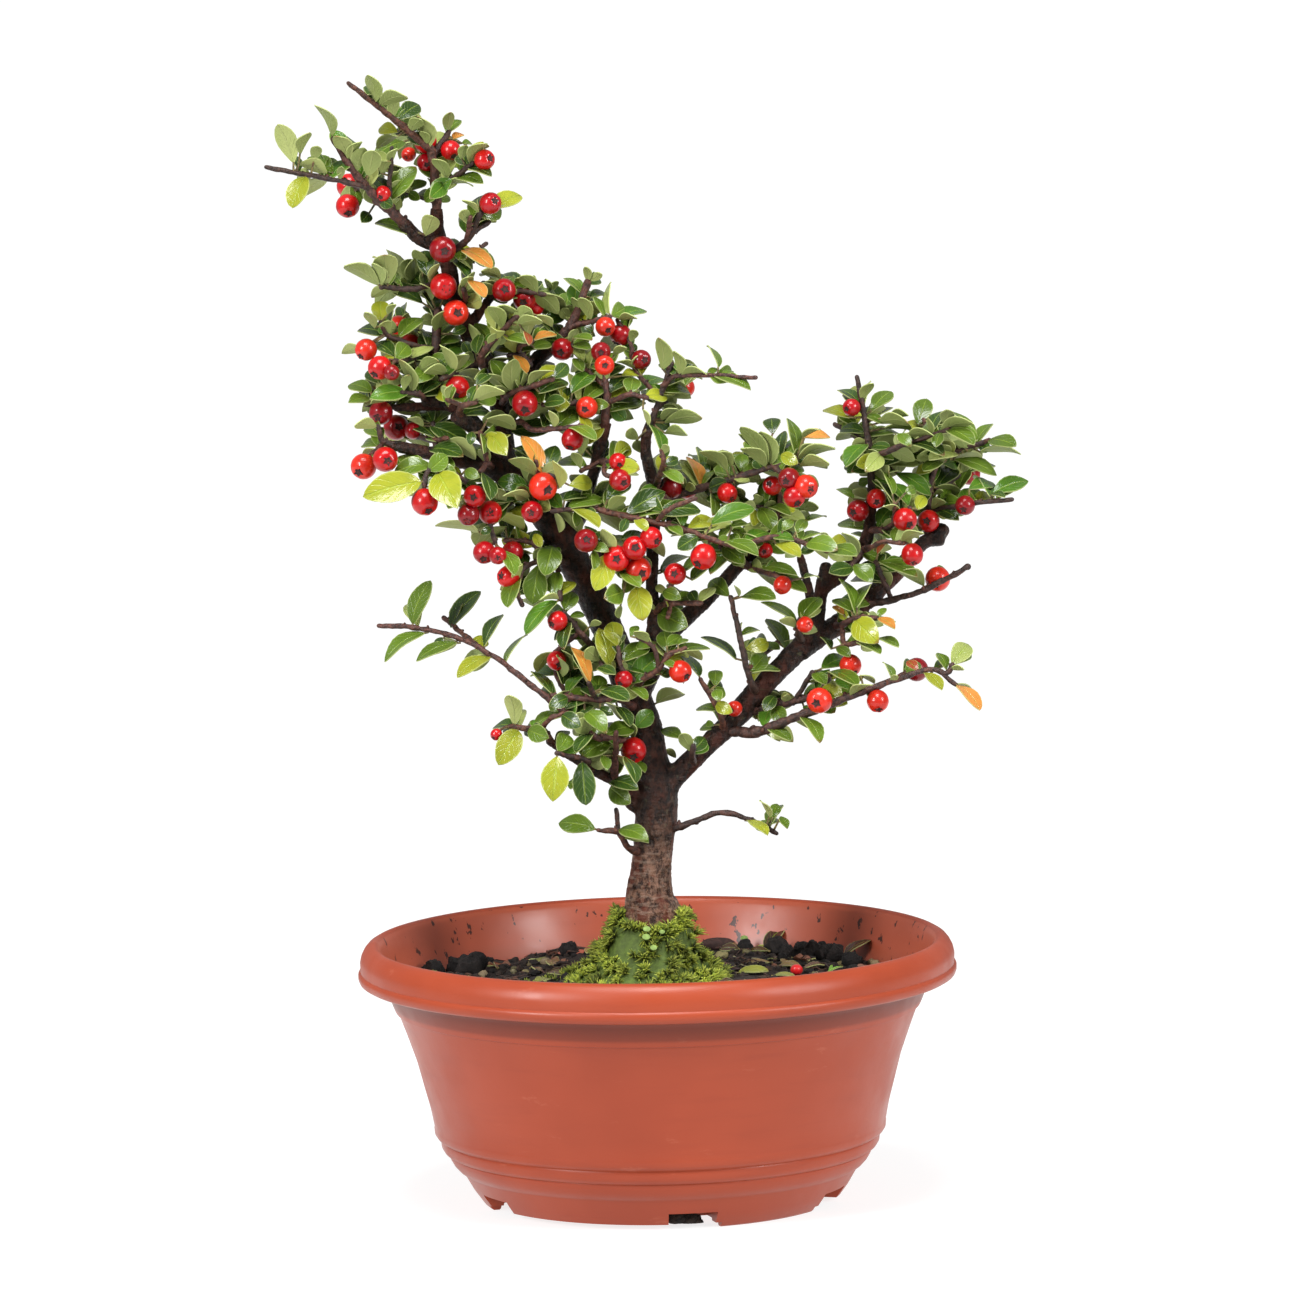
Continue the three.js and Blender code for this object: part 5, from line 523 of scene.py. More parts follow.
    [-14, 126.5, -5, 124.5, 4.5, "D"], [-9.5, 134.5, -5, 126.5, 3.5, "D"], [-12, 135, -9, 132, -1.5, "P"],
    [-5.5, 133, -2.5, 129.5, 2, "M"], [-29, 135, -30.5, 121, 8.5, "Y"], [-22, 132, -20.5, 119.5, 7, "D"],
    [-24, 128, -25, 124.5, 2, "M"], [-10.5, 139.5, -21.5, 134.5, 5.5, "M"], [-14.5, 141, -5.5, 143, 5, "M"],
    [-21, 148.5, -14, 142, 5.5, "M"], [-5.5, 142.5, 0, 148, 5.5, "G"], [-29.5, 138.5, -25, 142, 2.5, "M"],
    [-15.5, 135, -14, 130, 3, "M"], [-16, 149, -12, 147, 3, "D"], [27.7, 115.5, 34, 110, 2.5, "Y"],
    [34.6, 114.4, 31.6, 120, -1.5, "P"], [35.2, 114.4, 37, 119.2, 3.5, "M"],
    [37.6, 115.3, 39.8, 111.3, 2.5, "M"],
]

# Berries: x, z, radius
BERRIES = [
    [-60, 287.5, 4], [-60, 276.5, 4], [-56.5, 268.5, 3.9], [-42, 275, 3.6], [-36, 272, 3.4], [-33, 270, 3],
    [-47, 314, 3.1], [-57, 317, 3], [-64.5, 313.5, 2.7], [-69.5, 316, 2.2], [-88, 301, 3.6],
    [-77.5, 304.5, 2.4], [-45.5, 301, 3.3], [-83.5, 258, 3.3], [-73.5, 264.5, 3.6], [-70, 258.5, 3.9],
    [-79.5, 252.5, 3.6], [-76, 251, 2.4], [-79.5, 239, 3.6], [-75, 234.5, 3.9], [-70, 233.5, 2.7],
    [-85, 223, 3.9], [-78.5, 225, 3.8], [-67, 212, 4], [-52, 213.5, 3.4], [-54, 208, 3.3],
    [-47.5, 208.5, 3.6], [-49.5, 196.5, 3.4], [-45.5, 195.5, 2.7], [-41, 196.5, 3.3], [-42.5, 189, 3.3],
    [-56.5, 246, 3.6], [-36.5, 241, 3.9], [-25, 257, 3.4], [-12, 263.5, 3], [-7.5, 261, 3.3], [-13.5, 256, 3],
    [-12.5, 252, 3], [-1.5, 253.5, 3], [-31.5, 216, 4.3], [-19, 199.5, 3.6], [-10, 194, 4],
    [-3.5, 190.5, 3.9], [-4.5, 197, 3.6], [0.5, 200, 3.3], [6.5, 215, 3.6], [7.5, 189, 3.3], [16, 194, 3.9],
    [34.5, 195.5, 2.4], [39.5, 185, 2.7], [23.5, 213, 3], [37, 215, 3], [42, 217, 3.3], [47, 214.5, 3.6],
    [43.5, 211.5, 3.3], [61, 238, 2.7], [62.5, 207, 3.4], [68, 210.5, 3], [76.5, 204, 3.6],
    [83.5, 203.5, 3.4], [94.5, 208, 3], [78.5, 193.5, 3.3], [86, 186, 3.8], [59.5, 160.5, 3.3],
    [50, 150, 3.9], [67.5, 149.5, 3.3], [8.5, 159.5, 3.4], [-6, 136, 3.9], [-28, 175.5, 3], [-28.5, 163.5, 3],
    [-8.5, 157.5, 2.7], [-47, 141.5, 1.8], [-22.5, 230, 3.3], [-18, 239.5, 3.3], [-35, 208.5, 3.3],
    [-9, 223, 2.7], [-8.5, 217.5, 3.3], [46, 173, 2.5], [24.5, 148, 2.4],
]

# The boughs that share one piece of shoots and one of berries, by the spray that each starts with
BOUGHS = {
    "spray_crown_tip": "leader",
    "spray_arm_front": "middle_arm",
    "spray_centre": "centre",
    "spray_upright_top": "upright",
    "spray_trunk_left": "elbow",
    "spray_left_pad_end": "left_pad",
    "spray_trunk_low_front": "trunk",
    "spray_right_limb_left": "right_limb",
    "spray_right_side": "far_right",
    "spray_low_left_shoot": "low_left",
}

# Leaf colours by the letter in the table; D is a darker copy of the green, painted shade for leaves that lie
# in shadow
TONES = {
    "M": (86, 110, 32), "D": (48, 72, 24), "P": (148, 158, 88), "Y": (146, 150, 40),
    "O": (200, 128, 56), "R": (150, 66, 40), "G": (72, 110, 30),
}


def colour(r, g, b):
    """Linear RGB of an 8-bit colour."""
    parts = (r / 255, g / 255, b / 255)
    return tuple(c / 12.92 if c <= 0.04045 else ((c + 0.055) / 1.055) ** 2.4 for c in parts)


def place(point):
    """Where a point of the tables stands, so that the front view shows it at its x and z."""
    x, y, z = point[:3]
    depth = y / EYE_DISTANCE
    return np.array([x * (1 + depth), y, z - (EYE_HEIGHT - z) * depth])


def unit(v):
    return v / max(np.linalg.norm(v), 1e-12)


for lines in [LIMBS, *SPRAYS.values()]:
    for line in lines:
        for point in line:
            point[1] *= DEPTH


class Build:
    """Gathers closed shells into one mesh, with a colour and three numbers at each vertex."""

    def __init__(self):
        self.points, self.faces, self.slots, self.tones, self.marks = [], [], [], [], []
        self.count = 0

    def add(self, points, faces, slot=0, tone=(1, 1, 1), marks=(0, 0, 0)):
        points = np.asarray(points, float).reshape(-1, 3)
        self.points.append(points)
        self.faces += [tuple(i + self.count for i in face) for face in faces]
        self.slots += list(slot) if hasattr(slot, "__len__") else [slot] * len(faces)
        self.tones.append(np.broadcast_to(np.asarray(tone, float), (len(points), 3)))
        self.marks.append(np.broadcast_to(np.asarray(marks, float), (len(points), 3)))
        self.count += len(points)

    def mesh(self, name):
        mesh = bpy.data.meshes.new(name)
        mesh.from_pydata((np.concatenate(self.points) * MM).tolist(), [], self.faces)
        return mesh

    def make(self, name, materials, slot, nodes=(), crease=0.9):
        """One piece of the scene on the one body, with its finish and the nodes that it stands for."""
        mesh = self.mesh(name)
        tones = np.concatenate([np.concatenate(self.tones), np.ones((self.count, 1))], 1)
        mesh.attributes.new("tone", "FLOAT_COLOR", "POINT").data.foreach_set("color", tones.ravel())
        marks = np.concatenate(self.marks).ravel()
        mesh.attributes.new("marks", "FLOAT_VECTOR", "POINT").data.foreach_set("vector", marks)
        for material in materials:
            mesh.materials.append(material)
        mesh.polygons.foreach_set("material_index", self.slots)
        mesh.shade_smooth()
        if crease:
            mesh.set_sharp_from_angle(angle=crease)
        piece = in_scene(bpy.data.objects.new(name, mesh))
        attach(piece, "root")
        if nodes:
            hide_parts(*nodes)
        return piece


def in_scene(thing):
    bpy.context.scene.collection.objects.link(thing)
    return thing


def bake(piece, material):
    """Takes a piece's modifiers into its mesh, which keeps the one material."""
    bpy.context.view_layer.update()
    mesh = bpy.data.meshes.new_from_object(piece.evaluated_get(bpy.context.evaluated_depsgraph_get()))
    piece.modifiers.clear()
    piece.data = mesh
    mesh.materials.clear()
    mesh.materials.append(material)
    return mesh


# Materials
class Shader:
    """Short ways to lay the nodes of one procedural material."""

    def __init__(self, name, roughness=0.5, **sockets):
        self.material = bpy.data.materials.new(name)
        self.material.use_nodes = True
        self.tree = self.material.node_tree
        self.shader = self.tree.nodes["Principled BSDF"]
        self.shader.inputs["Roughness"].default_value = roughness
        for socket, value in sockets.items():
            self.shader.inputs[socket.replace("_", " ")].default_value = value
        self.where = self.node("ShaderNodeTexCoord").outputs["Object"]

    def node(self, kind, links=(), **settings):
        """Node with its settings; each link is a socket's source or its value."""
        node = self.tree.nodes.new(kind)
        for key, value in settings.items():
            setattr(node, key, value)
        for socket, source in dict(links).items():
            if hasattr(source, "is_output"):
                self.tree.links.new(source, node.inputs[socket])
            else:
                node.inputs[socket].default_value = source
        return node

    def attribute(self, name, output="Color"):
        return self.node("ShaderNodeAttribute", attribute_name=name).outputs[output]

    def split(self, vector):
        return self.node("ShaderNodeSeparateXYZ", {0: vector}).outputs

    def noise(self, per_mm, detail=3, roughness=0.55, stretch=None, distortion=0):
        where = self.where
        if stretch:
            where = self.node("ShaderNodeMapping", {"Vector": where, "Scale": stretch}).outputs[0]
        links = {"Vector": where, "Scale": per_mm / MM, "Detail": detail, "Roughness": roughness,
                 "Distortion": distortion}
        return self.node("ShaderNodeTexNoise", links).outputs["Fac"]

    def ramp(self, source, low, high, start=0.0, end=1.0):
        """Smooth step from start, where the source is low, to end, where it is high."""
        links = {0: source, 1: low, 2: high, 3: start, 4: end}
        return self.node("ShaderNodeMapRange", links, interpolation_type="SMOOTHSTEP").outputs[0]

    def patches(self, low, high, *texture):
        return self.ramp(self.noise(*texture), low, high)

    def math(self, operation, a, b=0.0):
        return self.node("ShaderNodeMath", {0: a, 1: b}, operation=operation).outputs[0]

    def times(self, a, b):
        return self.math("MULTIPLY", a, b)

    def plus(self, a, b):
        return self.math("ADD", a, b)

    def mix(self, share, a, b, kind="MIX"):
        links = {"Factor": share}
        for index, source in ((6, a), (7, b)):
            links[index] = source if hasattr(source, "is_output") else (*source, 1)
        return self.node("ShaderNodeMix", links, data_type="RGBA", blend_type=kind).outputs[2]

    def dim(self, base, factors):
        return self.mix(1, base, factors, "MULTIPLY")

    def lay(self, base, tint, mask, share=1.0):
        """Base with a share of the tint laid over it, where the mask is 1."""
        return self.mix(self.times(mask, share), base, tint)

    def finish(self, base, bump, height_mm, roughness=None):
        links = self.tree.links
        links.new(base, self.shader.inputs["Base Color"])
        relief = self.node("ShaderNodeBump", {"Height": bump, "Distance": height_mm * MM, "Strength": 1})
        links.new(relief.outputs[0], self.shader.inputs["Normal"])
        if roughness is not None:
            links.new(roughness, self.shader.inputs["Roughness"])
        return self.material


def leaf_material(name, under):
    m = Shader(name, 0.5 if under else 0.2, Specular_IOR_Level=0.25 if under else 0.45)
    tone = m.attribute("tone")
    along, half, chance = m.split(m.attribute("marks", "Vector"))
    aside = m.math("ABSOLUTE", half)
    rib = m.ramp(aside, 0.03, 0.11, 1, 0)
    slant = m.math("SUBTRACT", m.times(along, 38), m.times(aside, 14))
    veins = m.ramp(m.math("SINE", slant), 0.6, 1.0)
    light = colour(168, 176, 112) if under else colour(156, 180, 66)
    base = m.lay(tone, m.dim(tone, (0.55, 0.7, 0.4)), m.patches(0.35, 0.7, 0.22), 0.35)
    if under:
        base = m.mix(0.55, base, light)
    base = m.lay(base, light, rib, 0.5 if under else 0.32)
    base = m.lay(base, light, veins, 0.07)
    base = m.lay(base, colour(190, 198, 130), m.ramp(aside, 0.86, 1.0), 0.45)
    speck = m.times(m.patches(0.7, 0.76, 0.9, 2), m.ramp(chance, 0.55, 0.7))
    base = m.lay(base, colour(66, 44, 26), speck, 0.8)
    tip = m.times(m.ramp(along, 0.9, 1.0), m.ramp(chance, 0.7, 0.9))
    base = m.lay(base, colour(120, 70, 40), tip, 0.7)
    height = m.plus(m.times(rib, 1.0 if under else -1.0), m.times(veins, -0.35))
    return m.finish(base, m.plus(height, m.times(m.noise(0.8), 0.5)), 0.16)


def shoot_material():
    m = Shader("shoot_bark", 0.55)
    tone = m.attribute("tone")
    grain = m.noise(0.7, 5, 0.65)
    base = m.mix(m.ramp(grain, 0.38, 0.64), m.dim(tone, (0.25, 0.22, 0.22)), tone)
    base = m.lay(base, colour(118, 70, 54), m.patches(0.55, 0.7, 0.25), 0.4)
    return m.finish(base, grain, 0.7)


def bark_material():
    """Near-black bark above and greyer, ringed bark low on the trunk."""
    m = Shader("bark", 0.42, Specular_IOR_Level=0.36)
    low = m.ramp(m.split(m.where)[2], 0.124, 0.096)
    grain = m.noise(0.6, 8, 0.75, (1, 1, 0.6))
    fine = m.ramp(grain, 0.4, 0.6)
    broad = m.noise(0.13, 4, 0.6, (1, 1, 0.6))
    dark = m.mix(fine, colour(8, 5, 4), colour(62, 36, 26))
    grey = m.mix(fine, colour(46, 26, 18), colour(142, 106, 86))
    base = m.lay(dark, grey, low, 0.95)
    rust = m.times(m.ramp(broad, 0.48, 0.6), m.plus(m.times(low, 0.4), 0.4))
    base = m.lay(base, colour(96, 40, 22), rust)
    lichen = m.patches(0.6, 0.68, 0.32, 5, 0.7)
    base = m.lay(base, colour(112, 112, 84), lichen, 0.4)
    scar = m.patches(0.68, 0.74, 0.24, 2, 0.4, (1, 1, 1.6), 0.6)
    base = m.lay(base, colour(112, 58, 38), m.times(scar, low), 0.8)
    rings = m.noise(0.35, 4, 0.6, (0.5, 0.5, 2.4))
    whole = m.patches(0.34, 0.4, 0.34, 4, 0.6, (1.2, 1.2, 0.8))
    base = m.mix(whole, m.dim(base, (0.5, 0.45, 0.42)), base)
    band = m.times(m.ramp(rings, 0.52, 0.62), low)
    base = m.lay(base, colour(168, 146, 128), band, 0.35)
    bump = m.plus(m.plus(grain, m.times(rings, 0.8)), m.times(whole, 0.6))
    return m.finish(base, bump, 1.3, m.ramp(broad, 0.3, 0.75, 0.28, 0.6))


def berry_material():
    m = Shader("berry_skin", 0.28, Specular_IOR_Level=0.35, Coat_Weight=0.25, Coat_Roughness=0.05)
    tone = m.attribute("tone")
    base = m.lay(tone, m.dim(tone, (0.45, 0.35, 0.4)), m.patches(0.4, 0.7, 0.16, 2), 0.55)
    base = m.lay(base, colour(236, 110, 70), m.patches(0.66, 0.72, 1.6, 2), 0.14)
    return m.finish(base, m.noise(0.5), 0.12)


def plain_material(name, roughness, per_mm, shade, height_mm):
    """Vertex colour, mottled darker by shade, with a grain of per_mm."""
    m = Shader(name, roughness)
    tone = m.attribute("tone")
    grain = m.noise(per_mm, 5, 0.65)
    base = m.mix(m.ramp(grain, 0.3, 0.72), m.dim(tone, (shade,) * 3), tone)
    return m.finish(base, grain, height_mm)


def terracotta_material():
    m = Shader("terracotta", 0.3, Specular_IOR_Level=0.34)
    x, y, z = m.split(m.where)
    base = m.mix(m.patches(0.35, 0.65, 0.02, 3), colour(146, 58, 32), colour(154, 63, 36))
    streak = m.patches(0.5, 0.75, 0.03, 4, 0.6, (1, 1, 9))
    base = m.lay(base, colour(134, 52, 32), streak, 0.25)
    scuff = m.patches(0.62, 0.72, 0.06, 6, 0.7, (1, 1, 3))
    base = m.lay(base, colour(172, 92, 68), scuff, 0.35)
    # Inner wall: damp low down, paler above, splashed with soil
    radius = m.math("SQRT", m.plus(m.times(x, x), m.times(y, y)))
    cone = m.math("SUBTRACT", radius, m.times(z, 0.26))
    inside = m.times(m.ramp(cone, 0.0639, 0.0634), m.ramp(z, 0.059, 0.061))
    base = m.lay(base, colour(96, 54, 40), m.times(inside, m.ramp(z, 0.069, 0.064)), 0.4)
    base = m.lay(base, colour(196, 108, 84), inside, 0.3)
    splash = m.patches(0.635, 0.665, 0.3, 3, 0.6, (1, 1, 0.6))
    base = m.lay(base, colour(34, 20, 16), m.times(splash, inside), 0.9)
    # Outside: painted shade in a band under the lip, where the lip's shadow falls, and dirt near the foot
    band = m.times(m.ramp(z, 0.05, 0.066), m.ramp(z, 0.0672, 0.0668))
    base = m.lay(base, colour(92, 36, 22), m.times(band, m.ramp(cone, 0.0639, 0.0641)), 0.72)
    dirt = m.times(m.patches(0.7, 0.74, 0.12, 5, 0.7), m.ramp(z, 0.03, 0.0))
    base = m.lay(base, colour(110, 62, 44), dirt, 0.6)
    bump = m.plus(m.noise(0.05, 3), m.times(m.noise(1.2, 3), 0.12))
    return m.finish(base, bump, 0.12, m.ramp(m.noise(0.05, 4), 0.3, 0.7, 0.3, 0.44))


LEAF = leaf_material("leaf_face", False)
UNDER = leaf_material("leaf_underside", True)
SHOOT = shoot_material()
BARK = bark_material()
BERRY = berry_material()
HUSK = plain_material("dry_husk", 0.8, 1.2, 0.4, 0.4)
EARTH = plain_material("peat", 0.92, 0.7, 0.35, 0.9)
STONE = plain_material("pebble", 0.7, 0.5, 0.6, 0.3)
MOSS = plain_material("moss", 0.75, 0.6, 0.55, 0.3)
CLAY = terracotta_material()


# Shapes
def spline(points, radii, step):
    """Smooth path through points, with its radii, in steps of about that length."""
    points, radii = np.asarray(points, float), np.asarray(radii, float)
    padded = np.vstack([2 * points[0] - points[1], points, 2 * points[-1] - points[-2]])
    path, widths = [], []
    for i in range(len(points) - 1):
        a, b, c, d = padded[i:i + 4]
        count = max(1, round(np.linalg.norm(c - b) / step))
        for t in np.arange(count) / count:
            path.append(0.5 * (2 * b + (c - a) * t + (2 * a - 5 * b + 4 * c - d) * t ** 2
                               + (3 * b - a - 3 * c + d) * t ** 3))
            widths.append(radii[i] * (1 - t) + radii[i + 1] * t)
    return np.array(path + [points[-1]]), np.array(widths + [radii[-1]])


def tube(path, radii, sides, round_end=True):
    """Closed round stem: its points and faces."""
    path, radii = list(path), list(radii)
    if round_end:
        onward = unit(path[-1] - path[-2]) * radii[-1]
        path += [path[-1] + onward * 0.6, path[-1] + onward * 0.95]
        radii += [radii[-1] * 0.8, radii[-1] * 0.35]
    points, faces = [], []
    side = None
    for i, centre in enumerate(path):
        ahead = unit(path[min(i + 1, len(path) - 1)] - path[max(i - 1, 0)])
        if side is None:
            side = unit(np.cross(ahead, [0.3, 1, 0.2]))
        side = unit(side - ahead * side.dot(ahead))
        up = np.cross(ahead, side)
        for k in range(sides):
            angle = 2 * math.pi * k / sides
            points.append(centre + radii[i] * (side * math.cos(angle) + up * math.sin(angle)))
    for i in range(len(path) - 1):
        for k in range(sides):
            j = (k + 1) % sides
            faces.append((i * sides + k, i * sides + j, (i + 1) * sides + j, (i + 1) * sides + k))
    faces.append(tuple(range(sides))[::-1])
    faces.append(tuple((len(path) - 1) * sides + k for k in range(sides)))
    return np.array(points), faces


def turned(profile, segments):
    """Closed turned body; the profile of radius and height starts and ends on the axis."""
    points, faces = [(0, 0, profile[0][1]), (0, 0, profile[-1][1])], []
    rings = profile[1:-1]
    for radius, z in rings:
        for k in range(segments):
            angle = 2 * math.pi * k / segments
            points.append((radius * math.cos(angle), radius * math.sin(angle), z))
    last = 2 + (len(rings) - 1) * segments
    for k in range(segments):
        j = (k + 1) % segments
        faces.append((0, 2 + j, 2 + k))
        faces.append((1, last + k, last + j))
        for i in range(len(rings) - 1):
            a = 2 + i * segments
            faces.append((a + k, a + j, a + segments + j, a + segments + k))
    return np.array(points, float), faces


def globe(columns, rows):
    """Unit ball with its poles on z: points and faces."""
    points = [(0, 0, 1)]
    for i in range(1, rows):
        tilt = math.pi * i / rows
        for k in range(columns):
            turn = 2 * math.pi * k / columns
            points.append((math.sin(tilt) * math.cos(turn), math.sin(tilt) * math.sin(turn), math.cos(tilt)))
    points.append((0, 0, -1))
    faces = [(0, 1 + k, 1 + (k + 1) % columns) for k in range(columns)]
    for i in range(rows - 2):
        for k in range(columns):
            j = (k + 1) % columns
            a = 1 + i * columns
            faces.append((a + k, a + columns + k, a + columns + j, a + j))
    last = 1 + (rows - 2) * columns
    faces += [(last + (k + 1) % columns, last + k, len(points) - 1) for k in range(columns)]
    return np.array(points, float), faces


def turn_to(axis, spin=0.0):
    """Matrix that turns z to axis."""
    return np.array(Vector(axis).to_track_quat("Z", "Y").to_matrix() @ Matrix.Rotation(spin, 3, "Z"))


def wobble(points, amount, per_mm, seed):
    """Points pushed about by noise."""
    offset = Vector((seed * 7.3, seed * 3.1, seed * 5.7))
    return points + amount * np.array([noise.noise_vector(Vector(p) * per_mm + offset) for p in points])


def nearest_stem(x, z):
    """Distance, spray and point of the shoot that the front view shows nearest to x, z."""
    best = (math.inf, None, None)
    for name, twigs in SPRAYS.items():
        for twig in twigs:
            for a, b in zip(twig, twig[1:]):
                dx, dz = b[0] - a[0], b[2] - a[2]
                t = min(max(((x - a[0]) * dx + (z - a[2]) * dz) / (dx * dx + dz * dz), 0), 1)
                point = [a[k] + t * (b[k] - a[k]) for k in range(3)]
                distance = math.hypot(x - point[0], z - point[2])
                if distance < best[0] - 1e-9:
                    best = (distance, name, point)
    return best


def leaf_frame(row, distance, foot, shift):
    """Where a leaf stands: its axes, length and width, by the rule that the source uses."""
    x0, z0, x1, z1, width = row[:5]
    run = math.hypot(x1 - x0, z1 - z0)
    length = max(run * 1.02, abs(width) * 1.8, min(LEAF_LENGTH, run * 1.35))
    side = (1 if z1 >= z0 else -1) * (1 if width > 0 else -1)
    root = place(foot)
    base = root if distance < SNAP else place([x0, foot[1], z0])
    tip = place([x1, foot[1] + side * math.sqrt(length ** 2 - run ** 2) + shift, z1])
    axis = unit(tip - base)
    facing = np.array([0, -EYE_DISTANCE, EYE_HEIGHT]) - base
    facing = unit(facing - axis * facing.dot(axis))
    blade = max(abs(width), LEAF_RATIO * length)
    roll = math.acos(abs(width) / blade)
    ups = []
    for angle in (roll, -roll):
        up = facing * math.cos(angle) + np.cross(axis, facing) * math.sin(angle)
        ups.append(up if width > 0 else -up)
    return leaf_axes(root, base, axis, max(ups, key=lambda v: v[2]), np.linalg.norm(tip - base), blade)


def leaf_axes(root, base, axis, up, length, width):
    return {"root": root, "base": base, "axis": axis, "up": up, "across": np.cross(up, axis),
            "length": length, "width": width}


def on_leaf(leaf, along, half):
    """Point of a blade: along is 0 at its base and 1 at its tip, half is -1 and 1 at its rims."""
    arch = ARCH * leaf["length"] * along * (1 - along)
    return (leaf["base"] + leaf["axis"] * along * leaf["length"]
            + leaf["across"] * half * leaf["width"] / 2 + leaf["up"] * arch)


LEAF_ROWS = [0.07, 0.14, 0.24, 0.36, 0.5, 0.64, 0.77, 0.88, 0.95, 1.0]
LEAF_HALVES = [-1, -0.55, 0, 0.55, 1]
LEAF_THICKNESS = 0.3
STALK_RADII = [0.42, 0.34, 0.3]
# Points of a blade that have to be clear of other things
LEAF_CHECKS = [(0.3, 0), (0.5, 0.7), (0.5, -0.7), (0.6, 0), (0.8, 0.4), (0.8, -0.4), (1, 0)]


def add_leaf(build, leaf, tone):
    """Closed blade with a folded midrib and a curled rim, on its stalk."""
    fold = draw.uniform(0.05, 0.2)
    curl = draw.uniform(-0.06, 0.07)
    blunt = draw.uniform(0.56, 0.86)
    widest = draw.uniform(0.98, 1.28)
    chance = draw.random()
    shade = draw.uniform(0.82, 1.2)
    wave = draw.uniform(0, 6.28)
    top, marks = [], []
    for along in LEAF_ROWS:
        reach = (along - LEAF_ROWS[0]) / (1 - LEAF_ROWS[0])
        half_width = max(math.sin(math.pi * reach ** widest), 0) ** blunt + 0.03 * (1 - reach)
        for half in LEAF_HALVES:
            lift = leaf["width"] * (fold * abs(half) * half_width * 0.5
                                    + 0.02 * math.sin(along * 9 + wave) * abs(half))
            lift -= curl * leaf["length"] * reach ** 2
            top.append(on_leaf(leaf, along, half * half_width) + leaf["up"] * lift)
            marks.append((reach, half, chance))
    top = np.array(top)
    low = top - leaf["up"] * LEAF_THICKNESS
    rows, columns = len(LEAF_ROWS), len(LEAF_HALVES)
    total = rows * columns
    faces, slots = [], []
    for i in range(rows - 1):
        for k in range(columns - 1):
            a = i * columns + k
            faces.append((a, a + columns, a + columns + 1, a + 1))
            slots.append(0)
            faces.append((a + total, a + 1 + total, a + columns + 1 + total, a + columns + total))
            slots.append(1)
    rim = [i * columns for i in range(rows)] + [total - columns + k for k in range(1, columns)]
    rim += [i * columns + columns - 1 for i in range(rows - 2, -1, -1)] + list(range(columns - 2, 0, -1))
    for a, b in zip(rim, rim[1:] + rim[:1]):
        faces.append((b, a, a + total, b + total))
        slots.append(1)
    build.add(np.vstack([top, low]), faces, slots, np.array(tone) * shade, marks + marks)
    start, end = leaf["root"], on_leaf(leaf, 0.1, 0) - leaf["up"] * 0.15
    middle = (start + end) / 2 - leaf["up"] * 0.04 * np.linalg.norm(end - start)
    path, radii = spline([start, middle, end], STALK_RADII, 1.2)
    build.add(*tube(path, radii, 5, False), 2, colour(132, 118, 66))


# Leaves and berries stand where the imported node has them; the rest keep clear of those
draw = random.Random(SEED)
noise.seed_set(SEED)
leaf_builds = {name: Build() for name in SPRAYS}
bough_of = {}
for spray in SPRAYS:
    current = BOUGHS.get(spray) or current
    bough_of[spray] = current
shoot_builds = {bough: Build() for bough in BOUGHS.values()}
berry_builds = {bough: Build() for bough in BOUGHS.values()}
corners = {}
for name in SPRAYS:
    found = np.array([vertex.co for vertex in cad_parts[name].data.vertices]) / MM
    corners[name] = np.unique(found.round(3), axis=0)
taken = np.zeros((0, 3))
# How near the nearest thing is, for each cell of the front view
covered = {}


def cell(point):
    """Where the front view shows a point, to the millimetre."""
    depth = point[1] / EYE_DISTANCE
    return round(point[0] / (1 + depth)), round((point[2] + EYE_HEIGHT * depth) / (1 + depth))


def cover(point):
    key = cell(point)
    covered[key] = min(covered.get(key, math.inf), point[1])


def to_corners(name, point):
    """How far a point is from each corner of a packed spray."""
    return np.sqrt(((corners[name] - point) ** 2).sum(1))


def room(points):
    """How far points are from the leaves and berries that are placed already."""
    points = np.asarray(points)
    near = taken[(np.abs(taken - points.mean(0)) < 16).all(1)]
    if not len(near):
        return 9.0
    return math.sqrt(((near[None] - points[:, None]) ** 2).sum(2).min())


def leaf_points(leaf):
    return [on_leaf(leaf, *check) for check in LEAF_CHECKS]


def keep(name, leaf, tone):
    """Builds a leaf in its spray, and notes the room that it takes."""
    global taken
    add_leaf(leaf_builds[name], leaf, colour(*TONES[tone]))
    taken = np.vstack([taken, leaf_points(leaf)])
    for along in np.arange(0.1, 1.01, 0.06):
        for half in (-0.9, -0.6, -0.3, 0, 0.3, 0.6, 0.9):
            cover(on_leaf(leaf, along, half * math.sin(math.pi * min(along, 0.97)) ** 0.7))


def in_source(name, row, distance, foot):
    """The place of a leaf that a packed spray has, or none."""
    for shift in SHIFTS:
        leaf = leaf_frame(row, distance, foot, shift)
        if all(to_corners(name, on_leaf(leaf, 0.86, half)).min() < 0.4 for half in (-0.66, 0.66)):
            return leaf
    return None


wood_points = []
for limb in LIMBS:
    path, radii = spline([place(p) for p in limb], [p[3] for p in limb], 1.5)
    wood_points += [(*p, r) for p, r in zip(path, radii)]
wood_points = np.array(wood_points)
for x, y, z, r in wood_points:
    for dx in np.arange(-r, r + 0.1, 0.8):
        cover((x + dx, y, z))


def in_wood(points, gap=0.4):
    points = np.asarray(points)
    near = wood_points[(np.abs(wood_points[:, :3] - points.mean(0)) < 22).all(1)]
    if not len(near):
        return False
    away = np.sqrt(((near[None, :, :3] - points[:, None]) ** 2).sum(2))
    return (away - near[None, :, 3]).min() < gap


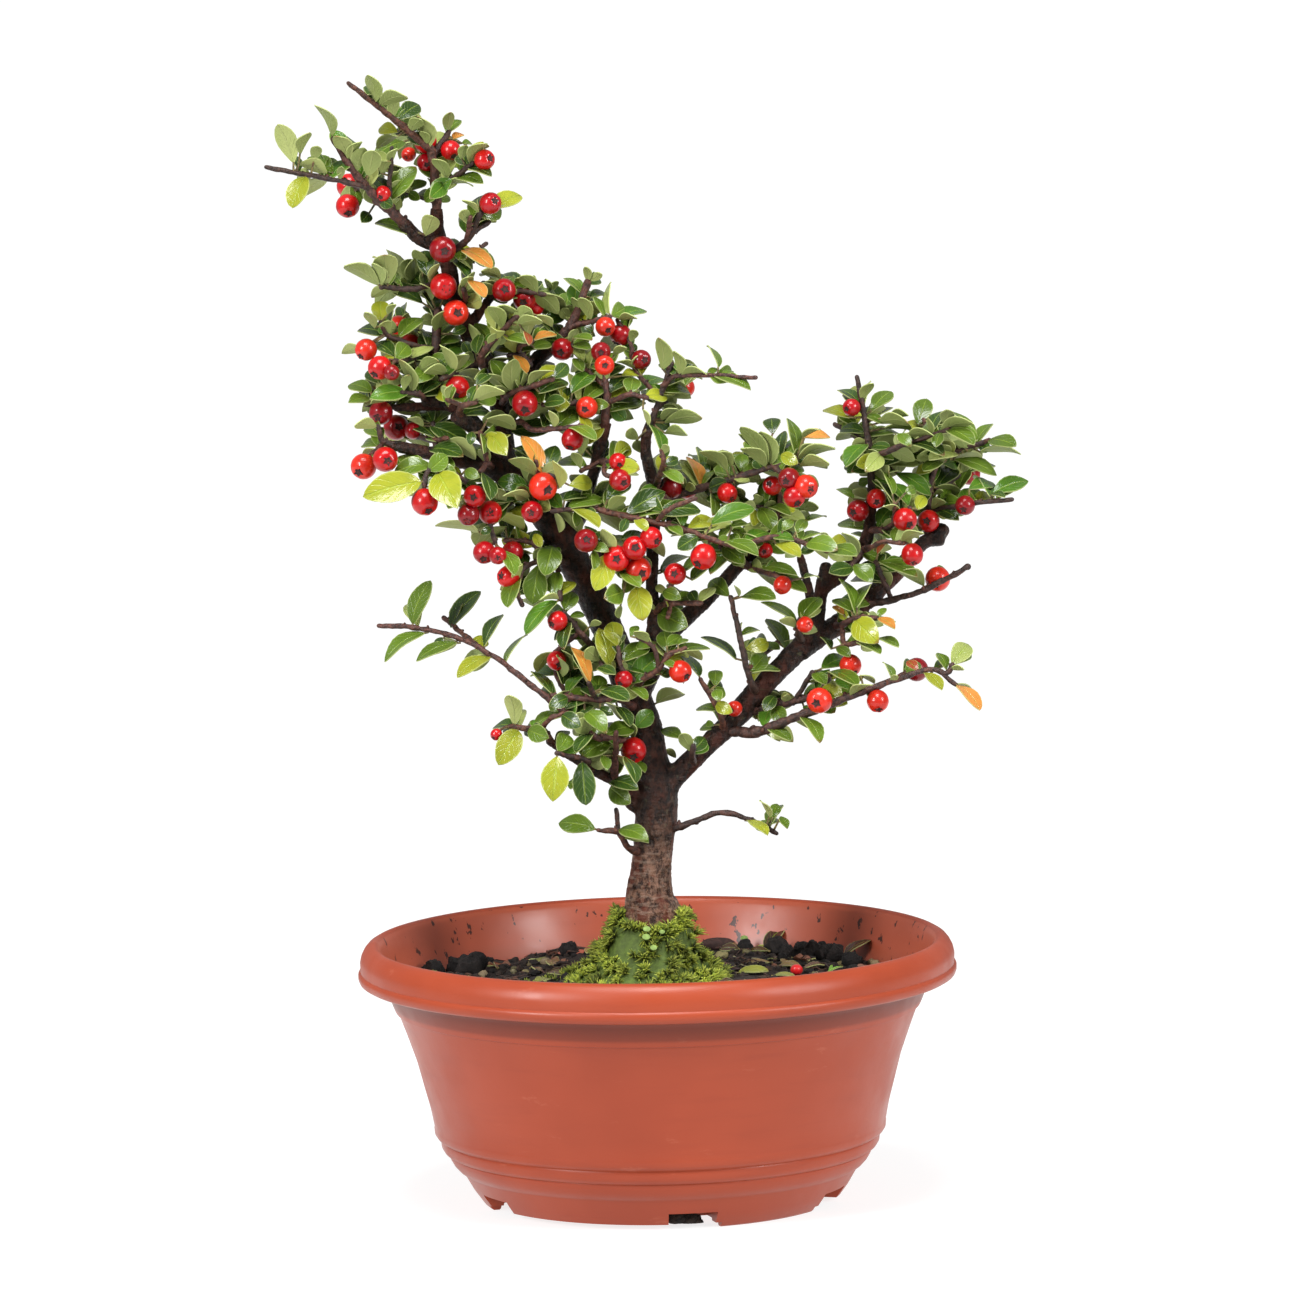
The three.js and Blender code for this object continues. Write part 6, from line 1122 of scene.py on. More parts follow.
def calyx():
    """Dry five-lobed star on the z end of a berry of radius 1: points and faces."""
    points = [(0, 0, 0.84), (0, 0, 0.6)]
    for k in range(10):
        angle = math.pi * k / 5 + draw.uniform(-0.16, 0.16)
        reach = draw.uniform(0.3, 0.46) if k % 2 == 0 else draw.uniform(0.18, 0.27)
        x, y = reach * math.cos(angle), reach * math.sin(angle)
        points += [(x, y, 0.99 if k % 2 == 0 else 0.9), (x * 0.95, y * 0.95, 0.72)]
    faces = []
    for k in range(10):
        a, b = 2 + 2 * k, 2 + 2 * ((k + 1) % 10)
        faces += [(0, a, b), (1, b + 1, a + 1), (a, a + 1, b + 1, b)]
    return np.array(points), faces


BERRY_TONES = [(180, 10, 16), (192, 16, 18), (160, 6, 18), (130, 5, 16), (208, 40, 22)]


def add_berry(name, foot, centre, radius, toward):
    """Berry with its dry calyx, on a stalk from its shoot."""
    global taken
    root = place(foot)
    face = unit(unit(centre - root) * 0.7 + toward)
    points, faces = globe(20, 14)
    polar = np.arccos(np.clip(points[:, 2], -1, 1))
    lobes = np.cos(5 * np.arctan2(points[:, 1], points[:, 0])) * np.exp(-((polar - 0.5) / 0.3) ** 2)
    swell = 1 - 0.22 * np.exp(-(polar / 0.3) ** 2) + 0.03 * lobes
    points = points * swell[:, None] * [1, 1, draw.uniform(0.98, 1.08)] * radius
    turn = turn_to(face, draw.uniform(0, 6))
    build = berry_builds[bough_of[name]]
    build.add(points @ turn.T + centre, faces, 0, colour(*draw.choice(BERRY_TONES)))
    star, faces = calyx()
    shade = np.full((len(star), 3), 0.012)
    shade[:2] = colour(96, 40, 30)
    build.add(star * radius @ turn.T + centre, faces, 1, shade)
    taken = np.vstack([taken, [centre + face * radius * 0.7, centre - face * radius * 0.7, centre]])
    for dx in np.arange(-radius, radius + 0.1, 0.8):
        for dz in np.arange(-radius, radius + 0.1, 0.8):
            if dx * dx + dz * dz < radius * radius:
                cover(centre + [dx, 0, dz])
    back = centre - face * radius * 0.85
    if np.linalg.norm(back - root) > 0.5:
        path, radii = spline([root, (root + back) / 2 + [0, 0, 0.4], back], [0.5, 0.42, 0.5], 1)
        shoot_builds[bough_of[name]].add(*tube(path, radii, 6, False), 0, colour(112, 84, 48))


for x, z, radius in BERRIES:
    distance, name, foot = nearest_stem(x, z)
    nearer = math.sqrt(radius ** 2 - distance ** 2) * 0.8 if distance < radius else 1.5
    centres = [place([x, foot[1] - nearer + shift, z]) for shift in (0, -2, 2, -4, 4, -6, 6)]
    fits = [(abs(to_corners(name, c) - radius * 1.08) < 0.06).sum() for c in centres]
    free = [c for c in centres if not in_wood([c], radius) and room([c]) > radius + 2]
    centre = centres[int(np.argmax(fits))] if max(fits) >= 5 else (free or centres)[0]
    toward = np.array([draw.uniform(-0.5, 0.5), -0.75, draw.uniform(-0.7, 0.2)])
    add_berry(name, foot, centre, radius, toward)

# Leaves of the table, those of the source first
waiting = []
for row in sorted(LEAVES, key=lambda row: -math.hypot(row[0] - row[2], row[1] - row[3]) * abs(row[4])):
    distance, name, foot = nearest_stem(row[0], row[1])
    leaf = in_source(name, row, distance, foot)
    if leaf:
        keep(name, leaf, row[5])
    else:
        waiting.append((name, row, distance, foot))

state = SEED


def step():
    """The source's seeded draw, from 0 to 1."""
    global state
    state = (state * 1664525 + 1013904223) % 2 ** 32
    return state / 2 ** 32


# Leaves that the source adds on the far side
for name, twigs in SPRAYS.items():
    for twig in twigs:
        for x, y, z, _ in twig[1:]:
            turn = (step() - 0.5) * 2.4
            reach = 5 + 4 * step()
            row = [x, z, x + reach * math.sin(turn), z + reach * math.cos(turn), 5.5]
            if step() < FAR_SHARE:
                leaf = in_source(name, row, 0, [x, y, z])
                if leaf:
                    keep(name, leaf, "M")

# Leaves of the table that the source lacks, each at the depth that has the most room
for name, row, distance, foot in waiting:
    best, widest = None, -1
    for shift in SHIFTS:
        leaf = leaf_frame(row, distance, foot, shift)
        points = leaf_points(leaf)
        clear = 0 if in_wood(points[1:]) else room(points)
        if clear > widest:
            best, widest = leaf, clear
        if clear > 1.1:
            break
    keep(name, best, row[5])

# Berries on the far side, where the front view hides them
for name, twigs in SPRAYS.items():
    for twig in twigs:
        foot = draw.choice(twig[1:])[:3]
        radius = draw.uniform(2.9, 3.9)
        centre = place(foot) + [draw.uniform(-1.5, 1.5), radius + draw.uniform(0.5, 3), draw.uniform(-3, 1)]
        hidden = covered.get(cell(centre), math.inf) < foot[1]
        free = hidden and not in_wood([centre], radius + 0.4) and room([centre]) > radius + 2.2
        if free and draw.random() < 0.5:
            toward = np.array([draw.uniform(-0.6, 0.6), 0.5, draw.uniform(-0.7, 0.2)])
            add_berry(name, foot, centre, radius, toward)

# Leaves for the sides and the back, which the front view hides, and those that fill the foliage
# where the front view shows no gaps: ellipses x, z and half sizes
CLOSED = [[-45, 236, 42, 44], [10, 207, 42, 19], [80, 222, 25, 17], [-14, 152, 15, 26], [-70, 312, 20, 13],
          [-62, 275, 22, 14], [55, 195, 26, 16]]
TRIES, TRY_SPACING = 8, 2.4
front = dict(covered)


def in_closed(point):
    x, z = cell(point)
    return any(((x - a) / c) ** 2 + ((z - b) / d) ** 2 < 1 for a, b, c, d in CLOSED)


for name, twigs in SPRAYS.items():
    for twig in twigs:
        for a, b in zip(twig, twig[1:]):
            count = max(1, round(math.dist(a[:3], b[:3]) / TRY_SPACING))
            for k in range(count * TRIES):
                t = (k % count + draw.random()) / count
                foot = [a[i] + (b[i] - a[i]) * t for i in range(3)]
                turn, reach = draw.uniform(-2.4, 2.4), draw.uniform(4, 10)
                row = [foot[0], foot[2], foot[0] + reach * math.sin(turn), foot[2] + reach * math.cos(turn),
                       draw.choice([-1, 1, 1]) * draw.uniform(2.2, 5.5)]
                leaf = leaf_frame(row, 0, foot, draw.uniform(-5, 8))
                points = leaf_points(leaf)
                # These leaves lie deep in the foliage, so the dark tone D, painted shade, is drawn often
                tone = draw.choice("MMMDDDGGPY")
                hidden = sum(front.get(cell(p), math.inf) < p[1] for p in points) >= len(points) - 1
                filler = all(in_closed(p) and front.get(cell(p), -math.inf) < p[1] for p in points)
                if (hidden or filler) and not in_wood(points) and room(points) > 1.0:
                    keep(name, leaf, tone)

# Shoots with their buds
YOUNG = [(96, 56, 46), (80, 50, 40), (68, 44, 35), (104, 62, 46)]
for name, twigs in SPRAYS.items():
    build = shoot_builds[bough_of[name]]
    for twig in twigs:
        path, radii = spline([place(p) for p in twig], [p[3] for p in twig], 1.1)
        radii = radii * (0.94 + 0.3 * np.array([noise.noise(Vector(p) * 0.6) for p in path]))
        path[1:-1] = wobble(path[1:-1], 0.35, 0.35, 1)
        build.add(*tube(path, radii, 8), 0, colour(*draw.choice(YOUNG)))
        for i in range(3, len(path) - 1, draw.choice([4, 5, 6])):
            out = unit(np.array([draw.uniform(-1, 1), draw.uniform(-1, 1), draw.uniform(-0.2, 1)]))
            points, faces = globe(7, 5)
            turn = turn_to(unit(out + unit(path[i + 1] - path[i]) * 0.8))
            points = points * [0.5, 0.5, 0.95] * radii[i] * 1.1
            build.add(points @ turn.T + path[i] + out * radii[i] * 0.85, faces, 0, colour(92, 52, 40))

for bough in shoot_builds:
    nodes = [name for name in SPRAYS if bough_of[name] == bough]
    shoot_builds[bough].make("shoots_" + bough, [SHOOT], "bark", nodes)
    if berry_builds[bough].count:
        berry_builds[bough].make("berries_" + bough, [BERRY, HUSK], "berry", nodes, 0.7)
for name, build in leaf_builds.items():
    if build.count:
        build.make(name.replace("spray", "leaves"), [LEAF, UNDER, SHOOT], "foliage", [name])

# Trunk and limbs: round stems run together into one skin, then knotted and fissured
KNOTS = [[3.2, -3.6, 102.5, 1.7], [-0.5, -5.6, 95, 1.7], [-1.5, -6.4, 91, 1.4], [1.5, -4.6, 112.5, 1.6],
         [-6.5, -1, 120, 2.4], [5.5, -1, 124, 2.2], [12, -5, 135.5, 1.8], [34.5, 1, 158.5, 2.6],
         [-4, -4, 128, 1.8], [27, -3, 148.5, 1.6], [88, 19.5, 198.5, 2.6]]
SKIN_GRAIN = 0.68
build = Build()
for limb in LIMBS:
    path, radii = spline([place(p) for p in limb], [p[3] for p in limb], 2)
    bumps = np.array([noise.noise(Vector(p) * 0.11) for p in path])
    build.add(*tube(path, radii * (1 + 0.07 * bumps) + 0.12, 24, False))
for x, y, z, r in KNOTS:
    points, faces = globe(16, 10)
    build.add(wobble(points * r, 0.25 * r, 0.5, r) + [x, y, z], faces)
wood = build.make("bark_trunk_and_limbs", [BARK], "bark", ["trunk_and_limbs"], 0)
remesh = wood.modifiers.new("skin", "REMESH")
remesh.mode, remesh.voxel_size = "VOXEL", SKIN_GRAIN * MM
smooth = wood.modifiers.new("round", "SMOOTH")
smooth.factor, smooth.iterations = 0.5, 4
skin = bake(wood, BARK)
co, normals = (np.zeros(len(skin.vertices) * 3, np.float32) for _ in range(2))
skin.vertices.foreach_get("co", co)
skin.vertex_normals.foreach_get("vector", normals)
push = []
for x, y, z in (co.reshape(-1, 3) / MM).tolist():
    coarse = noise.noise(Vector((x, y, z * 0.6)) * 0.22)
    furrow = abs(noise.noise(Vector((x, y, z * 0.35)) * 0.6 + Vector((5, 5, 5))))
    scale = noise.noise(Vector((x, y, z)) * 1.1)
    push.append(0.35 * coarse - 0.225 * max(0, 1 - furrow / 0.22) + 0.16 * scale)
co += normals * np.repeat(np.array(push, np.float32) * MM, 3)
skin.vertices.foreach_set("co", co)
skin.shade_smooth()

# Bowl: a turned wall with its ridges; the feet and notches are cut out of the foot ring
OUTSIDE = [
    (0, 2.3), (30, 2.3), (50.5, 2.3), (51, 0.4), (51.4, 0), (53.2, 0), (53.8, 0.5), (56.7, 4.5), (59.6, 9.5),
    (59.9, 9.9), (61.1, 10.5), (62.5, 12), (63.4, 13.6), (63.9, 14.8), (63.8, 15.2), (64.2, 15.4), (65.3, 16),
    (66, 17.2), (66.2, 18.8), (66, 19.5), (66.2, 19.8), (67.3, 20.3), (68, 21.4), (68.1, 22.8), (68, 23.4),
    (69.1, 29), (71, 36.2), (73, 43.9), (75.6, 51.4), (78, 57.9), (78.4, 58.6), (79, 58.8), (79.3, 59.4),
    (80.2, 61.6), (81.2, 64.4), (82, 66), (82.8, 66.5), (86.6, 66.9), (88.6, 67.2), (89.6, 67.8), (90, 68.8),
    (90, 69.9), (89.7, 70.5), (89.3, 70.8), (89.3, 71.2), (89.4, 73.4), (89, 75.2), (88.2, 76.8), (87.2, 78),
    (86, 78.7), (84.8, 78.7), (83.8, 78), (83, 76.6), (81.7, 72.4), (80, 66.4), (78.3, 62.5), (76.2, 58.6),
    (71, 43.9), (65.8, 22.2), (60, 12), (54, 5.2), (52, 4.5), (30, 4.5), (0, 4.5),
]
FEET = [38, 156, 270]
FOOT_HALF, NOTCH, NOTCH_INSET, NOTCH_HEIGHT, SKIRT = 19, 15, 2, 5.2, 1.5


def sector(build, start, end, inner, outer, top):
    """Block between two angles, from well under the floor to top. Angles run from the front to +X."""
    steps = max(2, round(end - start))
    points, faces = [], []
    for i in range(steps + 1):
        angle = math.radians(start + (end - start) * i / steps - 90)
        for radius in (inner, outer):
            for z in (-4, top):
                points.append((radius * math.cos(angle), radius * math.sin(angle), z))
    for i in range(steps):
        a, b = i * 4, i * 4 + 4
        faces += [(a, a + 2, b + 2, b), (a + 1, b + 1, b + 3, a + 3), (a + 2, a + 3, b + 3, b + 2),
                  (a, b, b + 1, a + 1)]
    faces += [(0, 1, 3, 2), (steps * 4, steps * 4 + 2, steps * 4 + 3, steps * 4 + 1)]
    build.add(points, faces)


def outward(mesh):
    edit = bmesh.new()
    edit.from_mesh(mesh)
    bmesh.ops.recalc_face_normals(edit, faces=edit.faces)
    edit.to_mesh(mesh)
    edit.free()


build = Build()
build.add(*turned(OUTSIDE, 224))
bowl = build.make("bowl_clay", [CLAY], "terracotta", ["bowl"], 0.7)
skirts, notches = Build(), Build()
for foot, following in zip(FEET, FEET[1:] + [FEET[0] + 360]):
    start, end = foot + FOOT_HALF, following - FOOT_HALF
    sector(skirts, start, end, 30, 75, SKIRT)
    sector(notches, start + NOTCH_INSET, start + NOTCH_INSET + NOTCH, 46, 70, NOTCH_HEIGHT)
    sector(notches, end - NOTCH_INSET - NOTCH, end - NOTCH_INSET, 46, 70, NOTCH_HEIGHT)
for tool in (skirts, notches):
    mesh = tool.mesh("tool")
    outward(mesh)
    cutter = in_scene(bpy.data.objects.new("tool", mesh))
    cut = bowl.modifiers.new("cut", "BOOLEAN")
    cut.operation, cut.object, cut.solver = "DIFFERENCE", cutter, "EXACT"
    mesh = bake(bowl, CLAY)
    bpy.data.objects.remove(cutter)
mesh.polygons.foreach_set("material_index", [0] * len(mesh.polygons))
mesh.shade_smooth()
mesh.set_sharp_from_angle(angle=0.7)


# Soil
def soil_top(x, y):
    """Height of the soil's smooth top."""
    radius = math.hypot(x, y)
    level = np.interp(radius, [0, 27, 60, 78], [66.5, 66.5, 64, 63.4])
    relief = math.sin(x / 7 + 1) * math.cos(y / 6) + 0.6 * math.sin((x + y) / 4)
    rough = noise.noise(Vector((x, y, 0)) * 0.35) * 0.9 + noise.noise(Vector((x, y, 4)) * 1.1) * 0.5
    return float(level + relief * min(max((radius - 27) / 33, 0), 1) + rough * min(radius / 20, 1))


rings = [(0, 4.8), (51.6, 4.8), (65.3, 22.2), (70.5, 43.9), (75.7, 58.6), (77.4, 62.4)]
rings += [(r, 63.5) for r in np.linspace(77.8, 1.2, 62)] + [(0, 66.5)]
points, faces = turned(rings, 150)
for p in points:
    if p[2] > 63 and math.hypot(p[0], p[1]) < 78:
        p[2] = soil_top(p[0], p[1])
build = Build()
build.add(points, faces, 0, colour(48, 34, 28))
# Plug of soil in one notch of the foot
for k in range(16):
    angle = math.radians(3.6 + 8.2 * k / 15)
    points, faces = globe(18, 12)
    points = wobble(points, 0.4, 1.3, 3 + k) * draw.uniform(1.7, 2.4)
    points = points + [50.4 * math.sin(angle), -50.4 * math.cos(angle), draw.uniform(2.2, 4) - 0.12 * k]
    points[:, 2] = np.clip(points[:, 2], 1.25, 5.1)
    build.add(points, faces, 0, colour(*draw.choice([(34, 25, 20), (48, 36, 28), (26, 20, 17)])))
build.make("soil_peat", [EARTH], "soil", ["soil"], 0)


def grain(build, x, y, radius, tone, squash=0.7, sink=0.35):
    """Lump that lies on the soil."""
    seed = draw.random() * 40
    columns = 20 if radius > 2.4 else 8
    points, faces = globe(columns, columns * 2 // 3)
    points = wobble(wobble(points, 0.42, 1.1, seed), 0.2, 3.1, seed)
    points = points @ turn_to(unit(np.array([draw.uniform(-1, 1), draw.uniform(-1, 1), 1.5]))).T
    points = points * [radius, radius * draw.uniform(0.6, 1), radius * squash]
    spin = draw.uniform(0, 3.1)
    turn = np.array([[math.cos(spin), -math.sin(spin), 0], [math.sin(spin), math.cos(spin), 0], [0, 0, 1]])
    points = points @ turn.T + [x, y, soil_top(x, y) + radius * squash * (1 - 2 * sink)]
    build.add(points, faces, 0, tone)


def somewhere(inner=21, outer=75):
    """Random place on the soil, between two radii."""
    radius, angle = math.sqrt(draw.uniform(inner ** 2, outer ** 2)), draw.uniform(0, 2 * math.pi)
    return radius * math.cos(angle) + TRUNK_X, radius * math.sin(angle)


PEAT = [(38, 27, 23), (54, 38, 30), (26, 20, 18), (70, 52, 40), (46, 33, 26)]
LUMP_TONES = [(24, 18, 17), (32, 24, 21)]
LUMPS = [(-67, 31.6, 4.4), (-57, 30.4, 5.2), (-60, 36, 4), (49.2, 43.3, 5), (46, 47, 4.4), (53, 40, 3.6),
         (35, 62, 3.6), (39, 58, 3), (60, 36, 3.8), (26, 60, 2.8), (-50, -30, 4), (-22, -58, 3.4),
         (15, -62, 4.2), (55, -28, 3.4), (-64, -8, 3.2), (66, -4, 3), (-28, 62, 3), (2, 66, 3.2)]
CRUMB_COUNT, PEBBLE_COUNT = 900, 120
crumbs = Build()
for _ in range(CRUMB_COUNT):
    x, y = somewhere()
    radius, tone = draw.choice([0.6, 0.8, 1, 1.3, 1.8]), colour(*draw.choice(PEAT))
    grain(crumbs, x, y, radius, tone, draw.uniform(0.5, 0.9))
for x, y, radius in LUMPS:
    for _ in range(3):
        dx, dy = draw.uniform(-1, 1) * radius * 0.5, draw.uniform(-1, 1) * radius * 0.4
        size, tone = radius * draw.uniform(0.6, 0.9), colour(*draw.choice(LUMP_TONES))
        grain(crumbs, x + dx, y + dy, size, tone, 0.95, 0.1)
crumbs.make("soil_crumbs", [EARTH], "soil", (), 0.5)

PEBBLES = [(65.8, 36.6, 2.2, (150, 126, 88)), (42.7, 53.9, 1.9, (166, 150, 96)),
           (-40.6, 53.9, 2, (122, 112, 70)), (-68, 26, 1.8, (104, 124, 62)), (-53, 24.1, 1.6, (140, 122, 92)),
           (20, 50, 2.2, (150, 140, 92)), (30, 38, 2.4, (128, 124, 98)), (12, 40, 1.8, (140, 96, 70)),
           (62, 20, 1.7, (134, 92, 74)), (-34, 40, 1.7, (136, 118, 90))]
PEBBLE_TONES = [(142, 128, 84), (112, 98, 66), (132, 84, 62), (158, 148, 112), (104, 96, 60)]
pebbles = Build()
for x, y, radius, tone in PEBBLES:
    grain(pebbles, x, y, radius, colour(*tone), 0.75, 0.2)
for _ in range(PEBBLE_COUNT):
    x, y = somewhere(26, 73)
    tone = colour(*draw.choice(PEBBLE_TONES))
    grain(pebbles, x, y, draw.uniform(0.7, 1.6), tone, 0.7, 0.25)
pebbles.make("pebbles", [STONE], "soil", (), 0.6)

# Litter: curled leaves, bits of stalk and twigs on the soil
LITTER = [(120, 78, 52), (88, 54, 38), (140, 108, 66), (66, 42, 32), (124, 122, 58), (96, 60, 46)]
TWIGS = [(44, 30, 24), (66, 44, 34), (96, 66, 48)]
LEAF_COUNT, TWIG_COUNT = 90, 170
litter = Build()


def lying_leaf(x, y, length, width, angle, tone, tilt=0.0):
    base = np.array([x, y, soil_top(x, y)])
    axis = unit(np.array([math.cos(angle), math.sin(angle), tilt]))
    up = unit(np.array([draw.uniform(-0.3, 0.3), draw.uniform(-0.5, 0.1), 1.0]))
    up = unit(up - axis * up.dot(axis))
    add_leaf(litter, leaf_axes(base, base, axis, up, length, width), colour(*tone))
    blade, stalk = litter.points[-2:]
    above = min(p[2] - soil_top(p[0], p[1]) for p in [*blade, *stalk])
    for points in (blade, stalk):
        points[:, 2] -= above + 0.25


lying_leaf(56.5, 44, 11, 6.5, 0.4, (78, 44, 34), 0.5)
lying_leaf(33, 66, 12, 6, 0.9, (52, 32, 26), 0.6)
lying_leaf(23.6, 5.6, 10, 5, 0.1, (142, 142, 52))
lying_leaf(30, 59, 6, 4.2, 0.5, (150, 156, 70))
lying_leaf(50, 17, 8, 1.2, 0.6, (120, 168, 60), 0.3)
lying_leaf(52, 17, 7, 1.1, 1.4, (130, 176, 66), 0.5)
for _ in range(LEAF_COUNT):
    x, y = somewhere(24, 70)
    lying_leaf(x, y, draw.uniform(4, 9), draw.uniform(2, 4.5), draw.uniform(0, 6.3), draw.choice(LITTER))
for _ in range(TWIG_COUNT):
    x, y = somewhere(22, 72)
    angle, length = draw.uniform(0, 6.3), draw.uniform(3, 13)
    run = []
    for t in np.linspace(0, 1, 5):
        a = x + math.cos(angle) * length * (t - 0.5) + draw.uniform(-0.5, 0.5)
        b = y + math.sin(angle) * length * (t - 0.5) + draw.uniform(-0.5, 0.5)
        if math.hypot(a, b) <= 75:
            run.append([a, b, soil_top(a, b) + draw.uniform(0.1, 1.1) + 1.2 * t * draw.random()])
    if len(run) > 2:
        path, radii = spline(run, np.linspace(0.34, 0.18, len(run)), 1)
        litter.add(*tube(path, radii, 5), 2, colour(*draw.choice(TWIGS)))
run = [[x, y, soil_top(x, y) + lift] for x, y, lift in [(-34, 66, 0.7), (-26, 70, 2.6), (-17, 69, 1.2)]]
path, radii = spline(run, [0.6, 0.5, 0.35], 1)
litter.add(*tube(path, radii, 6), 2, colour(74, 48, 36))
litter.make("litter_on_soil", [LEAF, UNDER, SHOOT], "foliage")

# Seed pod and fallen berry
for node, name, material, tone, slot in (("seed_pod", "pod_husk", HUSK, (62, 36, 30), "pod"),
                                         ("fallen_berry", "berry_fallen", BERRY, (206, 34, 36), "berry")):
    low, high = (np.array(corner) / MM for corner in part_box(node))
    points, faces = globe(28, 18)
    points = wobble(points * [1, 1, 0.9], 0.07, 1.2, 2)
    if node == "seed_pod":
        points[:, 2] -= 0.25 * np.exp(-(points[:, 1] / 0.14) ** 2) * (points[:, 2] > 0)
    points = (points - points.min(0)) / (points.max(0) - points.min(0)) * (high - low) + low
    build = Build()
    build.add(points, faces, 0, colour(*tone))
    build.make(name, [material], slot, [node], 0)

# Moss: a mound covered in short leafy stems, as radii and heights from the soil to the trunk
MOUND = [(24, 66.2), (21.5, 67.8), (18, 70.5), (15.6, 74), (14, 78), (12, 82), (10.6, 84.6), (9.2, 84.4)]
MOSSES = [(176, 186, 58), (160, 172, 48), (196, 204, 84), (126, 144, 40), (146, 160, 44), (102, 118, 34)]
# Numbers of tufts and of stems in each, on the mound and on the soil, and where the latter gather
MOUND_TUFTS, MOUND_STEMS = 340, 26
SOIL_TUFTS, SOIL_STEMS = 190, 13
FRONT_LEFT = math.radians(238)


def mound_point(angle, along, inset=0.0):
    """Point on the outside of the mound: along is 0 at the soil and 1 at the trunk."""
    at = along * (len(MOUND) - 1)
    i = min(int(at), len(MOUND) - 2)
    radius, z = (MOUND[i][k] + (MOUND[i + 1][k] - MOUND[i][k]) * (at - i) for k in (0, 1))
    x, y = math.cos(angle), math.sin(angle)
    rise = min(max((z - 70) / 14, 0), 1)
    lobe = noise.noise(Vector((x * 2.2, y * 2.2, z * 0.09))) * 0.24
    lobe += noise.noise(Vector((x, y, z * 0.1)) * 5) * 0.1
    lean = 0.24 if x < -0.3 else -0.12 if x > 0.3 else 0
    radius = max(8.8 + (radius - 8.8) * (1 + lobe + lean * (1 - along)) - inset, 8.75)
    z += rise * (4.4 * x * x - 1.8) + lobe * 3 * rise
    return np.array([TRUNK_X + radius * x, radius * y, z])


def spike(heart, grow, length, radii, shade, droop=0.0):
    """Leafy stem of moss, its foot darkened with painted shade."""
    tone = np.array(colour(*draw.choice(MOSSES))) * shade
    spine = np.array([heart, heart + grow * length * 0.6, heart + grow * length - [0, 0, droop * length]])
    points, faces = tube(spine, radii, 3, False)
    # Foot ring dimmed to a quarter: painted shade inside the tuft
    moss.add(points, faces, 0, np.repeat([0.25, 0.8, 1.15], 3)[:, None] * tone)


moss = Build()
turns, levels = 120, 26
angles = [2 * math.pi * k / turns for k in range(turns)]
points = [mound_point(angle, i / (levels - 1), 1.5) for i in range(levels) for angle in angles]
points += [(TRUNK_X + 8.7 * math.cos(angle), 8.7 * math.sin(angle), 67) for angle in angles]
faces = []
for i in range(levels + 1):
    for k in range(turns):
        a, b = i * turns, (i + 1) % (levels + 1) * turns
        j = (k + 1) % turns
        faces.append((a + k, a + j, b + j, b + k))
moss.add(points, faces, 0, colour(84, 104, 32))
for _ in range(MOUND_TUFTS):
    angle, along = draw.uniform(0, 2 * math.pi), draw.random() ** 1.5
    heart = mound_point(angle, along)
    beside = mound_point(angle + 0.02, along) - heart
    above = mound_point(angle, min(along + 0.03, 1)) - mound_point(angle, max(along - 0.03, 0))
    away = unit(np.cross(beside, above))
    heart = heart - away * 1.2
    shade = 0.95 + 0.6 * noise.noise(Vector(heart) * 0.14)
    size = draw.uniform(2.4, 4.4)
    for _ in range(MOUND_STEMS):
        grow = unit(away * 0.9 + np.array([draw.gauss(0, 0.55), draw.gauss(0, 0.55), draw.gauss(0.25, 0.5)]))
        spike(heart, grow, size * draw.uniform(0.75, 1.1), [0.24, 0.22, 0.05], shade, 0.12)
# Moss that creeps over the soil, mostly in front
for _ in range(SOIL_TUFTS):
    angle = draw.gauss(FRONT_LEFT, 0.75)
    radius = 19 + abs(draw.gauss(0, 1)) * 9
    x, y = TRUNK_X + radius * math.cos(angle), radius * math.sin(angle)
    if math.hypot(x, y) > 72:
        continue
    heart = np.array([x, y, soil_top(x, y) - 0.9])
    size = draw.uniform(1.5, 2.9)
    dull = draw.uniform(0.5, 1.0)
    for _ in range(SOIL_STEMS):
        grow = unit(np.array([draw.gauss(0, 0.7), draw.gauss(0, 0.7), 1]))
        spike(heart, grow, size * draw.uniform(0.7, 1.15), [0.28, 0.26, 0.06], dull)
moss.make("moss_tufts", [MOSS], "moss", ["moss"], 0)

# Small round leaves that grow through the moss, and one on the soil
sprouts = Build()
for x, z, size in [(-3, 84, 2.4), (-3.2, 80.4, 2.6), (-1, 77.4, 2.2), (1.6, 82, 1.8), (27, 70, 2.4)]:
    if x < 20:
        angle = math.atan2(-1, (x - TRUNK_X) * 0.06)
        foot = min((mound_point(angle, t) for t in np.linspace(0, 1, 60)), key=lambda p: abs(p[2] - z))
        foot[0] = x
        head = foot + [0, -2.2, 0.9]
    else:
        foot = np.array([x, 69, soil_top(x, 69)])
        head = foot + [0, 0, 4.5]
    stem = np.array([foot, (foot + head) / 2 + [0.2, 0, 0.4], head])
    sprouts.add(*tube(stem, [0.22, 0.2, 0.2], 5, False), 0, colour(120, 150, 70))
    points, faces = globe(14, 6)
    points = points * [size / 2, size / 2.3, 0.22]
    points[:, 2] += 0.06 * (points[:, 0] ** 2 + points[:, 1] ** 2)
    sprouts.add(points @ turn_to(unit(np.array([0.1, -1, 0.9]))).T + head, faces, 0, colour(138, 166, 84))
sprouts.make("sprouts_in_moss", [MOSS], "foliage", (), 0)


# Studio: white floor, soft light, the photograph's camera
def white(name, shade, roughness, glow):
    material = bpy.data.materials.new(name)
    material.use_nodes = True
    shader = material.node_tree.nodes["Principled BSDF"]
    shader.inputs["Base Color"].default_value = (shade, shade, shade, 1)
    shader.inputs["Roughness"].default_value = roughness
    shader.inputs["Emission Color"].default_value = (1, 1, 1, 1)
    shader.inputs["Emission Strength"].default_value = glow
    return material


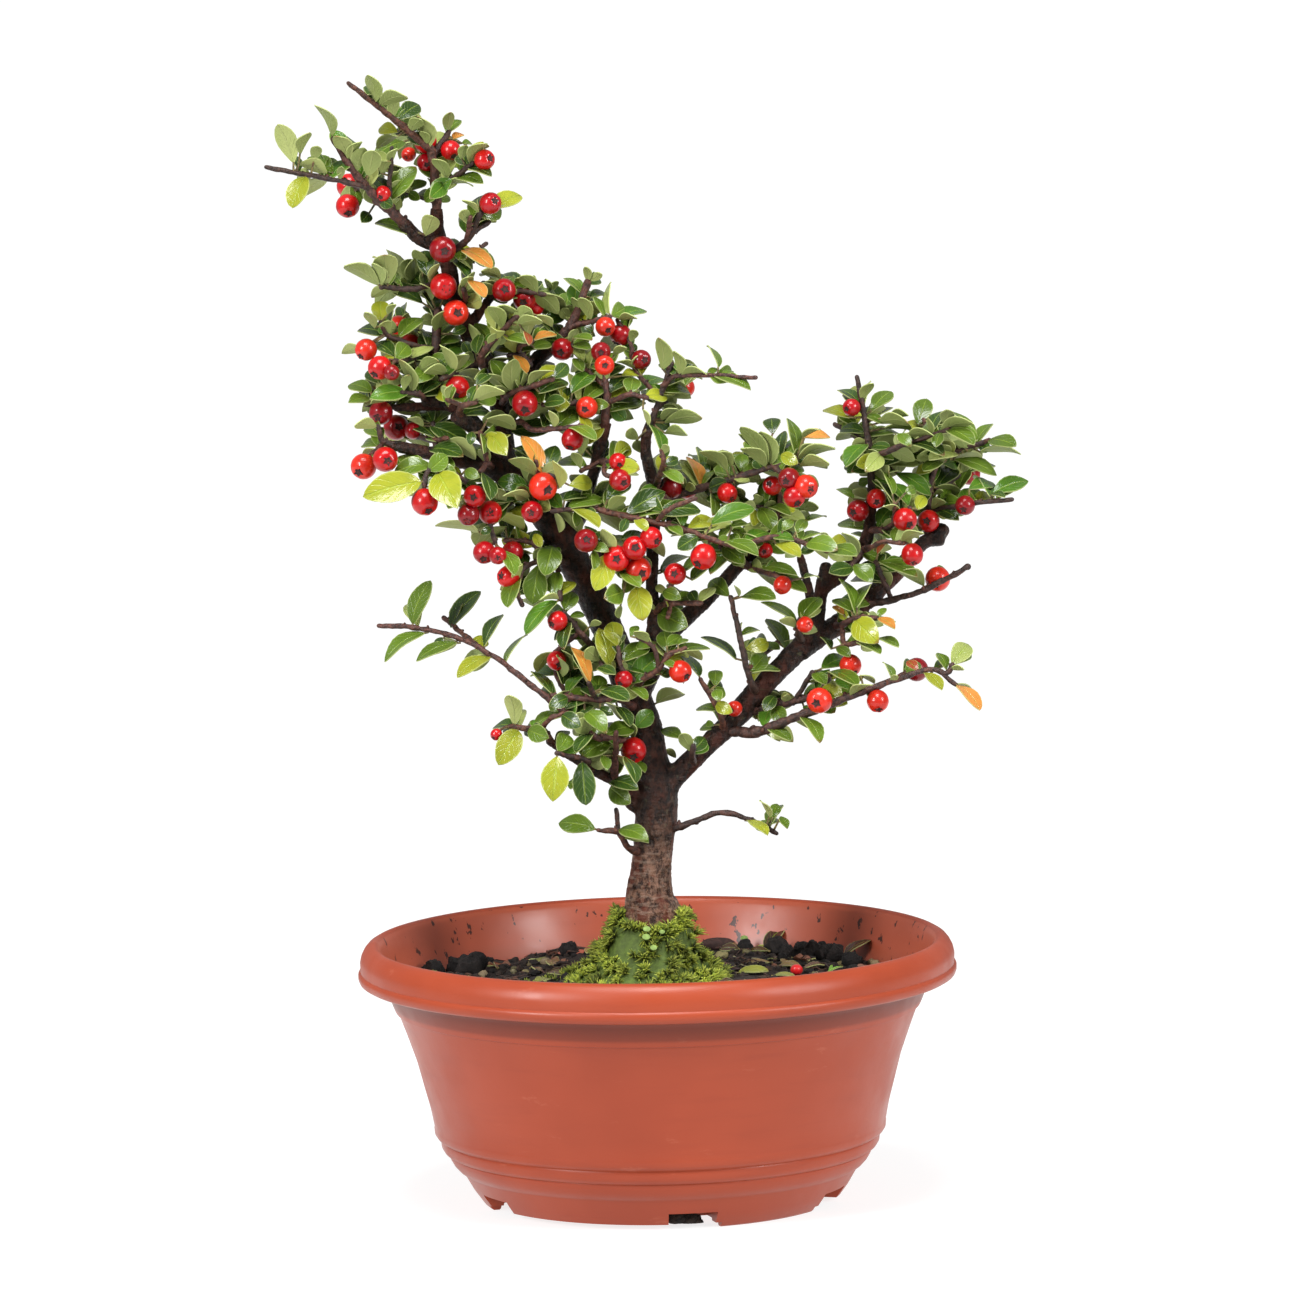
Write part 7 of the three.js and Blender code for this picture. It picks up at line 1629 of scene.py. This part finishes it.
floor_mesh = bpy.data.meshes.new("floor")
floor_mesh.from_pydata([(-0.9, -0.9, 0), (0.9, -0.9, 0), (0.9, 0.7, 0), (-0.9, 0.7, 0)], [], [(0, 1, 2, 3)])
floor_mesh.materials.append(white("floor_white", 0.25, 0.9, 0.8))
in_scene(bpy.data.objects.new("floor", floor_mesh))

# The sky that lights the scene, and the brighter one behind it
SKY_LIGHT, SKY_SEEN = 0.36, 1.05
world = bpy.data.worlds.new("studio")
bpy.context.scene.world = world
world.use_nodes = True
nodes, links = world.node_tree.nodes, world.node_tree.links
sky, seen = nodes["Background"], nodes.new("ShaderNodeBackground")
for background, strength in ((sky, SKY_LIGHT), (seen, SKY_SEEN)):
    background.inputs["Color"].default_value = (1, 1, 1, 1)
    background.inputs["Strength"].default_value = strength
rays, choose = nodes.new("ShaderNodeLightPath"), nodes.new("ShaderNodeMixShader")
for i, source in enumerate([rays.outputs["Is Camera Ray"], sky.outputs[0], seen.outputs[0]]):
    links.new(source, choose.inputs[i])
links.new(choose.outputs[0], nodes["World Output"].inputs["Surface"])


def lamp(name, where, target, width, height, power):
    light = bpy.data.lights.new(name, "AREA")
    light.shape, light.size, light.size_y, light.energy = "RECTANGLE", width, height, power
    thing = in_scene(bpy.data.objects.new(name, light))
    thing.location = where
    thing.rotation_euler = (Vector(target) - Vector(where)).to_track_quat("-Z", "Y").to_euler()


lamp("left", (-1.36, -1.22, 0.95), (0, 0, 0.14), 0.4, 0.8, 32)
lamp("right", (1.5, -1, 0.95), (0, 0, 0.14), 0.4, 0.8, 28)
lamp("top", (-0.1, -0.6, 1.9), (0, 0, 0.1), 0.8, 0.8, 34)
bpy.context.scene.view_settings.view_transform = "Standard"

EYE = (-0.000472, -2.6, 0.483115)
PITCH, ROLL = 0.1213, 0.0184
camera = bpy.data.cameras.new("camera")
camera.lens, camera.sensor_width = 242.15, 36
camera.clip_start, camera.clip_end = 0.1, 50
eye = in_scene(bpy.data.objects.new("camera", camera))
eye.matrix_world = (Matrix.Translation(EYE) @ Matrix.Rotation(math.pi / 2 - PITCH, 4, "X")
                    @ Matrix.Rotation(-ROLL, 4, "Z"))
bpy.context.scene.camera = eye

bpy.context.view_layer.update()
